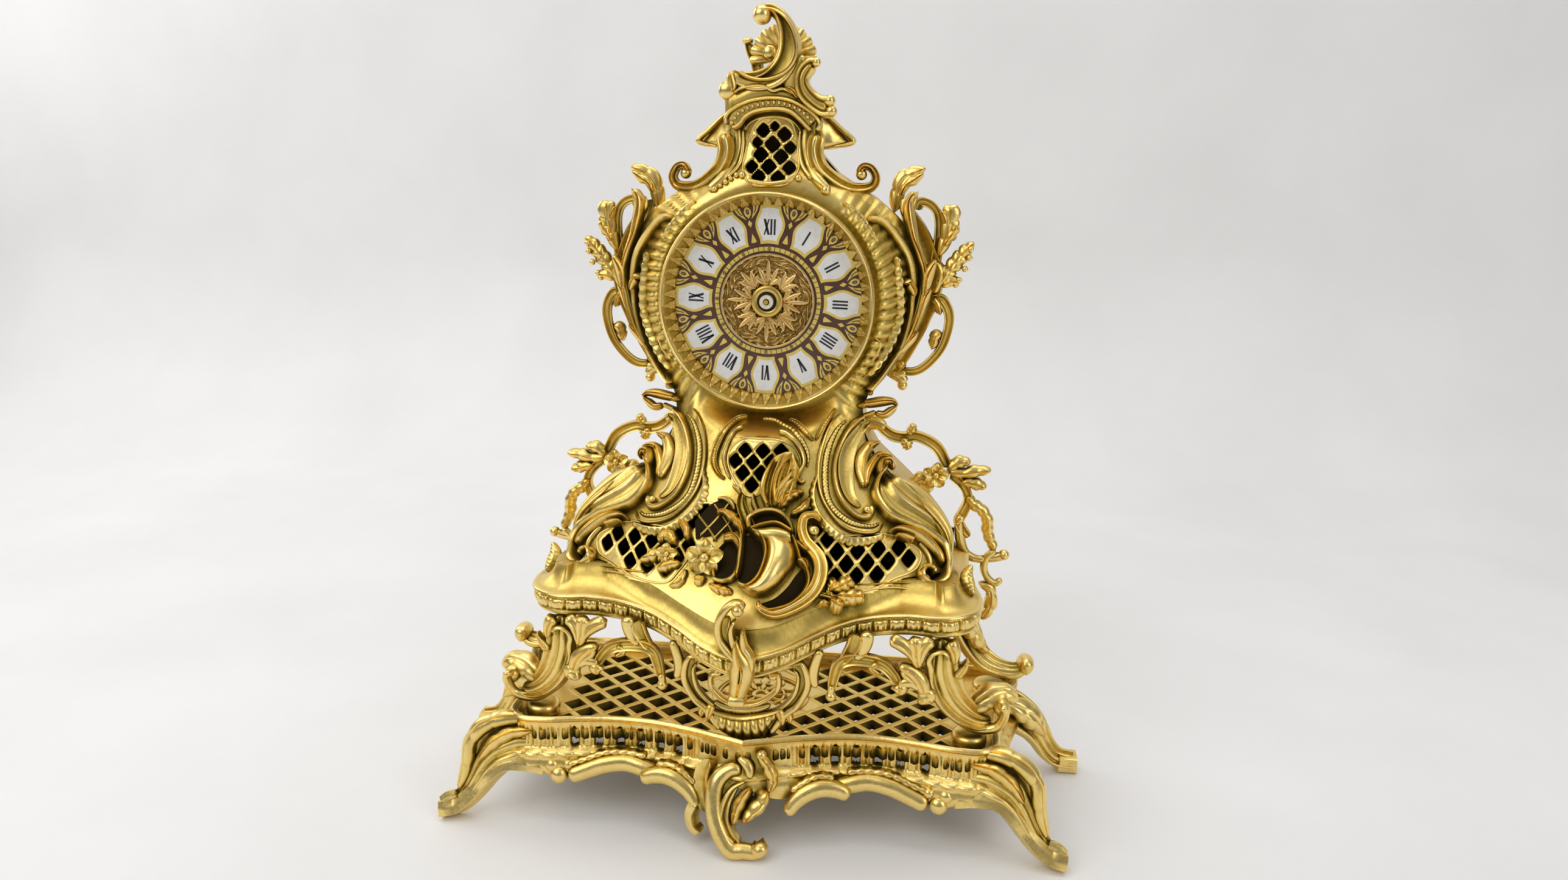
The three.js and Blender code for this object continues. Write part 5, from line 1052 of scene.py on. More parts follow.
dialNumbers = {
    "hole": 4.95, "rim": 50.9, "back": -15.3, "face": -16.5, "step": 0.09, "plaqueMiddle": 39.15, "numeralMiddle": 38.2,
        "numeralHeight": 8, "centreRim": 24.9,
    "yellowPlaque": (9.9, 5, 2.75), "whiteField": (8.2, 4, 2.5)}
numerals = ["XII", "I", "II", "III", "IIII", "V", "VI", "VII", "VIII", "IX", "X", "XI"]


def plaqueOutline(size):
    # barrel: half width = ends + belly * (1 + cos(pi h)) / 2 up the sides, with a slightly arched top and foot
    tall, ends, belly = size
    h = np.linspace(-1, 1, 26)
    wide = ends + belly * (0.5 + 0.5 * np.cos(np.pi * h)) + 0.35 * h
    top = np.linspace(1, -1, 9)[1:-1]
    arch = 0.6 * (1 - top**2)
    right = np.stack([wide, h * tall], 1)
    left = np.stack([-wide[::-1], h[::-1] * tall], 1)
    over = np.stack([top * wide[-1], tall + arch], 1)
    under = np.stack([-top * wide[0], -tall + 0.9 * arch], 1)
    return np.concatenate([right, over, left, under])


def onDial(shape, hour, radius):
    # turns an upright shape to its hour and moves it out to its radius
    a = np.pi / 2 - 2 * np.pi * hour / 12 - dialTurn
    outX, outZ = np.cos(a), np.sin(a)
    x = shape[..., 0] * outZ + (shape[..., 1] + radius) * outX
    z = -shape[..., 0] * outX + (shape[..., 1] + radius) * outZ
    return np.stack([x, dialZ + z], -1)


def strokes(text):
    # bars of one numeral as start, end and half width, all within the numeral's height
    h = dialNumbers["numeralHeight"] / 2
    advance = {"I": 1.75, "V": 2.9, "X": 3.1}
    scale = min(1, 8.6 / sum(advance[c] for c in text))
    at = -sum(advance[c] for c in text) * scale / 2
    thick, thin = 0.62, 0.34
    out = []
    for c in text:
        wide = advance[c] * scale
        mid = at + wide / 2
        r = wide * 0.36
        if c == "I":
            out.append(((mid, -h), (mid, h), 0.46))
        if c == "V":
            out += [((mid - r, h), (mid, -h), thick), ((mid + r, h), (mid, -h), thin)]
        if c == "X":
            out += [((mid - r, h), (mid + r, -h), thick), ((mid + r, h), (mid - r, -h), thin)]
        at += wide
    return out


def bar(start, end, half, yFront, yBack, hour, radius):
    start, end = np.array(start, float), np.array(end, float)
    across = np.array([half, 0])
    outline = np.stack([start - across, start + across, end + across, end - across])
    flat = onDial(outline, hour, radius)
    return flatShape(flat, yFront, yBack, flat.mean(0))


def buildDial():
    d = dialNumbers
    face, step = d["face"], d["step"]
    addPiece("dialGround", [ringBand(d["hole"], d["rim"], face, d["back"], count=180)], dialBrown, ["dial_plate"])
    yellow, white, black, brown = [], [], [], []

    def stroke(points, hour, radius, half, level, into):
        path = onDial(smoothPath(points, 0.5), hour, radius)
        where = (np.stack([path[:, 0], np.full(len(path), face - level * step), path[:, 1]], 1),
                 np.tile([0, -1, 0], (len(path), 1)))
        into.append(scroll(where, half, 0.06, "flat", back=0.25, across=5))

    def patch(shape, hour, radius, level, into):
        flat = onDial(np.array(shape, float), hour, radius)
        into.append(flatShape(flat, face - level * step, face + 0.1, flat.mean(0)))

    ring = np.linspace(0, 2 * np.pi, 24, endpoint=False)
    oval = np.stack([1.25 * np.sin(ring) * (0.8 + 0.2 * np.cos(ring)), 2.5 * np.cos(ring)], 1)
    for hour in range(12):
        patch(plaqueOutline(d["yellowPlaque"]), hour, d["plaqueMiddle"], 1, yellow)
        patch(plaqueOutline(d["whiteField"]), hour, d["plaqueMiddle"], 2, white)
        for start, end, half in strokes(numerals[hour]):
            black.append(bar(start, end, half, face - 3 * step, face, hour, d["numeralMiddle"]))
        # between two plaques: a fan at the rim with an oval loop and two curls, a lozenge, and a drop at the track
        between = hour + 0.5
        patch([(0, 43.4), (1.5, 45.2), (1.9, 47), (1.2, 48.8), (0, 49.4), (-1.2, 48.8), (-1.9, 47), (-1.5, 45.2)],
            between, 0, 1, yellow)
        stroke(np.concatenate([oval, oval[:1]]) * 0.5, between, 46.8, 0.34, 2, brown)
        for side in (-1, 1):
            leaf = [(1.3, 42.9), (3.4, 44.6), (5.3, 46.6), (7.1, 49.9), (3.6, 50.6), (3.5, 48.4), (2.8, 45.9)]
            patch([(side * px, pz) for px, pz in leaf][::side], between, 0, 1, yellow)
            stroke([(side * 3.1, 45.4), (side * 4.4, 47.2), (side * 5.2, 49.4)], between, 0, 0.24, 2, brown)
        patch([(0, 42.6), (1.15, 40.7), (0, 38.7), (-1.15, 40.7)], between, 0, 1, yellow)
        patch([(0, 35.6), (0.7, 33.6), (1.5, 31.1), (0, 30.7), (-1.5, 31.1), (-0.7, 33.6)], between, 0, 1, yellow)
        small = np.stack([np.sin(ring), np.cos(ring)], 1)
        stroke(np.concatenate([small, small[:1]]) * 0.75, hour, 27.05, 0.2, 2, brown)
    for k in range(60):
        a = np.pi / 2 - 2 * np.pi * (k + 0.5) / 60 - dialTurn
        half = 0.0455
        yellow.append(ringBand(26, 28.1, face - step, face + 0.2, a - half, a + half, count=3))
    for name, printed, paint in (("dialYellowPrint", yellow, dialYellow), ("dialBrownLines", brown, dialBrown),
        ("dialFields", white, dialWhite), ("dialNumerals", black, dialBlack)):
        addPiece(name, printed, paint, sharp=30)


def buildDialCentre():
    # eight embossed palmettes: from each root five lobes spread like a hand, each lobe rising to its middle line
    r = np.linspace(dialNumbers["hole"], dialNumbers["centreRim"], 90)[:, None]
    a = np.linspace(0, 2 * np.pi, 320, endpoint=False)[None, :]
    flatX, flatZ = r * np.cos(a), r * np.sin(a)
    height = 0.75 * (0.5 + 0.5 * np.cos(16 * a + 2 * np.sin(r)) * np.cos(1.5 * r + 2.5 * np.sin(8 * a))) ** 1.5
    for k in range(8):
        root, reach = ((7.2, 15), (9, 12.5))[k % 2]
        middle = k * np.pi / 4
        for j in range(-2, 3):
            turn = middle + 0.46 * j
            awayX, awayZ = flatX - root * np.cos(middle), flatZ - root * np.sin(middle)
            share = (awayX * np.cos(turn) + awayZ * np.sin(turn)) / (reach * (1 - 0.2 * abs(j)))
            aside = np.abs(awayZ * np.cos(turn) - awayX * np.sin(turn))
            wide = 0.05 + 2.1 * np.sin(np.pi * np.clip(share, 0, 1) ** 1.3) ** 0.8
            height = np.maximum(height, np.clip(1 - (aside / wide) ** 2, 0, 1) * (0.7 + 0.3 * share) * (share < 1))
    height = smoothStep(height, 0, 1.1)
    border = smoothStep(r, 23.3, 23.9)
    height = height * (1 - border) + 0.85 * border
    y = -16.85 - 1.5 * height
    x, z = dialPolar(r, a)
    front = np.stack([x, y, z], -1)
    back = front.copy()
    back[..., 1] = -16.75
    rings = np.concatenate([front.transpose(1, 0, 2), back.transpose(1, 0, 2)[:, ::-1]], 1)
    level = np.concatenate([height.T, np.full(height.T.shape, 0.3)], 1)
    addPiece("dialCentre", [loopGrid(rings, level)], agedBrass, ["dial_centre"])


def buildDialNut():
    hole = dialNumbers["hole"]
    profile = [(hole, -17.95), (hole, -19.6), (5.3, -20), (7.6, -20), (8.2, -19.6), (8.4, -19), (8.4, -17.95)]
    ring = turned(profile, 96)
    addPiece("dialNut", [ring], plainBrass, ["dial_nut"])


buildBezel()
buildDial()
buildDialCentre()
buildDialNut()


# Base moulding, cartouche and drop ornament


def planSweep(plan, section, step, closed=False, wave=None):
    # section of outward distance and height carried along a plan curve whose third number shifts the height
    path = smoothPath(plan, step)
    along = np.gradient(path[:, :2], axis=0)
    if closed:
        path, along = path[:-1], (np.roll(path[:-1, :2], -1, 0) - np.roll(path[:-1, :2], 1, 0))
    along /= np.linalg.norm(along, axis=1, keepdims=True)
    out = np.stack([along[:, 1], -along[:, 0]], 1)
    section = np.asarray(section, float)
    o = np.broadcast_to(section[None, :, 0], (len(path), len(section))).copy()
    dz = np.broadcast_to(section[None, :, 1], (len(path), len(section))).copy()
    level = np.ones_like(o)
    if wave is not None:
        o, dz, level = wave(o, dz, path, level)
    rings = np.stack([path[:, None, 0] + out[:, None, 0] * o, path[:, None, 1] + out[:, None, 1] * o,
        path[:, None, 2] + dz], -1)
    return (loopGrid if closed else ringGrid)(rings, level)


webNumbers = {"halfWidth": 94.5, "behindFront": 12, "rear": 15.5, "drop": 12.6, "thickness": 1.8}


def mouldingWeb():
    # thin web that closes the case from below: it hangs with the moulding in front and levels out to the rear; its top
    # face is painted near black as the shade inside the case
    w = webNumbers
    x = np.linspace(-w["halfWidth"], w["halfWidth"], 47)[:, None]
    plan = [(px, py) for px, py, _ in mouldingPlan if px <= mouldingCorner]
    front = tableValue(plan, 1, np.abs(x)) + w["behindFront"]
    v = np.linspace(0, 1, 9)[None, :]
    y = front + (w["rear"] - front) * v
    z = mouldingZ - w["drop"] + mouldingDip(x) * (1 - v) ** 1.5
    top = np.stack([x + 0 * v, y, z], -1)
    rings = np.concatenate([top, (top - [0, 0, w["thickness"]])[:, ::-1]], 1)
    level = np.concatenate([np.full(z.shape, shadowSheetRelief), np.full(z.shape, 0.4)], 1)
    return ringGrid(rings, level)


def buildBaseMoulding():
    # a concave flare from the foot of the case out to a thin ridge, a ribbon of blocks, and a cove under it
    plan = [(-x, y, z) for x, y, z in mouldingPlan[:0:-1]] + list(mouldingPlan)
    flare, top, ridge = 10, 9, (5, -2.1)
    under = [(5.7, -2.5), (5.9, -3.1), (5.4, -3.7), (4.3, -4), (3.5, -4.6), (3.7, -5.2), (4.5, -5.5), (5, -6.5),
        (5.15, -8), (5, -9.5), (4.5, -10.5), (3.6, -10.8), (3, -11.3), (3.4, -11.9), (3.8, -12.6), (3.6, -13.3),
        (2.6, -13.9), (1.4, -14.5), (-15, -14.5)]
    section = [(-15, top)] + [(0, top)] * flare + [ridge] + under
    first = flare + 8
    pitch, lower = 8.2, 6

    def wave(o, dz, path, level):
        x, shift = path[:, 0], path[:, 2]
        onCase = 1 - smoothStep(np.abs(x), 92, 99)
        shell = path[:, 1] - frontDepth(x, mouldingZ + frontNumbers["shellFoot"] + shift)
        start = np.where(onCase > 0, onCase * np.clip(shell, -12, 0) - (1 - onCase) * 6, -6) - 0.6
        # the flare's colour darkens towards the case: patina and painted shade in the crease
        for k in range(flare):
            share = k / flare
            o[:, k + 1] = start + (ridge[0] - start) * share**1.5
            dz[:, k + 1] = top + (ridge[1] - top) * (1 - (1 - share) ** 1.7)
            level[:, k + 1] = 0.65 * share - 0.25
        length = np.concatenate([[0], np.cumsum(np.linalg.norm(np.diff(path[:, :2], axis=0), axis=1))])
        block = np.abs((length / pitch) % 1 - 0.5) * 2
        notch = np.exp(-((1 - block) / 0.14) ** 2)
        eye = np.exp(-(np.abs(block - 0.42) / 0.1) ** 2)
        bulge = np.exp(-(block / 0.3) ** 2)
        for k in range(lower):
            middle = np.sin(np.pi * (k + 0.5) / lower)
            o[:, first + k] += -1.5 * notch - 0.5 * eye * middle + 0.35 * bulge * middle
            level[:, first + k] = 1 - 0.9 * notch - 0.55 * eye * middle
        level[:, flare + 4:flare + 7] = 0.1
        level[:, first + lower:first + lower + 2] = 0.15
        return o, dz + mouldingZ, level

    body = planSweep(plan, section, 0.42, wave=wave)
    castPiece("baseMoulding", [body, mouldingWeb()], "base_moulding")


def buildCartouche():
    # a smooth bulb between openings, a broad frame of two ridges on its right, an oval ring and leaves on its left
    def at(points, widths, height, profile="round", lift=0, **more):
        return on(points, widths, height, profile, lift, **{"back": 4, **more})

    # painted shadow: a near-black sheet in an opening, standing for the shade behind the casting
    def dark(edgeA, edgeB):
        return panel(edgeA, edgeB, 0.4, lift=0.9, deep=0, level=shadowSheetRelief, back=0.8, ends=(0.05, 0.05))

    openRim = [(-0.2, 154.5), (5, 152.5), (8, 147.5), (8, 142.5), (5.5, 137), (0.7, 134), (-4, 135)]
    arch = [(-1.1, 155), (-2.7, 159.5), (1.9, 163), (9, 164), (14.5, 162), (19, 157.5), (20.5, 153.5)]
    ring = [(-14, 150.5), (-9, 151), (-5, 147.5), (-4.5, 142.5), (-6.5, 137.5), (-11, 135.5), (-17, 136)]
    bulbRight = [(20.5, 154), (22.5, 150.5), (23.5, 146), (22.5, 141.5), (19.5, 137.5), (15.5, 133.5), (9, 130),
        (2, 130.5), (-4, 134)]
    leaf = leafOf(at, lobes=(4, 0.26), veins=0.35, lean=0.4, bend=0.1)
    parts = [
        dark([(-5, 153), (-4.5, 143), (-4, 135.5)], openRim),
        dark(arch, [(-1.1, 155), (4, 156), (9, 156.5), (14, 156.5), (20, 154)]),
        dark([(-12, 151.5), (-16, 146), (-17, 141), (-15.5, 136)], ring),
        dark([(26.5, 142), (23.5, 139), (20, 134.5), (14.5, 130), (8, 127.5)], [(28.5, 141.5), (29.5, 137), (28, 132.5),
            (22.5, 128), (9, 125)]),
        panel(openRim, bulbRight, [5, 8, 9.5, 10, 9.6, 8, 6], lift=1.5, deep=0, dome=0.55, back=4, across=33, level=0.9,
            ends=(0.12, 0.2)),
        panel([(-3, 155.5), (4, 156), (11, 157), (20, 155)], [(3, 151.5), (9, 150), (15, 149.5), (22, 150)],
            [6, 7.6, 7.6, 6], lift=1.2, deep=0, dome=0.45, back=3, level=0.8, ends=(0.1, 0.1)),
        at(openRim, [1.2, 1.4, 1.4, 1.5, 1.2], [8, 8.7, 8.8, 8.1, 6], lift=0.6),
        at([(-5, 153.5), (-4.5, 147.5), (-4.5, 141.5), (-5, 137)], [1.4, 1.6, 1.6, 1.4], 6.6, lift=0.5),
        at(ring, [1.3, 1.6, 1.3], 5.4, lift=0.5),
        at([(-13, 151), (-17, 146.5), (-17.5, 141), (-16, 136)], 1.1, 3.4, lift=0.4),
        at(arch, [1.6, 2, 1.4], 5.6, lift=0.6),
        at([(-1.2, 154.5), (4.5, 156.5), (12, 157.5), (20.5, 154)], 1.1, 8.4, lift=0.4),
        at([(20, 153.5), (22, 150.5), (24, 147), (25.5, 144), (28.5, 141), (30, 136.5), (28, 132), (22.5, 127.5),
            (14.5, 125), (8.5, 124.5)], [1.2, 1.2, 1], 7.2, lift=0.6),
        at([(33, 159), (30, 161), (25.5, 160.5), (24.5, 156), (26.5, 151.5), (34, 144.5), (35.5, 140), (34, 134.5),
            (29.5, 129.5), (16.5, 123.5), (10.5, 124), (7, 126.5), (7.5, 128)], [1.8, 2.6, 3, 3.7, 3.8, 3.5, 2.9, 2.3,
            1.4], 3, "double", lift=4.6),
        ball(31, 158.6, 2.8, 7.4),
        ball(8, 128.2, 1.8, 6.4),
        at([(22, 151), (25, 149.5), (29, 146.5)], [1, 2.4, 1], 8, "leaf"),
        at([(23.5, 144), (27.5, 143), (29.5, 140)], [1, 2.4, 1], 8, "leaf"),
        panel([(4.5, 164.5), (2.4, 172), (3, 180), (7, 188.5), (12.5, 191)], [(15, 164), (18.5, 170), (20, 177),
            (20.5, 183), (16.5, 191)], [4, 6.3, 5.7, 2], lift=2.4, flutes=5, deep=0.35, dome=0.5, back=3, across=41,
            level=0.85, ends=(0.1, 0.3)),
        at([(7, 164.5), (3.5, 171.5), (4.5, 179.5), (8, 187)], [1.4, 2, 1.8, 0.6], 7.6, lift=2),
        at([(10.5, 165), (9, 173), (10.5, 181.5), (16, 189.5)], [1, 1.7, 1.7, 0.6], 8.2, lift=2),
        at([(10, 165), (10.5, 171), (13.5, 175.5), (18.5, 182)], [1.4, 2.2, 2.2, 0.7], 7.6, lift=2),
        at([(11, 165.5), (13, 171), (15.5, 175), (19, 178)], [1.2, 2, 1.9, 0.7], 6.8, lift=2),
        leaf([(13, 164.5), (16, 169.5), (19.5, 171.5), (24, 172.5)], [2, 3, 2.8, 0.8], 5.8, lift=1.4),
        leaf([(18, 162), (24, 165.5), (26.5, 170)], [2, 3, 0.8], 4.6, lift=1.2),
        at([(-0.8, 155.5), (-5, 161.5), (-7.5, 166.5), (-7.5, 171.5)], [3.4, 3.2, 2.8, 1.6], 4.4, "ridges"),
        at([(1.7, 163), (-1.2, 167.5), (-1.7, 171.5)], [1.6, 1.8, 0.8], 4.8),
        at([(-20.5, 168), (-16, 168.5), (-12, 166), (-10.5, 163)], [0.8, 1.6, 1.6, 1], 3.6),
        at([(-13.5, 175), (-10, 173), (-8.5, 170.5)], [0.8, 1.5, 0.9], 3.2),
        leaf([(-19.5, 161), (-15, 162), (-6, 156), (-4.5, 151.5)], [1.6, 2.9, 2.6, 1.2], 5.6, lift=0.8),
        at([(-14, 151), (-10.5, 152.5), (-6.5, 151), (-4.5, 148)], [1.4, 2.2, 2, 0.9], 6.2, "leaf", lift=0.8),
        dark([(-31, 158), (-23, 166), (-15, 168.5), (-9, 166)], [(-29, 151), (-22, 153), (-15, 154.5), (-8, 156)]),
        at([(-29, 160), (-22.5, 155), (-18, 151)], 0.9, 2.4),
        at([(-22, 166), (-14, 158.5), (-9, 153)], 0.9, 2.4),
        at([(-27, 152), (-19, 160), (-13, 168)], 0.9, 2.4),
        at([(-20, 151), (-14, 157), (-8, 163)], 0.9, 2.4),
        leaf([(-19, 134), (-13.5, 132.5), (-6.5, 131.5)], [1.6, 3, 1.2], 4),
        leaf([(-20.5, 136.5), (-23.5, 135.5), (-26.5, 135)], [2.4, 3.4, 2], 4.4),
        leaf([(-38.5, 147.5), (-44, 150.5), (-49, 148)], [2.6, 4.2, 1.6], 4.6),
        leaf([(-36, 144), (-43, 144.5), (-50, 142.5), (-56.5, 139)], [2, 3.6, 3.4, 0.8], 4.2),
        leaf([(-34, 140.5), (-40, 140), (-46.5, 137)], [2, 3.4, 1], 4),
        leaf([(-33, 150), (-35, 154.5), (-39.5, 157.5)], [1.8, 2.8, 0.9], 4),
        leaf([(-31, 139), (-34.5, 133.5), (-39, 131)], [1.6, 2.6, 0.8], 3.4),
        at([(35, 132), (42, 130.5), (49.5, 128.5), (56.5, 128.5)], [1.6, 2.2, 2.2, 1.2], 3.6, "leaf"),
    ]
    for x, z in [(54.5, 130), (43, 136), (46, 126.5), (38, 127.5), (41, 132.5), (49.5, 136)]:
        root = (37 + 0.35 * (x - 37), 131 + 0.35 * (z - 131))
        parts.append(leaf([root, ((root[0] + x) / 2, (root[1] + z) / 2), (x + 0.16 * (x - 37), z + 0.16 * (z - 131))],
            [2.2, 4.6, 3], 5.6, lobes=(3, 0.2)))
    for x, z, forward, radius, deep in ((-21.9, 146.6, 6, 9.6, 3.2), (-42.5, 145.5, 4, 5.6, 2.2)):
        parts += flower(x, float(frontDepth(x, z)) - forward, z, radius, (0, -1, 0.15), deep, 0.3)
    castPiece("cartoucheCast", parts, "cartouche")


def buildDropOrnament():
    # a C-scroll that hangs from the cartouche, a fluted neck and a squared claw
    y = -105.2
    at = upright(y)
    parts = [
        at([(2.3, 132), (0.8, 134), (-2.1, 134.5), (-6.5, 131), (-10, 124), (-9.5, 115.5), (-1.8, 105), (1.5, 100)],
            [1.6, 2, 2, 2.1, 2.2, 1.2], 3.4, back=2.6, rounded=True),
        ball(-0.6, 131.2, 3, y=y - 1.6),
        at([(-2.1, 126), (-4, 120.5), (-2.5, 112), (1.5, 106)], [1, 1.7, 2, 1.6], 2.6, back=2.6, rounded=True),
        at([(-5.5, 127), (-7.5, 121), (-6.5, 114), (-3.5, 108)], [1.6, 3, 3.2, 1.6], 1.2, "hollow", back=2),
        at([(1.5, 121), (2.3, 113), (5.5, 107), (6.5, 100.5)], [1, 2, 2.2, 1.4], 4, back=2.4, rounded=True),
        at([(-1.6, 116), (-0.6, 109), (1.4, 102.5), (0.6, 94.5), (-0.6, 89), (-1.2, 84.5)], [1.6, 3.6, 5.6, 6.2, 4.8,
            4.2], [3, 4.4, 5.6, 4.9, 3.6], "leaf", back=2.8, rounded=True),
        at([(1.2, 103.5), (1, 98.5), (0.2, 94)], [0.8, 2.4, 0.8], 6.6, "leaf", back=1),
        at([(-1.2, 87.5), (-1.2, 84.5), (-1.2, 80.5)], [4.4, 4.7, 4.2], [4.4, 4.4, 4], "flat", back=2.6),
    ]
    castPiece("dropOrnament", parts, "drop_ornament")


buildBaseMoulding()
buildCartouche()
buildDropOrnament()


# Legs, pads and the openwork between the front legs


def buildPads():
    profile = np.array([(0.01, 0), (7.6, 0), (8.6, 0.7), (9, 2.2), (8.9, 4.6), (8.3, 6.2), (6.8, 7.1), (0.01, 7.2)])
    a = np.linspace(0, 2 * np.pi, 48, endpoint=False)[:, None]
    for row, (x, y) in (("front", (113, -71)), ("rear", (126, -14))):
        for side, sign in (("right", 1), ("left", -1)):
            rings = np.stack([sign * x + profile[None, :, 0] * np.cos(a), y + profile[None, :, 0] * np.sin(a),
                padFoot + profile[None, :, 1] + 0 * a], -1)
            part = ringGrid(rings.transpose(1, 0, 2))
            castPiece(f"footPad_{row}_{side}", [part], f"foot_pad_{row}_{side}")


def buildLegs():
    m, p = mouldingBottom, padTop
    # front: a fluted body with a rolled rim that starts in a volute and closes in a roll on the pad
    body = [(96.5, -81, m - 0.7), (97.4, -81.5, 104), (97.6, -82, 96), (99.6, -81.5, 87.5), (104, -80, 78.5),
        (110.8, -77.5, 70.5), (117.6, -74.5, 65.6), (123.4, -72.5, 64.2)]
    look = [(0.12, -1, 0.02), (0.12, -1, 0.1), (0.1, -0.95, 0.35), (0.05, -0.8, 0.7)]
    parts = [strip(body, look, [7, 8.4, 8.8, 8, 6.4, 4.4], [3, 3.3, 2.2], "fluted", back=[6, 5.6, 3.6], rounded=True,
        across=41)]
    rim = np.array([(100, 104), (99, 106), (96.5, 107), (92.5, 105.5), (90.5, 102), (91.5, 97.5), (92, 91), (95, 82),
        (100.5, 74), (115, 64.5), (121.5, 64.5), (127, 67), (129.5, 75.5), (127.5, 79)])
    sink = np.clip((100 - rim[:, 1]) / 40, 0, 1)
    path = np.stack([rim[:, 0], -85.5 + 11.5 * sink, rim[:, 1] - 3.6 * sink], 1)
    parts.append(strip(path, [(0, -1, 0.1), (0, -0.9, 0.4), (0, -0.8, 0.6)], [1, 1.9, 2, 2.2, 2.5, 2.2], 2.6, back=3.6,
        rounded=True))
    parts.append(strip([(128.5, -77, 71.5), (128, -71, 73), (127.5, -65.5, 73.5)], [(0, 0, 1)], [3.4, 4.4, 3.6],
        [3.4, 4.4, 3.6], "round", back=[3.4, 4.4, 3.6], rounded=True))
    parts.append(strip([(104.5, -82, 92), (107.5, -82.5, 97), (109.5, -83, 102)], [(0, -1, 0)], [2.4, 2.2, 0.7], 2.4,
        "leaf", back=2.4))
    parts.append(strip([(100, -84, m - 1), (103, -84, 106), (103.4, -84, 100)], [(0, -1, 0)], [4, 3, 1.2], 2.4, "leaf",
        back=3))
    parts.append(strip([(112, -72, 68.5), (121, -69, 75.5), (130, -66.5, 77.5), (136, -65.5, 72.5)], [(0.2, -0.7, 1)],
        [3, 6.6, 6.4, 3], 3.6, "leaf", back=4, lobes=(3, 0.18), veins=0.25, rounded=True))
    castPair("legFront", parts, "leg_front")
    # rear: the same form turned outwards, with a leaf on its shoulder
    rear = [(104, -14, m - 0.6), (108, -13.5, m - 14), (114, -13, m - 29), (122, -12.5, p + 13), (131, -12, p + 7.4),
        (140, -12, p + 6.2), (146.5, -12, p + 9.5)]
    parts = [strip(rear, [(0.8, -0.7, 0.3), (0.8, -0.7, 0.4), (0.6, -0.6, 0.7), (0, -0.3, 1)], [11.5, 11.4, 10.5, 8.3,
        6.2, 5], [3.2, 3, 2.4], "fluted", back=[6, 4.6, 3], rounded=True, across=41)]
    shoulder = [(107, -18, m - 3), (111, -18.5, m - 14), (117, -18, m - 27), (124, -17, m - 37)]
    parts.append(strip(shoulder, [(0.8, -0.7, 0.4)], [2.4, 5.2, 5, 1], 3.2, "leaf", back=2, lobes=(5, 0.28), veins=0.4,
        lean=0.5))
    parts.append(strip([(146, -19, p + 10.5), (145.6, -12, p + 11.4), (145.6, -5, p + 10.5)], [(0, 0, 1)],
        [3.8, 4.8, 3.8], [3.8, 4.8, 3.8], "round", back=[3.8, 4.8, 3.8], rounded=True))
    castPair("legRear", parts, "leg_rear")


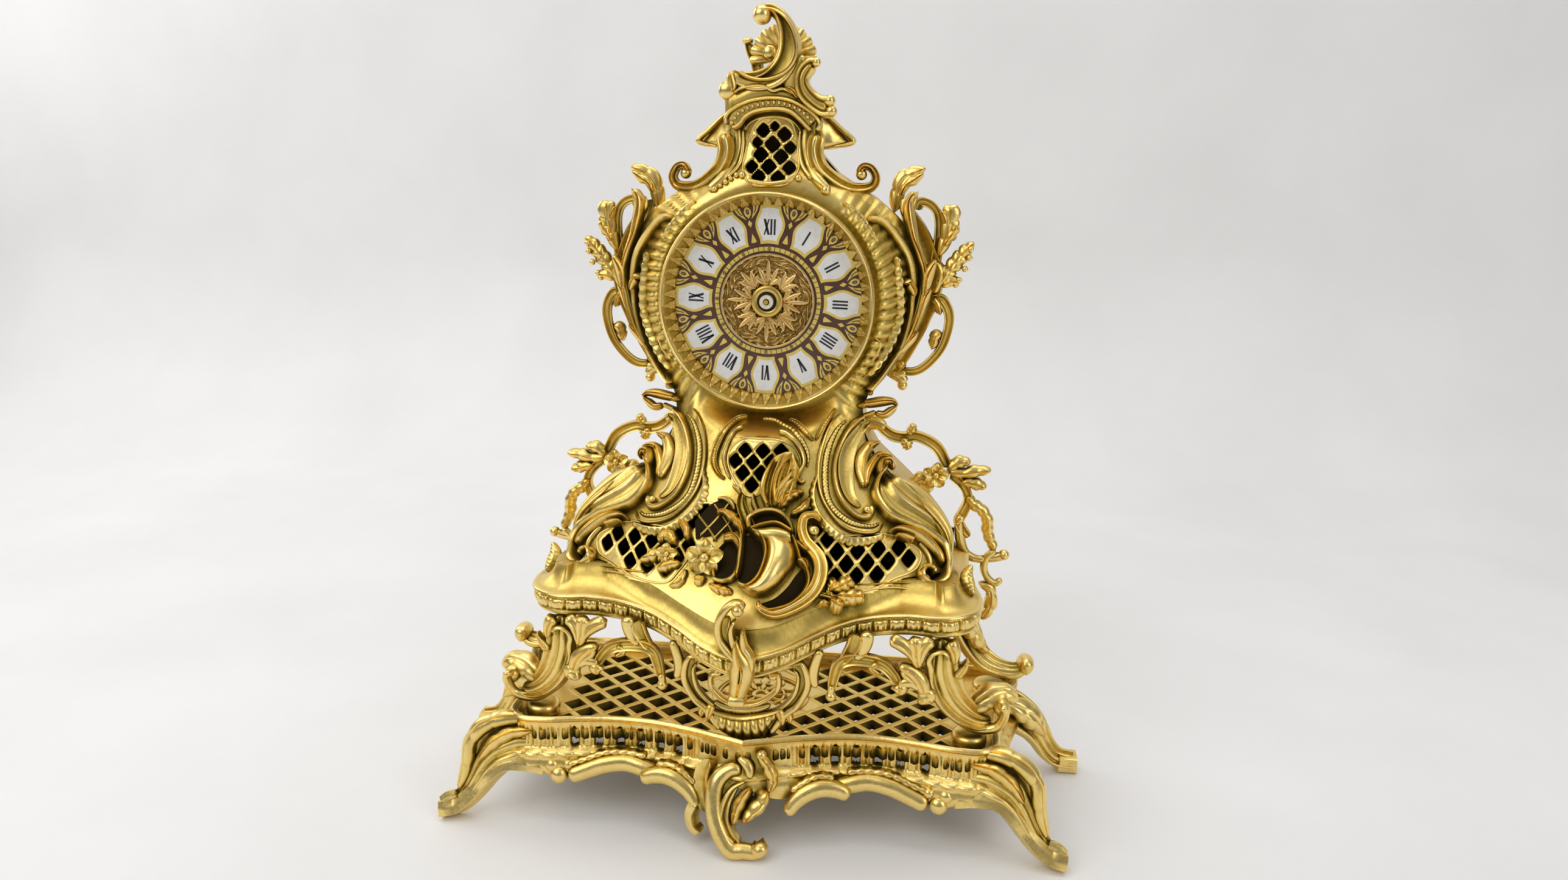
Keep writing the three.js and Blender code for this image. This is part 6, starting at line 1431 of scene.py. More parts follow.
def buildFrontApron():
    y = -87
    at = upright(y, back=2.4, rounded=True)
    side = [
        at([(43.5, 84.5), (44.5, 91), (47, 98), (53, 101), (67.5, 99.5), (73, 95), (76.5, 89.5)],
            [2.4, 3.2, 3.4, 3.4, 2.4], 2.8, "gutter"),
        ball(43, 79.6, 2.7, y=y),
        at([(43.5, 86), (43, 82), (43, 79)], [2.2, 1.9, 1.6], 2.2),
        at([(76.5, 89.5), (77, 86), (76, 83.5)], [3.4, 4.2, 1.4], 3, "leaf", lift=0.4),
        at([(66, 100), (63, 96.5), (67.5, 94)], [1.8, 2, 0.8], 2.4, "leaf"),
        at([(55, 113.5), (54, 109), (51.5, 104), (48.5, 99.5)], [4, 3.8, 3.2, 2.6], 2.6, "gutter"),
        at([(60.5, 115.5), (59.5, 108.5), (57.5, 104), (54.5, 101)], [3.4, 3.4, 2.8, 2], 2.4),
        at([(82.5, 114), (84, 109.5), (84.5, 104), (86, 98.5)], [4.2, 4.4, 3.6, 2.2], 3, "leaf"),
        at([(71.5, 112.5), (76.5, 110.5), (82, 106), (85, 100.5)], [3.4, 3.6, 3, 1.8], 2.8, "leaf"),
        at([(92, 113.5), (88.5, 110.5), (86.5, 105.5), (86, 100)], [3.4, 3.4, 2.8, 1.8], 2.8, "leaf"),
        at([(76, 99), (81, 97), (86.5, 92), (89.5, 84.5)], [2.2, 3.6, 3.8, 3.2], 3, "leaf"),
        at([(80.5, 99.5), (79.5, 95.5), (83, 92.5), (86.5, 89)], [2.4, 3.2, 3, 1.8], 2.6, "leaf"),
        at([(76, 89), (80, 90), (83.5, 90), (87, 87)], [2.4, 2.8, 2.8, 2.2], 2.4),
        at([(92, 85), (89, 82), (86, 80)], [3, 3.6, 1.4], 3, "leaf"),
        at([(90.5, 88), (90.5, 84), (93, 80)], [4.2, 4.6, 3.4], 2.8, "leaf"),
        at([(37.5, 104.5), (35, 97), (34, 90.5), (35.5, 84)], [2.4, 2.8, 2.8, 1.8], 2.4),
    ]
    parts = both(side)
    frame = [(-23, 96.5), (-28, 97), (-31.5, 85.5), (-26, 73.5), (-20.5, 68.5), (-13, 57.5)]
    inner = [(-24.5, 93.5), (-26.5, 90.5), (-26.5, 85.5), (-25, 80), (-21, 74.5), (-16, 70)]
    centre = [
        at(frame, [1.4, 1.9, 2, 2, 2.2, 1.8], 3.2),
        at(inner, [0.9, 1.4, 1.2], 2.4),
        at([(-26.5, 95), (-28.5, 90), (-29, 85), (-27.5, 80), (-23.5, 74), (-18.5, 69)], [2, 2.7, 2.8, 2.7, 1.6], 1,
            "hollow"),
        at([(-17, 71.5), (-18.5, 67), (-19, 62.5)], [2.4, 2.8, 1], 3, "leaf", lift=0.8),
        at([(-20.5, 70.5), (-22.5, 66.5), (-22.5, 63.5)], [1.8, 2.2, 0.8], 2.4, "leaf", lift=0.2),
    ]
    ring = [(x - 1.4, z) for x, z in [(-13, 89), (-16, 87), (-16, 81), (-8, 73), (6.5, 73), (17.5, 81.5), (18.5, 86.5),
        (17.5, 90), (15, 89)]]
    low = [(x - 1.4, z) for x, z in [(-15, 72), (-8, 69), (6.5, 69.5), (14, 72.5)]]
    fold = [(x - 1.4, z) for x, z in [(-16.5, 69.5), (-15.5, 68), (-8, 65.5), (0.8, 65), (18, 70.5), (19.5, 72.5)]]
    parts += both(centre)
    parts += [
        at(ring, [1.4, 1.6, 1.4], 2.8),
        ball(-14.2, 89, 2.1, y=y - 1),
        ball(14, 89, 2.1, y=y - 1),
        at(low, [1.4, 2.3, 2.3, 1.4], 1.4, ribs=(15, 0.6)),
        at(fold, [1.2, 1.7, 1.2], 3.4),
        panel([(x - 1.4, z) for x, z in [(-15.5, 67.5), (-8, 65), (0.8, 65), (18, 70)]],
            [(x - 1.4, z) for x, z in [(-16, 61.5), (-12, 56.5), (2.3, 51), (9, 53), (13.5, 60), (18, 67.5)]],
            [2.4, 4.5, 4.5, 2.4], y=y, ribs=9, deep=0.32, across=15, step=0.35, back=2.6, ends=(0.05, 0.05)),
    ]
    castPiece("frontApron", parts, "front_apron")


buildPads()
buildLegs()
buildFrontApron()


# Plinth: lattice plate, raised rim, fluted apron with a scalloped edge, and five feet


plinthPlan = [(0, -98), (12, -94), (28, -89), (48, -84.5), (68, -83.5), (88, -86), (106, -89.5), (120, -89), (127, -83),
    (129, -68), (132, -44), (138, -22), (143, -8), (142, 4), (134, 10), (110, 11.5), (60, 12), (0, 12)]
plinthLoop = plinthPlan + [(-x, y) for x, y in plinthPlan[-2:0:-1]] + [plinthPlan[0]]
plinthLoop = [(x, y, 0) for x, y in plinthLoop]


plinthLattice = {"pitchX": 18, "pitchY": 16.4, "middle": -35, "hole": 0.36, "medal": 27, "openReach": 101,
                 "lineReach": 108, "lineFront": -76, "lineRear": 2}


def latticeOpen(i, j):
    # a cell of the lattice is open when its middle lies inside the field and outside the round motif
    n = plinthLattice
    x, y = (i + j) * n["pitchX"] / 2, (i - j) * n["pitchY"] / 2
    field = insideOutline(np.array(smoothPath([(x, y) for x, y, _ in plinthLoop], 2)) * 0.84 + [0, -4.5], x,
        y + n["middle"])
    return field & (np.abs(x) < n["openReach"]) & (np.hypot(x, y) > n["medal"] + 2)


def buildPlinthTop():
    # plate on a grid that runs along both diagonals, so each opening has straight sides
    n = plinthLattice
    edge = n["hole"]
    stations = np.concatenate([[k - edge, k - 0.12, k + 0.12, k + edge, k + 0.42, k + 0.48, k + 0.52,
        k + 0.58] for k in range(-13, 14)])
    p, q = np.meshgrid(stations, stations, indexing="ij")
    x, y = (p + q) * n["pitchX"] / 2, n["middle"] + (p - q) * n["pitchY"] / 2
    cp, cq, cx, cy = (middleOf(grid) for grid in (p, q, x, y))
    rim = smoothPath([(px, py) for px, py, _ in plinthLoop], 2)
    i, j = np.round(cp), np.round(cq)
    hole = (np.abs(cp - i) < edge) & (np.abs(cq - j) < edge) & latticeOpen(i, j)
    keep = insideOutline(rim * 0.985, cx, cy) & ~hole
    line = np.maximum(np.exp(-((np.abs((p % 1) - 0.5)) / 0.03) ** 2), np.exp(-((np.abs((q % 1) - 0.5)) / 0.03) ** 2))
    line = line * (np.hypot(x, y - n["middle"]) > n["medal"])
    line = line * (np.abs(x) < n["lineReach"]) * (y > n["lineFront"]) * (y < n["lineRear"])
    top = np.stack([x, y, plateTop - 0.45 * line], -1)
    under = np.stack([x, y, np.full_like(x, plateTop - 5.5)], -1)
    rimOfHole = (np.abs(np.abs(p - np.round(p)) - edge) < 0.02) & (np.abs(q - np.round(q)) < edge + 0.02)
    rimOfHole |= (np.abs(np.abs(q - np.round(q)) - edge) < 0.02) & (np.abs(p - np.round(p)) < edge + 0.02)
    # painted shadow: the rims of the open holes, the under face and the hole walls are near black; the engraved lines
    # are darker
    holeShadeAndLineRelief = np.where(rimOfHole & latticeOpen(np.round(p), np.round(q)), -0.9, 0.5 - 0.5 * line)
    parts = [sheetPart(top, under, keep, holeShadeAndLineRelief, inside=innerShadowRelief)]
    rimSection = [(-4.6, 47.2), (-4.9, 50.4), (-4.6, 54), (-4.2, 55.2), (-3.6, 55.6), (-3.2, 55.2), (-2.9, 55.6),
        (-2.4, 56.7), (-1.5, 57), (-0.7, 56.5), (-0.2, 55.4), (-0.6, 54.4), (-1.6, 53.4), (-3.2, 52.4), (-3.4, 47.2)]
    loopRim = planSweep(plinthLoop, rimSection, 1.6, closed=True)
    parts.append(loopRim)
    middle = n["middle"]
    for radius, half in ((26, 1.3), (23.4, 0.7), (13, 1), (4, 1.6)):
        a = np.linspace(0, 2 * np.pi, 120)
        ring = np.stack([radius * np.cos(a), middle + radius * 0.92 * np.sin(a), np.full(120, plateTop)], 1)
        parts.append(scroll((ring, np.tile([0, 0, 1], (120, 1))), half, 1.2, back=0.4, across=9))
    for k in range(12):
        a = 2 * np.pi * k / 12
        c, s = np.cos(a), np.sin(a)
        pts = [(r * c, middle + 0.92 * r * s, plateTop) for r in (5, 9.5, 13, 18, 22)]
        parts.append(strip(pts, [(0, 0, 1)], [0.6, 1.8, 1.4, 3, 0.8], 1.3, "leaf", back=0.4, across=9))
    castPiece("plinthTop", parts, "plinth_top", sharp=40)


edgeRows = [(0, 33), (20, 25), (30, 31), (50, 30), (60, 36), (74, 37), (88, 31), (97, 28), (104, 32), (118, 31),
    (135, 30), (160, 31), (200, 32), (240, 32)]
nicheRows = [37.5, 48, 58.5, 69.5, 80.5, 93]
apronTop, lumpZ, nicheFoot, crownFoot = 54.2, 37.8, 39.2, 46.0
frontReach = 178


def buildPlinthApron():
    # wall of bands under the rim: fine flutes with arched niches, a row of small lumps, then plain down to its edge
    loop = smoothPath(plinthLoop, 0.3)[:-1]
    length = np.concatenate([[0], np.cumsum(np.linalg.norm(np.diff(loop[:, :2], axis=0), axis=1))])
    total = length[-1] + np.linalg.norm(loop[0, :2] - loop[-1, :2])
    along = np.roll(loop[:, :2], -1, 0) - np.roll(loop[:, :2], 1, 0)
    along /= np.linalg.norm(along, axis=1, keepdims=True)
    # stations start and end at the middle of the back, and lie closer together on the front and the sides
    half = total / 2
    front = np.arange(0, frontReach, 0.62)
    rest = np.linspace(frontReach, half, int((half - frontReach) / 3) + 2)
    rows = np.concatenate([-np.concatenate([front[1:], rest])[::-1], front, rest])
    at = np.mod(rows, total)
    path = np.stack([np.interp(at, length, loop[:, k], period=total) for k in (0, 1)], 1)
    along = np.stack([np.interp(at, length, along[:, k], period=total) for k in (0, 1)], 1)
    out = np.stack([along[:, 1], -along[:, 0]], 1)
    away = np.abs(rows)[:, None]
    low = tableValue(edgeRows, 1, np.minimum(away, 239))
    t = np.linspace(0, 1, 40)[None, :]
    z = apronTop + (low - apronTop) * t**1.05
    # outward distance: hollow under the rim, a swelling with the lumps, and a flare to the edge
    hollow = np.sin(np.pi * np.clip((apronTop - z) / 15.5, 0, 1))
    lumpBand = np.exp(-((z - lumpZ) / 1.7) ** 2)
    o = -0.2 - 1.5 * hollow + 3.0 * smoothStep(40.5 - z, 0, 3.5) + 1.2 * smoothStep(36 - z, 0, 5)
    plain = 1 - smoothStep(away, 22, 28)
    flute = np.abs(np.sin(np.pi * away / 2.1 + 0.8 * np.sin(away / 5.3))) ** 0.7
    broad = np.abs(np.sin(np.pi * away / 5.25)) ** 0.6
    band = smoothStep(53.0 - z, 0, 1.6) * smoothStep(z, 39.4, 41.5) * (1 - plain)
    spacing = np.min(np.abs(away[..., None] - np.array(nicheRows)), -1)
    crown = np.sqrt(np.clip(1 - (np.clip(z - crownFoot, 0, 9) / 5.6) ** 2, 0, 1))
    wide = 2.6 * crown**1.4
    niche = smoothStep(wide - spacing, 0, 1.4) * smoothStep(z, nicheFoot, 41.4)
    o = o + band * (1.0 * flute + 0.8 * broad - 0.9) * (1 - niche) - 2.2 * niche
    lump = np.abs(np.sin(np.pi * away / 8.6 + 0.5)) ** 0.5
    o = o + lumpBand * (1.5 * lump - 0.2) * (1 - 0.6 * plain)
    # painted shade: the niches are set near black inside and the apron's inner face darker, as the shade there
    level = 0.95 - 0.55 * band * (1 - flute) * (1 - niche) - 1.3 * niche - 0.6 * lumpBand * (1 - lump) - 0.1 * hollow
    outer = np.stack([path[:, None, 0] + out[:, None, 0] * o, path[:, None, 1] + out[:, None, 1] * o, z], -1)
    o2 = np.minimum(o, -0.6) - 2.4
    inner = np.stack([path[:, None, 0] + out[:, None, 0] * o2, path[:, None, 1] + out[:, None, 1] * o2, z], -1)
    cellZ, cellAside = middleOf(z), middleOf(spacing + 0 * z)
    opening = (cellAside < 1.9) & (cellZ > 40.4) & (cellZ < 45.6 - 0.6 * cellAside**2)
    parts = [sheetPart(outer, inner, ~opening, np.clip(level, -1.5, 1), inside=-0.5)]
    face = [(-0.1, -1, 0.12)]
    rollA = [(45.5, -89.5, 30), (54, -89, 32.5), (63, -88, 34), (73, -89, 33), (83, -90, 29.5), (93, -91.5, 25.5)]
    rollB = [(54, -92, 28), (47.5, -92.5, 31), (39, -94, 32), (31.5, -95.5, 29), (26, -97, 24), (23, -98.5, 18.5)]
    rollC = [(98, -90.5, 26.5), (105, -89.5, 29.5), (112, -89, 30.5), (118, -90, 30)]
    side = [
        strip(rollA, face, [4.4, 4.8, 4.7, 4.4], 3.4, back=5, rounded=True),
        strip(rollB, face, [4, 4.8, 4.5, 3.4], 3.6, back=5, rounded=True),
        strip(rollC, face, [3.6, 4.4, 4.6, 4.4], 3.2, back=5, rounded=True),
        strip([(52, -88, 38.5), (62, -87, 39.5), (74, -88, 39), (85, -89.5, 35), (93, -90.5, 32)], face, 1.7, 1.6,
            lobes=(9, 0.5), veins=0.5, back=3),
        strip([(46, -91.5, 37), (38, -93, 38), (30.5, -95, 35), (24.5, -96.5, 30.5)], face, 1.6, 1.6, lobes=(6, 0.45),
            veins=0.5, back=3),
        ball(98.5, 26.2, 5, y=-91, depth=4.4),
        ball(102, 31, 4.2, y=-90, depth=4),
        ball(93.5, 32, 3, y=-90, depth=3),
    ]
    parts += both(side)
    low = [(-24, -98.5, 22), (-26.5, -99.5, 15), (-25, -101, 9), (-21, -102.5, 6.5)]
    parts.append(strip(low, [(-0.5, -1, 0.1)], [3, 2.6, 2.4, 1.6], 2.4, "flat", back=4))
    castPiece("plinthApron", parts, "plinth_apron")


def footStrip(points, widths, height, up, profile="flat", **more):
    return strip(points, up, widths, height, profile, square=True, **more)


def buildPlinthFeet():
    # front: a broad folded leaf, a smooth band along its lower edge and a square end that stands on the table
    face = [(-0.1, -1, 0.3), (0, -1, 0.45), (0.2, -1, 0.5), (0.1, -1, 0.3)]
    lower = [(107, -88, 28), (117.5, -90, 30.5), (127.5, -91.5, 30), (135, -93.5, 24.5), (141.5, -94.5, 17),
        (148, -96, 10.5), (153.5, -97, 6.5), (158, -98, 5.5), (161.5, -98, 5)]
    broad = [(113, -86, 43), (124, -88, 43), (133.5, -90.5, 38.5), (140, -92.5, 30.5), (144.5, -94.5, 22),
        (149, -95.5, 14), (154, -97, 8.5), (158.5, -97.5, 6)]
    parts = [
        footStrip(broad, [10.5, 10.8, 7.3, 5, 4.4], [2.4, 3.2, 2.3, 1.6], face, "fluted", back=[6, 5.9, 4.7, 4.2],
            across=37, rounded=True),
        footStrip(lower, [4, 4.2, 3.9, 3.9, 4.4, 4.6], [4.4, 4.5, 4, 4.2], face, "flat", back=[7, 7.1, 5.9, 5.1, 5, 5]),
        footStrip([(119, -84, 53), (130, -86.5, 53.5), (140, -89, 49.5), (146, -91, 42), (147.5, -93, 33.5),
            (149, -94.5, 25.5), (151.5, -96, 17.5)], [3.6, 4.7, 4.7, 4, 3.4, 1.6], [3, 3.8, 3.2, 2],
            [(0, -0.8, 1), (0.5, -1, 0.6), (0.6, -1, 0.3), (0.3, -1, 0.2)], "leaf", back=[5, 6.1, 5, 4.2, 3.6],
            lobes=(4, 0.16), veins=0.25, lean=0.5, rounded=True),
        footStrip([(114, -86, 47), (125, -89, 46.5), (133.5, -91.5, 41.5), (139, -93.5, 33.5)], [2.2, 3.8, 3.8, 1.2],
            4.6, [(0.1, -1, 0.6)], "leaf", back=4, lobes=(4, 0.22), veins=0.3, lean=0.5),
        footStrip([(152.5, -97, 13.5), (157, -97, 12), (160.5, -97.5, 9.5)], [2, 2.6, 2.2], 2.8, [(0.2, -1, 0.4)],
            back=3.4, rounded=True),
    ]
    castPair("plinthFootFront", parts, "plinth_foot_front")
    rear = [(124, -12, 42), (138, -10.5, 39.5), (150, -9, 31.5), (156, -8, 23.5), (161, -7, 15), (167, -6, 9),
        (176, -5, 6.5)]
    up = [(0.1, -0.8, 1), (0.6, -1, 0.8), (0.8, -1, 0.3), (0.3, -1, 0.6)]
    parts = [footStrip(rear, [12, 12.4, 10.7, 7.9, 6.2, 5.4], [4.4, 4.7, 4.2, 3.7, 3.4], up, "fluted",
        back=[6, 6.3, 5.2, 4.4, 4.2], across=33, rounded=True)]
    parts.append(footStrip([(168, -6, 5.5), (173.5, -5, 5), (179, -5, 5)], [4.8, 4.9, 4.8], 4.6, [(0, -1, 0)], back=6))
    parts.append(footStrip([(128, -19, 47), (141, -18.5, 45), (152, -16.5, 37), (158, -14.5, 27)], [3, 6.4, 6, 1.4], 3,
        [(0.3, -1, 0.7)], "leaf", back=4, lobes=(4, 0.25), veins=0.35, lean=0.5))
    castPair("plinthFootRear", parts, "plinth_foot_rear")
    # centre: a broad rolled rim that turns up at its end, with a folded leaf beside it
    rim = [(-0.3, -97.5, 41.1), (-5.3, -97.5, 41.1), (-10.8, -99, 37.6), (-13.3, -101, 32.6), (-12.3, -106.5, 18.1),
        (-3.5, -111.5, 4.8), (2.8, -111.5, 4.8), (9.5, -111.5, 4.8), (11.5, -110.5, 7.6)]
    parts = [
        strip(rim, [(-0.4, -1, 0.2), (-0.3, -1, 0.3), (0, -1, 0.6), (0, -1, 0.3)], [3, 4.3, 4.4, 4.6, 4.6, 4.3, 3.4],
            [3, 4, 4, 3.7, 3], back=5.5, rounded=True),
        strip([(6.5, -111.5, 5), (11, -111, 6.5), (12, -111, 10)], [(0, -1, 0.2)], [3.8, 4.6, 3.4], [3.6, 4.4, 3.2],
            back=4, rounded=True),
        strip([(-1.5, -96, 40), (-6.5, -99.5, 33.5), (-10, -103, 25.5), (-10, -106.5, 17.5), (-5.5, -109.5, 10),
            (0.5, -110.5, 6)], [(0, -1, 0.3)], [4, 5.3, 5.4, 4.8, 3], 2.4, "hollow", back=6),
        strip([(2.3, -99, 36.5), (-4.5, -100.5, 32.5), (-8.5, -103, 25.5), (-9.5, -106, 18), (-6.5, -108.5, 12),
            (-1.5, -110, 8)], [(0, -1, 0.3)], [1, 1.8, 1.8, 1], 3.4, back=3, rounded=True),
        strip([(5, -100, 33.5), (0.5, -102.5, 27.5), (-1.6, -104.5, 21.5), (-2, -107, 16)], [(-0.2, -1, 0.3)],
            [1.8, 3.4, 3.2, 1.4], 4.6, "leaf", back=4, lobes=(3, 0.2), veins=0.3),
        strip([(12.5, -100.5, 33), (10.5, -102.5, 27), (5.5, -104.5, 22), (1.1, -106, 17.5)], [(0.5, -1, 0.4)],
            [2, 4, 3.8, 1.2], 4, "leaf", back=5, lobes=(3, 0.25), veins=0.35),
        strip([(7.5, -95, 49), (13, -97, 44), (15.5, -98, 37), (13.5, -100, 31)], [(0.3, -1, 0.4)],
            [1.6, 3.4, 3.4, 1.2], 3.4, "leaf", back=5, lobes=(3, 0.25), veins=0.4),
        strip([(-2.4, -94, 46.5), (3, -96.5, 43), (4.5, -98, 37)], [(0, -1, 0.4)], [2, 3.2, 1.6], 3.4, back=5),
        strip([(-17, -95, 44), (-20.5, -96, 36), (-20, -98, 27), (-18, -101, 18)], [(-0.6, -1, 0.3)],
            [2.4, 4.6, 4.6, 1.8], 2.2, "hollow", back=5),
        ball(9.4, 49, 2.8, y=-95.5, depth=2.8),
    ]
    castPiece("plinthFootCentre", parts, "plinth_foot_centre")


buildPlinthTop()
buildPlinthApron()
buildPlinthFeet()


# Crest, roof cap and the shell finial at the rear


def buildCrest():
    # a crescent with a rim along its outer edge, an S of two ridges, a band under them and the beaded arch
    y = -8.5
    at = upright(y)
    body = dict(back=3, rounded=True)
    crescent = [(-20, 382.5), (-16.5, 380), (-11, 378.5), (-5, 379), (1.2, 381.5), (6, 386), (8.5, 392), (8.5, 397.5),
        (7, 403.5), (4, 408.5), (-0.1, 411.5), (-4.5, 412)]
    archMid = [(-20.5, 356.5), (-17, 361.5), (-11, 365), (2.7, 367.5), (10, 366), (17, 362.5), (22, 357)]
    outerRidge = [(23, 387.5), (19.5, 387.5), (15.5, 384.5), (13.5, 379.5), (14, 373.5), (16.5, 369), (26, 362),
        (31, 362)]
    innerRidge = [(22, 384.5), (18.5, 377.5), (25, 370), (30, 369)]
    parts = [
        at(crescent, ([2.2, 3.8, 4.7, 5.1, 5.2, 4.3, 2.7, 2.4], [2.6, 4.7, 6.3, 7.5, 7.6, 7.1, 6.3, 4.8, 3.6, 2.8]),
            [2.4, 3.1, 3.6, 3.1, 3], "rimRight", **body),
        at([(x + dx, z) for (x, z), dx in zip(crescent, (4, 4.4, 5.2, 5.6, 5.8, 5.6, 5, 4.4, 3.6, 2.6, 1.4, 0))],
            [1.1, 1.6, 1], 5.2),
        at([(x + dx, z) for (x, z), dx in zip(crescent[3:], (-3.4, -3.6, -3.6, -3.2, -2.6, -1.8, -1, 0, 0))],
            [0.8, 1.2, 0.9], 4.4),
        at([(16.5, 390), (13, 383.5), (11.5, 376.5), (13, 370)], [2.6, 5, 5.2, 4], 2.4, back=3),
        ball(-4.4, 409.4, 4.9, y=y - 1, depth=5.2),
        at([(-20.5, 382.5), (-20, 379), (-19, 375), (-19.5, 372.5)], [2.2, 2.8, 2.6, 1.2], 3.6, "leaf", **body),
        ball(-22.4, 373.6, 5, y=y + 1.2, depth=3.4),
        panel(outerRidge, innerRidge, [3, 3.4, 3], y=y, deep=0, dome=0.5, back=3, level=0.3, ends=(0.1, 0.1)),
        at(outerRidge, [1.6, 1.5, 1.6, 2], 5, **body),
        at(innerRidge, [1.6, 1.3, 1.9], 4.6, **body),
        ball(31.2, 363.2, 3, y=y - 1.4),
        ball(30.2, 368.3, 3, y=y - 1.4),
        ball(23.2, 386.6, 2.4, y=y - 1.8),
        at([(7.5, 374.5), (11, 373.5), (13.5, 370.5), (15, 369)], [1.2, 2, 2, 1], 4.4, "leaf", lobes=(3, 0.25),
            veins=0.3, **body),
        panel([(-24, 371), (-17, 373.5), (-9, 376), (-2, 376), (5, 374.5), (12, 372), (20, 367), (25, 361)],
            [(-23.5, 360), (-18, 364), (-11, 367), (-2, 368.5), (6, 368.5), (12, 367), (18, 364), (24, 359)],
            [1.6, 2.5, 2.6, 2.5, 1.6], y=y + 1, dome=0.35, back=3.2, level=0.2, deep=0, ends=(0.06, 0.06)),
        at([(-19, 372), (-14.5, 374.5), (-3.5, 375.5), (1.5, 373), (6.5, 374), (12.5, 371)], [1, 1.5, 1.5, 1], 3.4,
            lobes=(11, 0.4), **body),
        at([(-20, 381), (-14, 377.5), (-6, 376.5), (2, 377.5), (9, 379)], [2, 2.6, 2.8, 2.4], 2.2, **body),
        at([(-22.5, 356.5), (-22.5, 361), (-11, 368), (8, 369), (23, 361), (25.5, 356.5), (23.5, 353.5)],
            [1.4, 1.5, 1.5], 4.4, **body),
        at([(-20, 355), (-16.5, 356.5), (-13, 360.5), (-6.5, 363.5), (9.5, 363.5), (21.5, 353.5)], [1.5, 1.6, 1.5], 4.2,
            **body),
        at(archMid, 2.8, 2.2, "flat", back=3),
    ]
    beadLine = inPlane(archMid, y - 2.4)
    parts.append(beads(beadLine, 2.7, 1.25, 1.1, 1))
    castPiece("crestCast", parts, "crest")


roofNumbers = {
    "foot": neckZ - 0.5, "height": 31.8, "tip": 42, "front": 4.4, "back": 19,
    "rows": [(0, 0.72), (0.05, 0.9), (0.1, 1), (0.16, 0.965), (0.3, 0.84), (0.52, 0.66), (0.76, 0.4), (1, 0.18)]}


def buildRoof():
    # reach falls with height as in the rows, and the section is flat in the middle and rounds off to each tip
    r = roofNumbers
    share = np.linspace(0, 1, 40)[:, None]
    reach = r["tip"] * tableValue(r["rows"], 1, share)
    rear = r["back"] - 8 * share
    middle = (r["front"] + rear) / 2
    shoulder = np.minimum(reach * 0.72, 23)
    q = np.linspace(-1, 1, 41)[None, :]
    x = reach * np.sign(q) * np.abs(q) ** 0.8
    out = np.clip((np.abs(x) - shoulder) / (reach - shoulder), 0, 1) ** 1.5
    z = r["foot"] + r["height"] * share + 0 * q
    scallop = 0.5 * np.abs(np.sin(np.pi * x / 5.5)) * smoothStep(np.abs(x), 16, 24)
    front = np.stack([x, r["front"] + (middle - r["front"]) * out - scallop * (1 - out), z], -1)
    back = np.stack([x, rear + (middle - rear) * out, z], -1)[:, ::-1]
    # painted shadow: the roof's front face behind the neck window is near black, standing for the dark inside the neck
    level = 0.8 - 2.8 * (np.abs(x) < 13) * (z < neckZ + 18)
    rings = np.concatenate([front, back[:, 1:-1]], 1)
    parts = [ringGrid(rings, np.concatenate([level, np.full_like(level[:, 1:-1], 0.7)], 1))]
    edge = [(30.5, 346.4), (38, 347.6), (41.6, 349.2), (40, 351.2), (35, 355.3), (27.4, 362), (20, 367)]
    rim = inSpace([(x, 8.6, z) for x, z in edge], [(0, -1, 0)])
    parts += both([scroll(rim, [0.6, 1.3, 1.5, 1.4, 1.4, 1.2, 0.6], 2.6, back=1)])
    castPiece("roofCap", parts, "roof_cap")


def buildFinial():
    # a ribbed shell behind the crescent, its hinge disc, and a long leaf that rises on its left
    y, foot = 8.5, neckZ + 31.6
    fan = np.linspace(-0.5, np.pi + 0.2, 170)[:, None]
    out = np.linspace(0, 1, 26)[None, :]
    rib = np.abs(np.sin((fan + 0.5) / (np.pi + 0.7) * np.pi * 12)) ** 0.7
    radius = 5 + (11.6 + 0.9 * rib) * out
    x = 4.3 + radius * np.cos(fan)
    z = foot + 12.8 + radius * np.sin(fan)
    bulge = 1.8 * np.sin(np.pi * out * 0.85) + 1.3 * rib * out
    grid = np.stack([x, y - 0.6 - bulge, z], -1)
    back = np.stack([x, y + 0.6 + bulge, z], -1)
    parts = [sheetPart(grid, back, np.ones((169, 25), bool), 0.15 + 0.85 * rib * np.ones_like(out))]
    parts.append(ball(4.3, foot + 12.8, 6.6, y=y, depth=4))
    parts.append(ball(-2.6, foot + 16, 3.6, y=y - 3.6, depth=1.8))
    at = upright(y)
    leaf = [(-9, 383.5), (-10, 388.5), (-12, 393), (-15, 399)]
    parts.append(at(leaf, [3.2, 3.1, 3, 1.4], 2.8, "ridges", back=2.6, rounded=True))
    parts.append(at([(leaf[-1][0] - 2.4, leaf[-1][1] + 0.6), leaf[-1], (leaf[-1][0] + 3, leaf[-1][1] + 0.8)],
        [1.2, 2.2, 1.2], 3, back=2.6, rounded=True))
    parts.append(at([(0, foot), (0, foot + 8)], [5, 4], 2.6, back=2.6, rounded=True))
    castPiece("rearFinial", parts, "rear_finial")


buildCrest()
buildRoof()
buildFinial()


# Wings beside the dial and garlands beside the waist


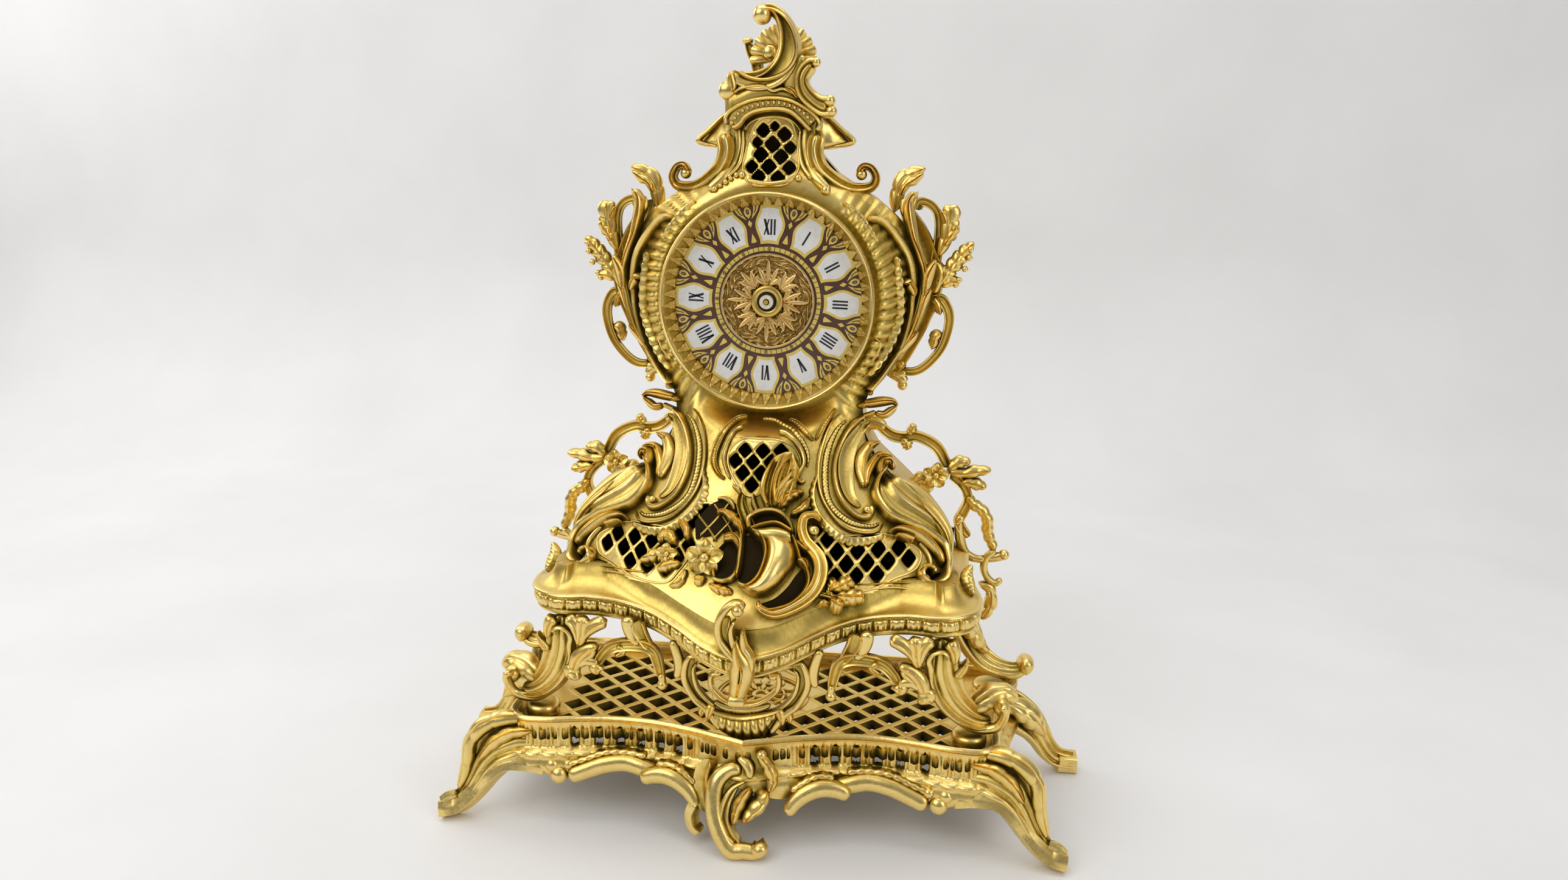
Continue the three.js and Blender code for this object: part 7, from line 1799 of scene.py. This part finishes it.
def buildWings():
    y = wingDepth
    at = upright(y, wingBroad)
    leaf = leafOf(at, back=2.2, lobes=(3, 0.26), veins=0.3, lean=0.6, bend=0.12)
    parts = [
        leaf([(64, 313), (66, 325.5), (69.5, 331), (79.5, 336)], [2.4, 3.4, 3.4, 0.7], 3),
        leaf([(67, 321.5), (69.5, 327), (74, 330), (78.5, 333.5)], [1.2, 2.2, 2, 0.6], 4.2),
        at([(76, 314.5), (77.5, 318.5), (82.5, 317.5), (86.5, 313), (88, 299.5), (86.5, 286)],
            [2.2, 1.8, 1.8, 2.3, 2.4], 2.6, "gutter", back=2.4, rounded=True),
        leaf([(88, 290), (90.5, 297), (93.5, 310.5), (93, 317)], ([1.8, 3, 3.4, 2.6], [1.8, 3, 4, 4.2, 2.2]), 3.2),
        at([(90.5, 295.5), (93.5, 300.5), (96, 304.5), (96.5, 307.5)], [1.4, 2.4, 2.6, 1.6], 4.4, "leaf", back=2,
            lobes=(3, 0.3), veins=0.3),
        at([(91.5, 307), (90, 311.5), (88, 314.5)], [1.2, 1.8, 0.8], 3.8, "leaf", back=2),
        at([(68, 318), (76, 304), (81.5, 292), (85.5, 281), (85, 270), (80, 254), (74.5, 242), (69, 232), (64, 224)],
            [2, 4.3, 4.5, 4.2, 3.4, 3.1, 2.6], 3, "gutter", back=2.6, rounded=True),
        at([(86.5, 287.5), (89, 282), (88, 276), (86, 270.5)], [2.2, 2.8, 2.8, 2], 3.6, "leaf", back=2.4),
        leaf([(87.5, 274.5), (91.5, 280), (101, 292.5), (106.5, 298)], ([2, 3, 3, 2.6, 0.8], [2.4, 3.9, 3.4, 0.8]), 3.4,
            lobes=(6, 0.28), veins=0.45),
        leaf([(90, 274), (94.5, 277), (99.5, 277)], [1.8, 2.8, 1.2], 3.6),
        at([(85.5, 267), (90.5, 267.5), (94, 263), (95.5, 256.5), (92, 241.5), (82.5, 230), (77, 227.5), (72, 227.5)],
            [2.4, 1.9, 1.8], 2.6, "gutter", back=2.2, rounded=True),
        at([(92, 249), (88.5, 247.5), (87.5, 243), (86.5, 240)], [1.6, 2.6, 2.4, 0.8], 3, "leaf", back=1.8,
            lobes=(2, 0.25), veins=0.3),
        at([(86, 268.5), (88.5, 265), (90.5, 259)], [1.4, 2.2, 1], 3.4, "leaf", back=1.8, lobes=(3, 0.25), veins=0.3),
        at([(67, 224), (70, 225.5), (73.5, 227)], [1.8, 2, 1.8], 2.4, back=2, rounded=True),
        at([(65, 226.5), (70.5, 223.5), (73, 220.5)], [2.4, 2.4, 2.4], 2.4, back=2, rounded=True),
    ]
    for x, z in [(105, 294.5), (104.5, 290), (102.5, 284), (99.5, 278), (98, 275.5)]:
        parts.append(ball(x, z, 1.7, y=y - 2.2))
    for x, z in [(70.5, 231), (71.5, 219.5)]:
        parts.append(ball(x, z, 2.9, y=y))
    castPair("wing", parts, "wing")


def buildGarlands():
    y = wingDepth
    at = upright(y, wingBroad)
    leaf = leafOf(at, back=2.2, lobes=(3, 0.28), veins=0.35, lean=0.6, bend=0.12)
    parts = [
        at([(58, 197.5), (67, 191), (73.5, 190), (80, 191), (91.5, 185.5), (98.5, 174)], [2.2, 2.6, 2.5, 2.6, 2.2], 2.8,
            "gutter", back=2.4, rounded=True),
        at([(52, 197), (58, 197.5), (63, 194.5)], [3, 3, 2.4], 2.6, back=2.4, rounded=True),
        leaf([(74.5, 192), (77.5, 194.5), (79, 197.5)], [1.6, 2.2, 0.7], 3),
        leaf([(71.5, 190), (74.5, 187), (76.5, 183)], [2, 2.6, 0.7], 3),
        at([(82, 164.5), (86.5, 162.5), (90.5, 159.5)], [1.6, 2.2, 2.6], 2.6, back=2, rounded=True),
        leaf([(98.5, 171.5), (106, 170.5), (114, 172), (122.5, 173)], [1.8, 2.6, 2.6, 0.8], 3.2),
        leaf([(106, 166), (112.5, 165), (120.5, 163)], [1.8, 2.8, 0.8], 3.2),
        leaf([(98, 172), (104, 176.5), (111, 177.5)], [1.8, 2.8, 0.8], 3),
        leaf([(90, 165), (84, 166.5), (79, 163.5)], [2.2, 2.8, 0.8], 3),
        at([(100.5, 169.5), (106, 165), (109.5, 160), (110.5, 154.5), (108, 147.5), (106, 142.5), (112, 133)],
            [2.2, 2.1, 2.4, 1.8], 2.6, "gutter", back=2.2, rounded=True),
        at([(110, 157.5), (114, 152.5), (119, 149), (122, 143.5), (122.5, 137), (125, 130), (127.5, 126.5)],
            [1.8, 2.6, 2.6, 2.7, 2.5, 2], 2.8, "leaf", back=2.2, lobes=(7, 0.3), veins=0.3),
        at([(121, 120.5), (127.5, 121.5), (132.5, 123)], [2, 2, 2.2], 2.2, back=2, rounded=True),
        at([(127.5, 126), (123, 121.5), (121.5, 115), (124, 109), (128.5, 106), (132, 108.5)], [1.6, 1.7, 1.5], 2.6,
            back=2.2, rounded=True),
        at([(106, 142.5), (107.5, 131), (111, 123), (118.5, 120), (122, 121)], [2, 2.2, 1.6], 2.4, back=2,
            rounded=True),
        leaf([(119, 105.5), (125, 102.5), (126.5, 95.5), (125, 88.5), (121.5, 83.5)], [1.8, 2.9, 2.8, 1.2], 2.8),
        ball(132.4, 123.3, 3.1, y=y),
        ball(106.5, 143.6, 3, y=y),
    ]
    parts += flower(92, y - 2.4, 169.7, 7.4, (0, -1, 0), 2.6, 0.2)
    castPair("garland", parts, "garland")


buildWings()
buildGarlands()


def shadeRecesses():
    # painted shade: share of metal close in front of each point, from a grid of small cells blurred along each axis; it
    # darkens the colour of recesses, as their shade and their patina
    cell, margin = 1.5, 30
    cloud = {name: np.empty(len(obj.data.vertices) * 3, np.float32) for name, obj in made.items()}
    for name, obj in made.items():
        obj.data.vertices.foreach_get("co", cloud[name])
    cloud = {name: c.reshape(-1, 3) * 1000 for name, c in cloud.items()}
    points = np.concatenate(list(cloud.values()))
    low = points.min(0) - margin
    shape = np.ceil((points.max(0) + margin - low) / cell).astype(int)
    grid = np.zeros(shape, np.float32)
    i = ((points - low) / cell).astype(int)
    grid[i[:, 0], i[:, 1], i[:, 2]] = 1
    for axis in (0, 1, 2):
        total = np.cumsum(grid, axis)
        grid = np.clip((np.roll(total, -2, axis) - np.roll(total, 3, axis)) / 5, 0, 1)
    for name, obj in made.items():
        v = cloud[name]
        n = np.empty(len(v) * 3, np.float32)
        obj.data.vertices.foreach_get("normal", n)
        n = n.reshape(-1, 3)
        closeness = np.zeros(len(v))
        for reach, weight in ((4.0, 0.45), (7.0, 0.35), (12.0, 0.2)):
            j = ((v + n * reach - low) / cell).astype(int)
            closeness += weight * grid[j[:, 0], j[:, 1], j[:, 2]]
        attribute = obj.data.attributes.new("shade", "FLOAT", "POINT")
        attribute.data.foreach_set("value", np.clip(closeness * 3.2 - 0.1, 0, 1).astype(np.float32))
    print("recesses shaded")


shadeRecesses()
for node, material in keptNodes.items():
    mesh = frame["nodes"][node].data
    mesh.materials.clear()
    mesh.materials.append(material)
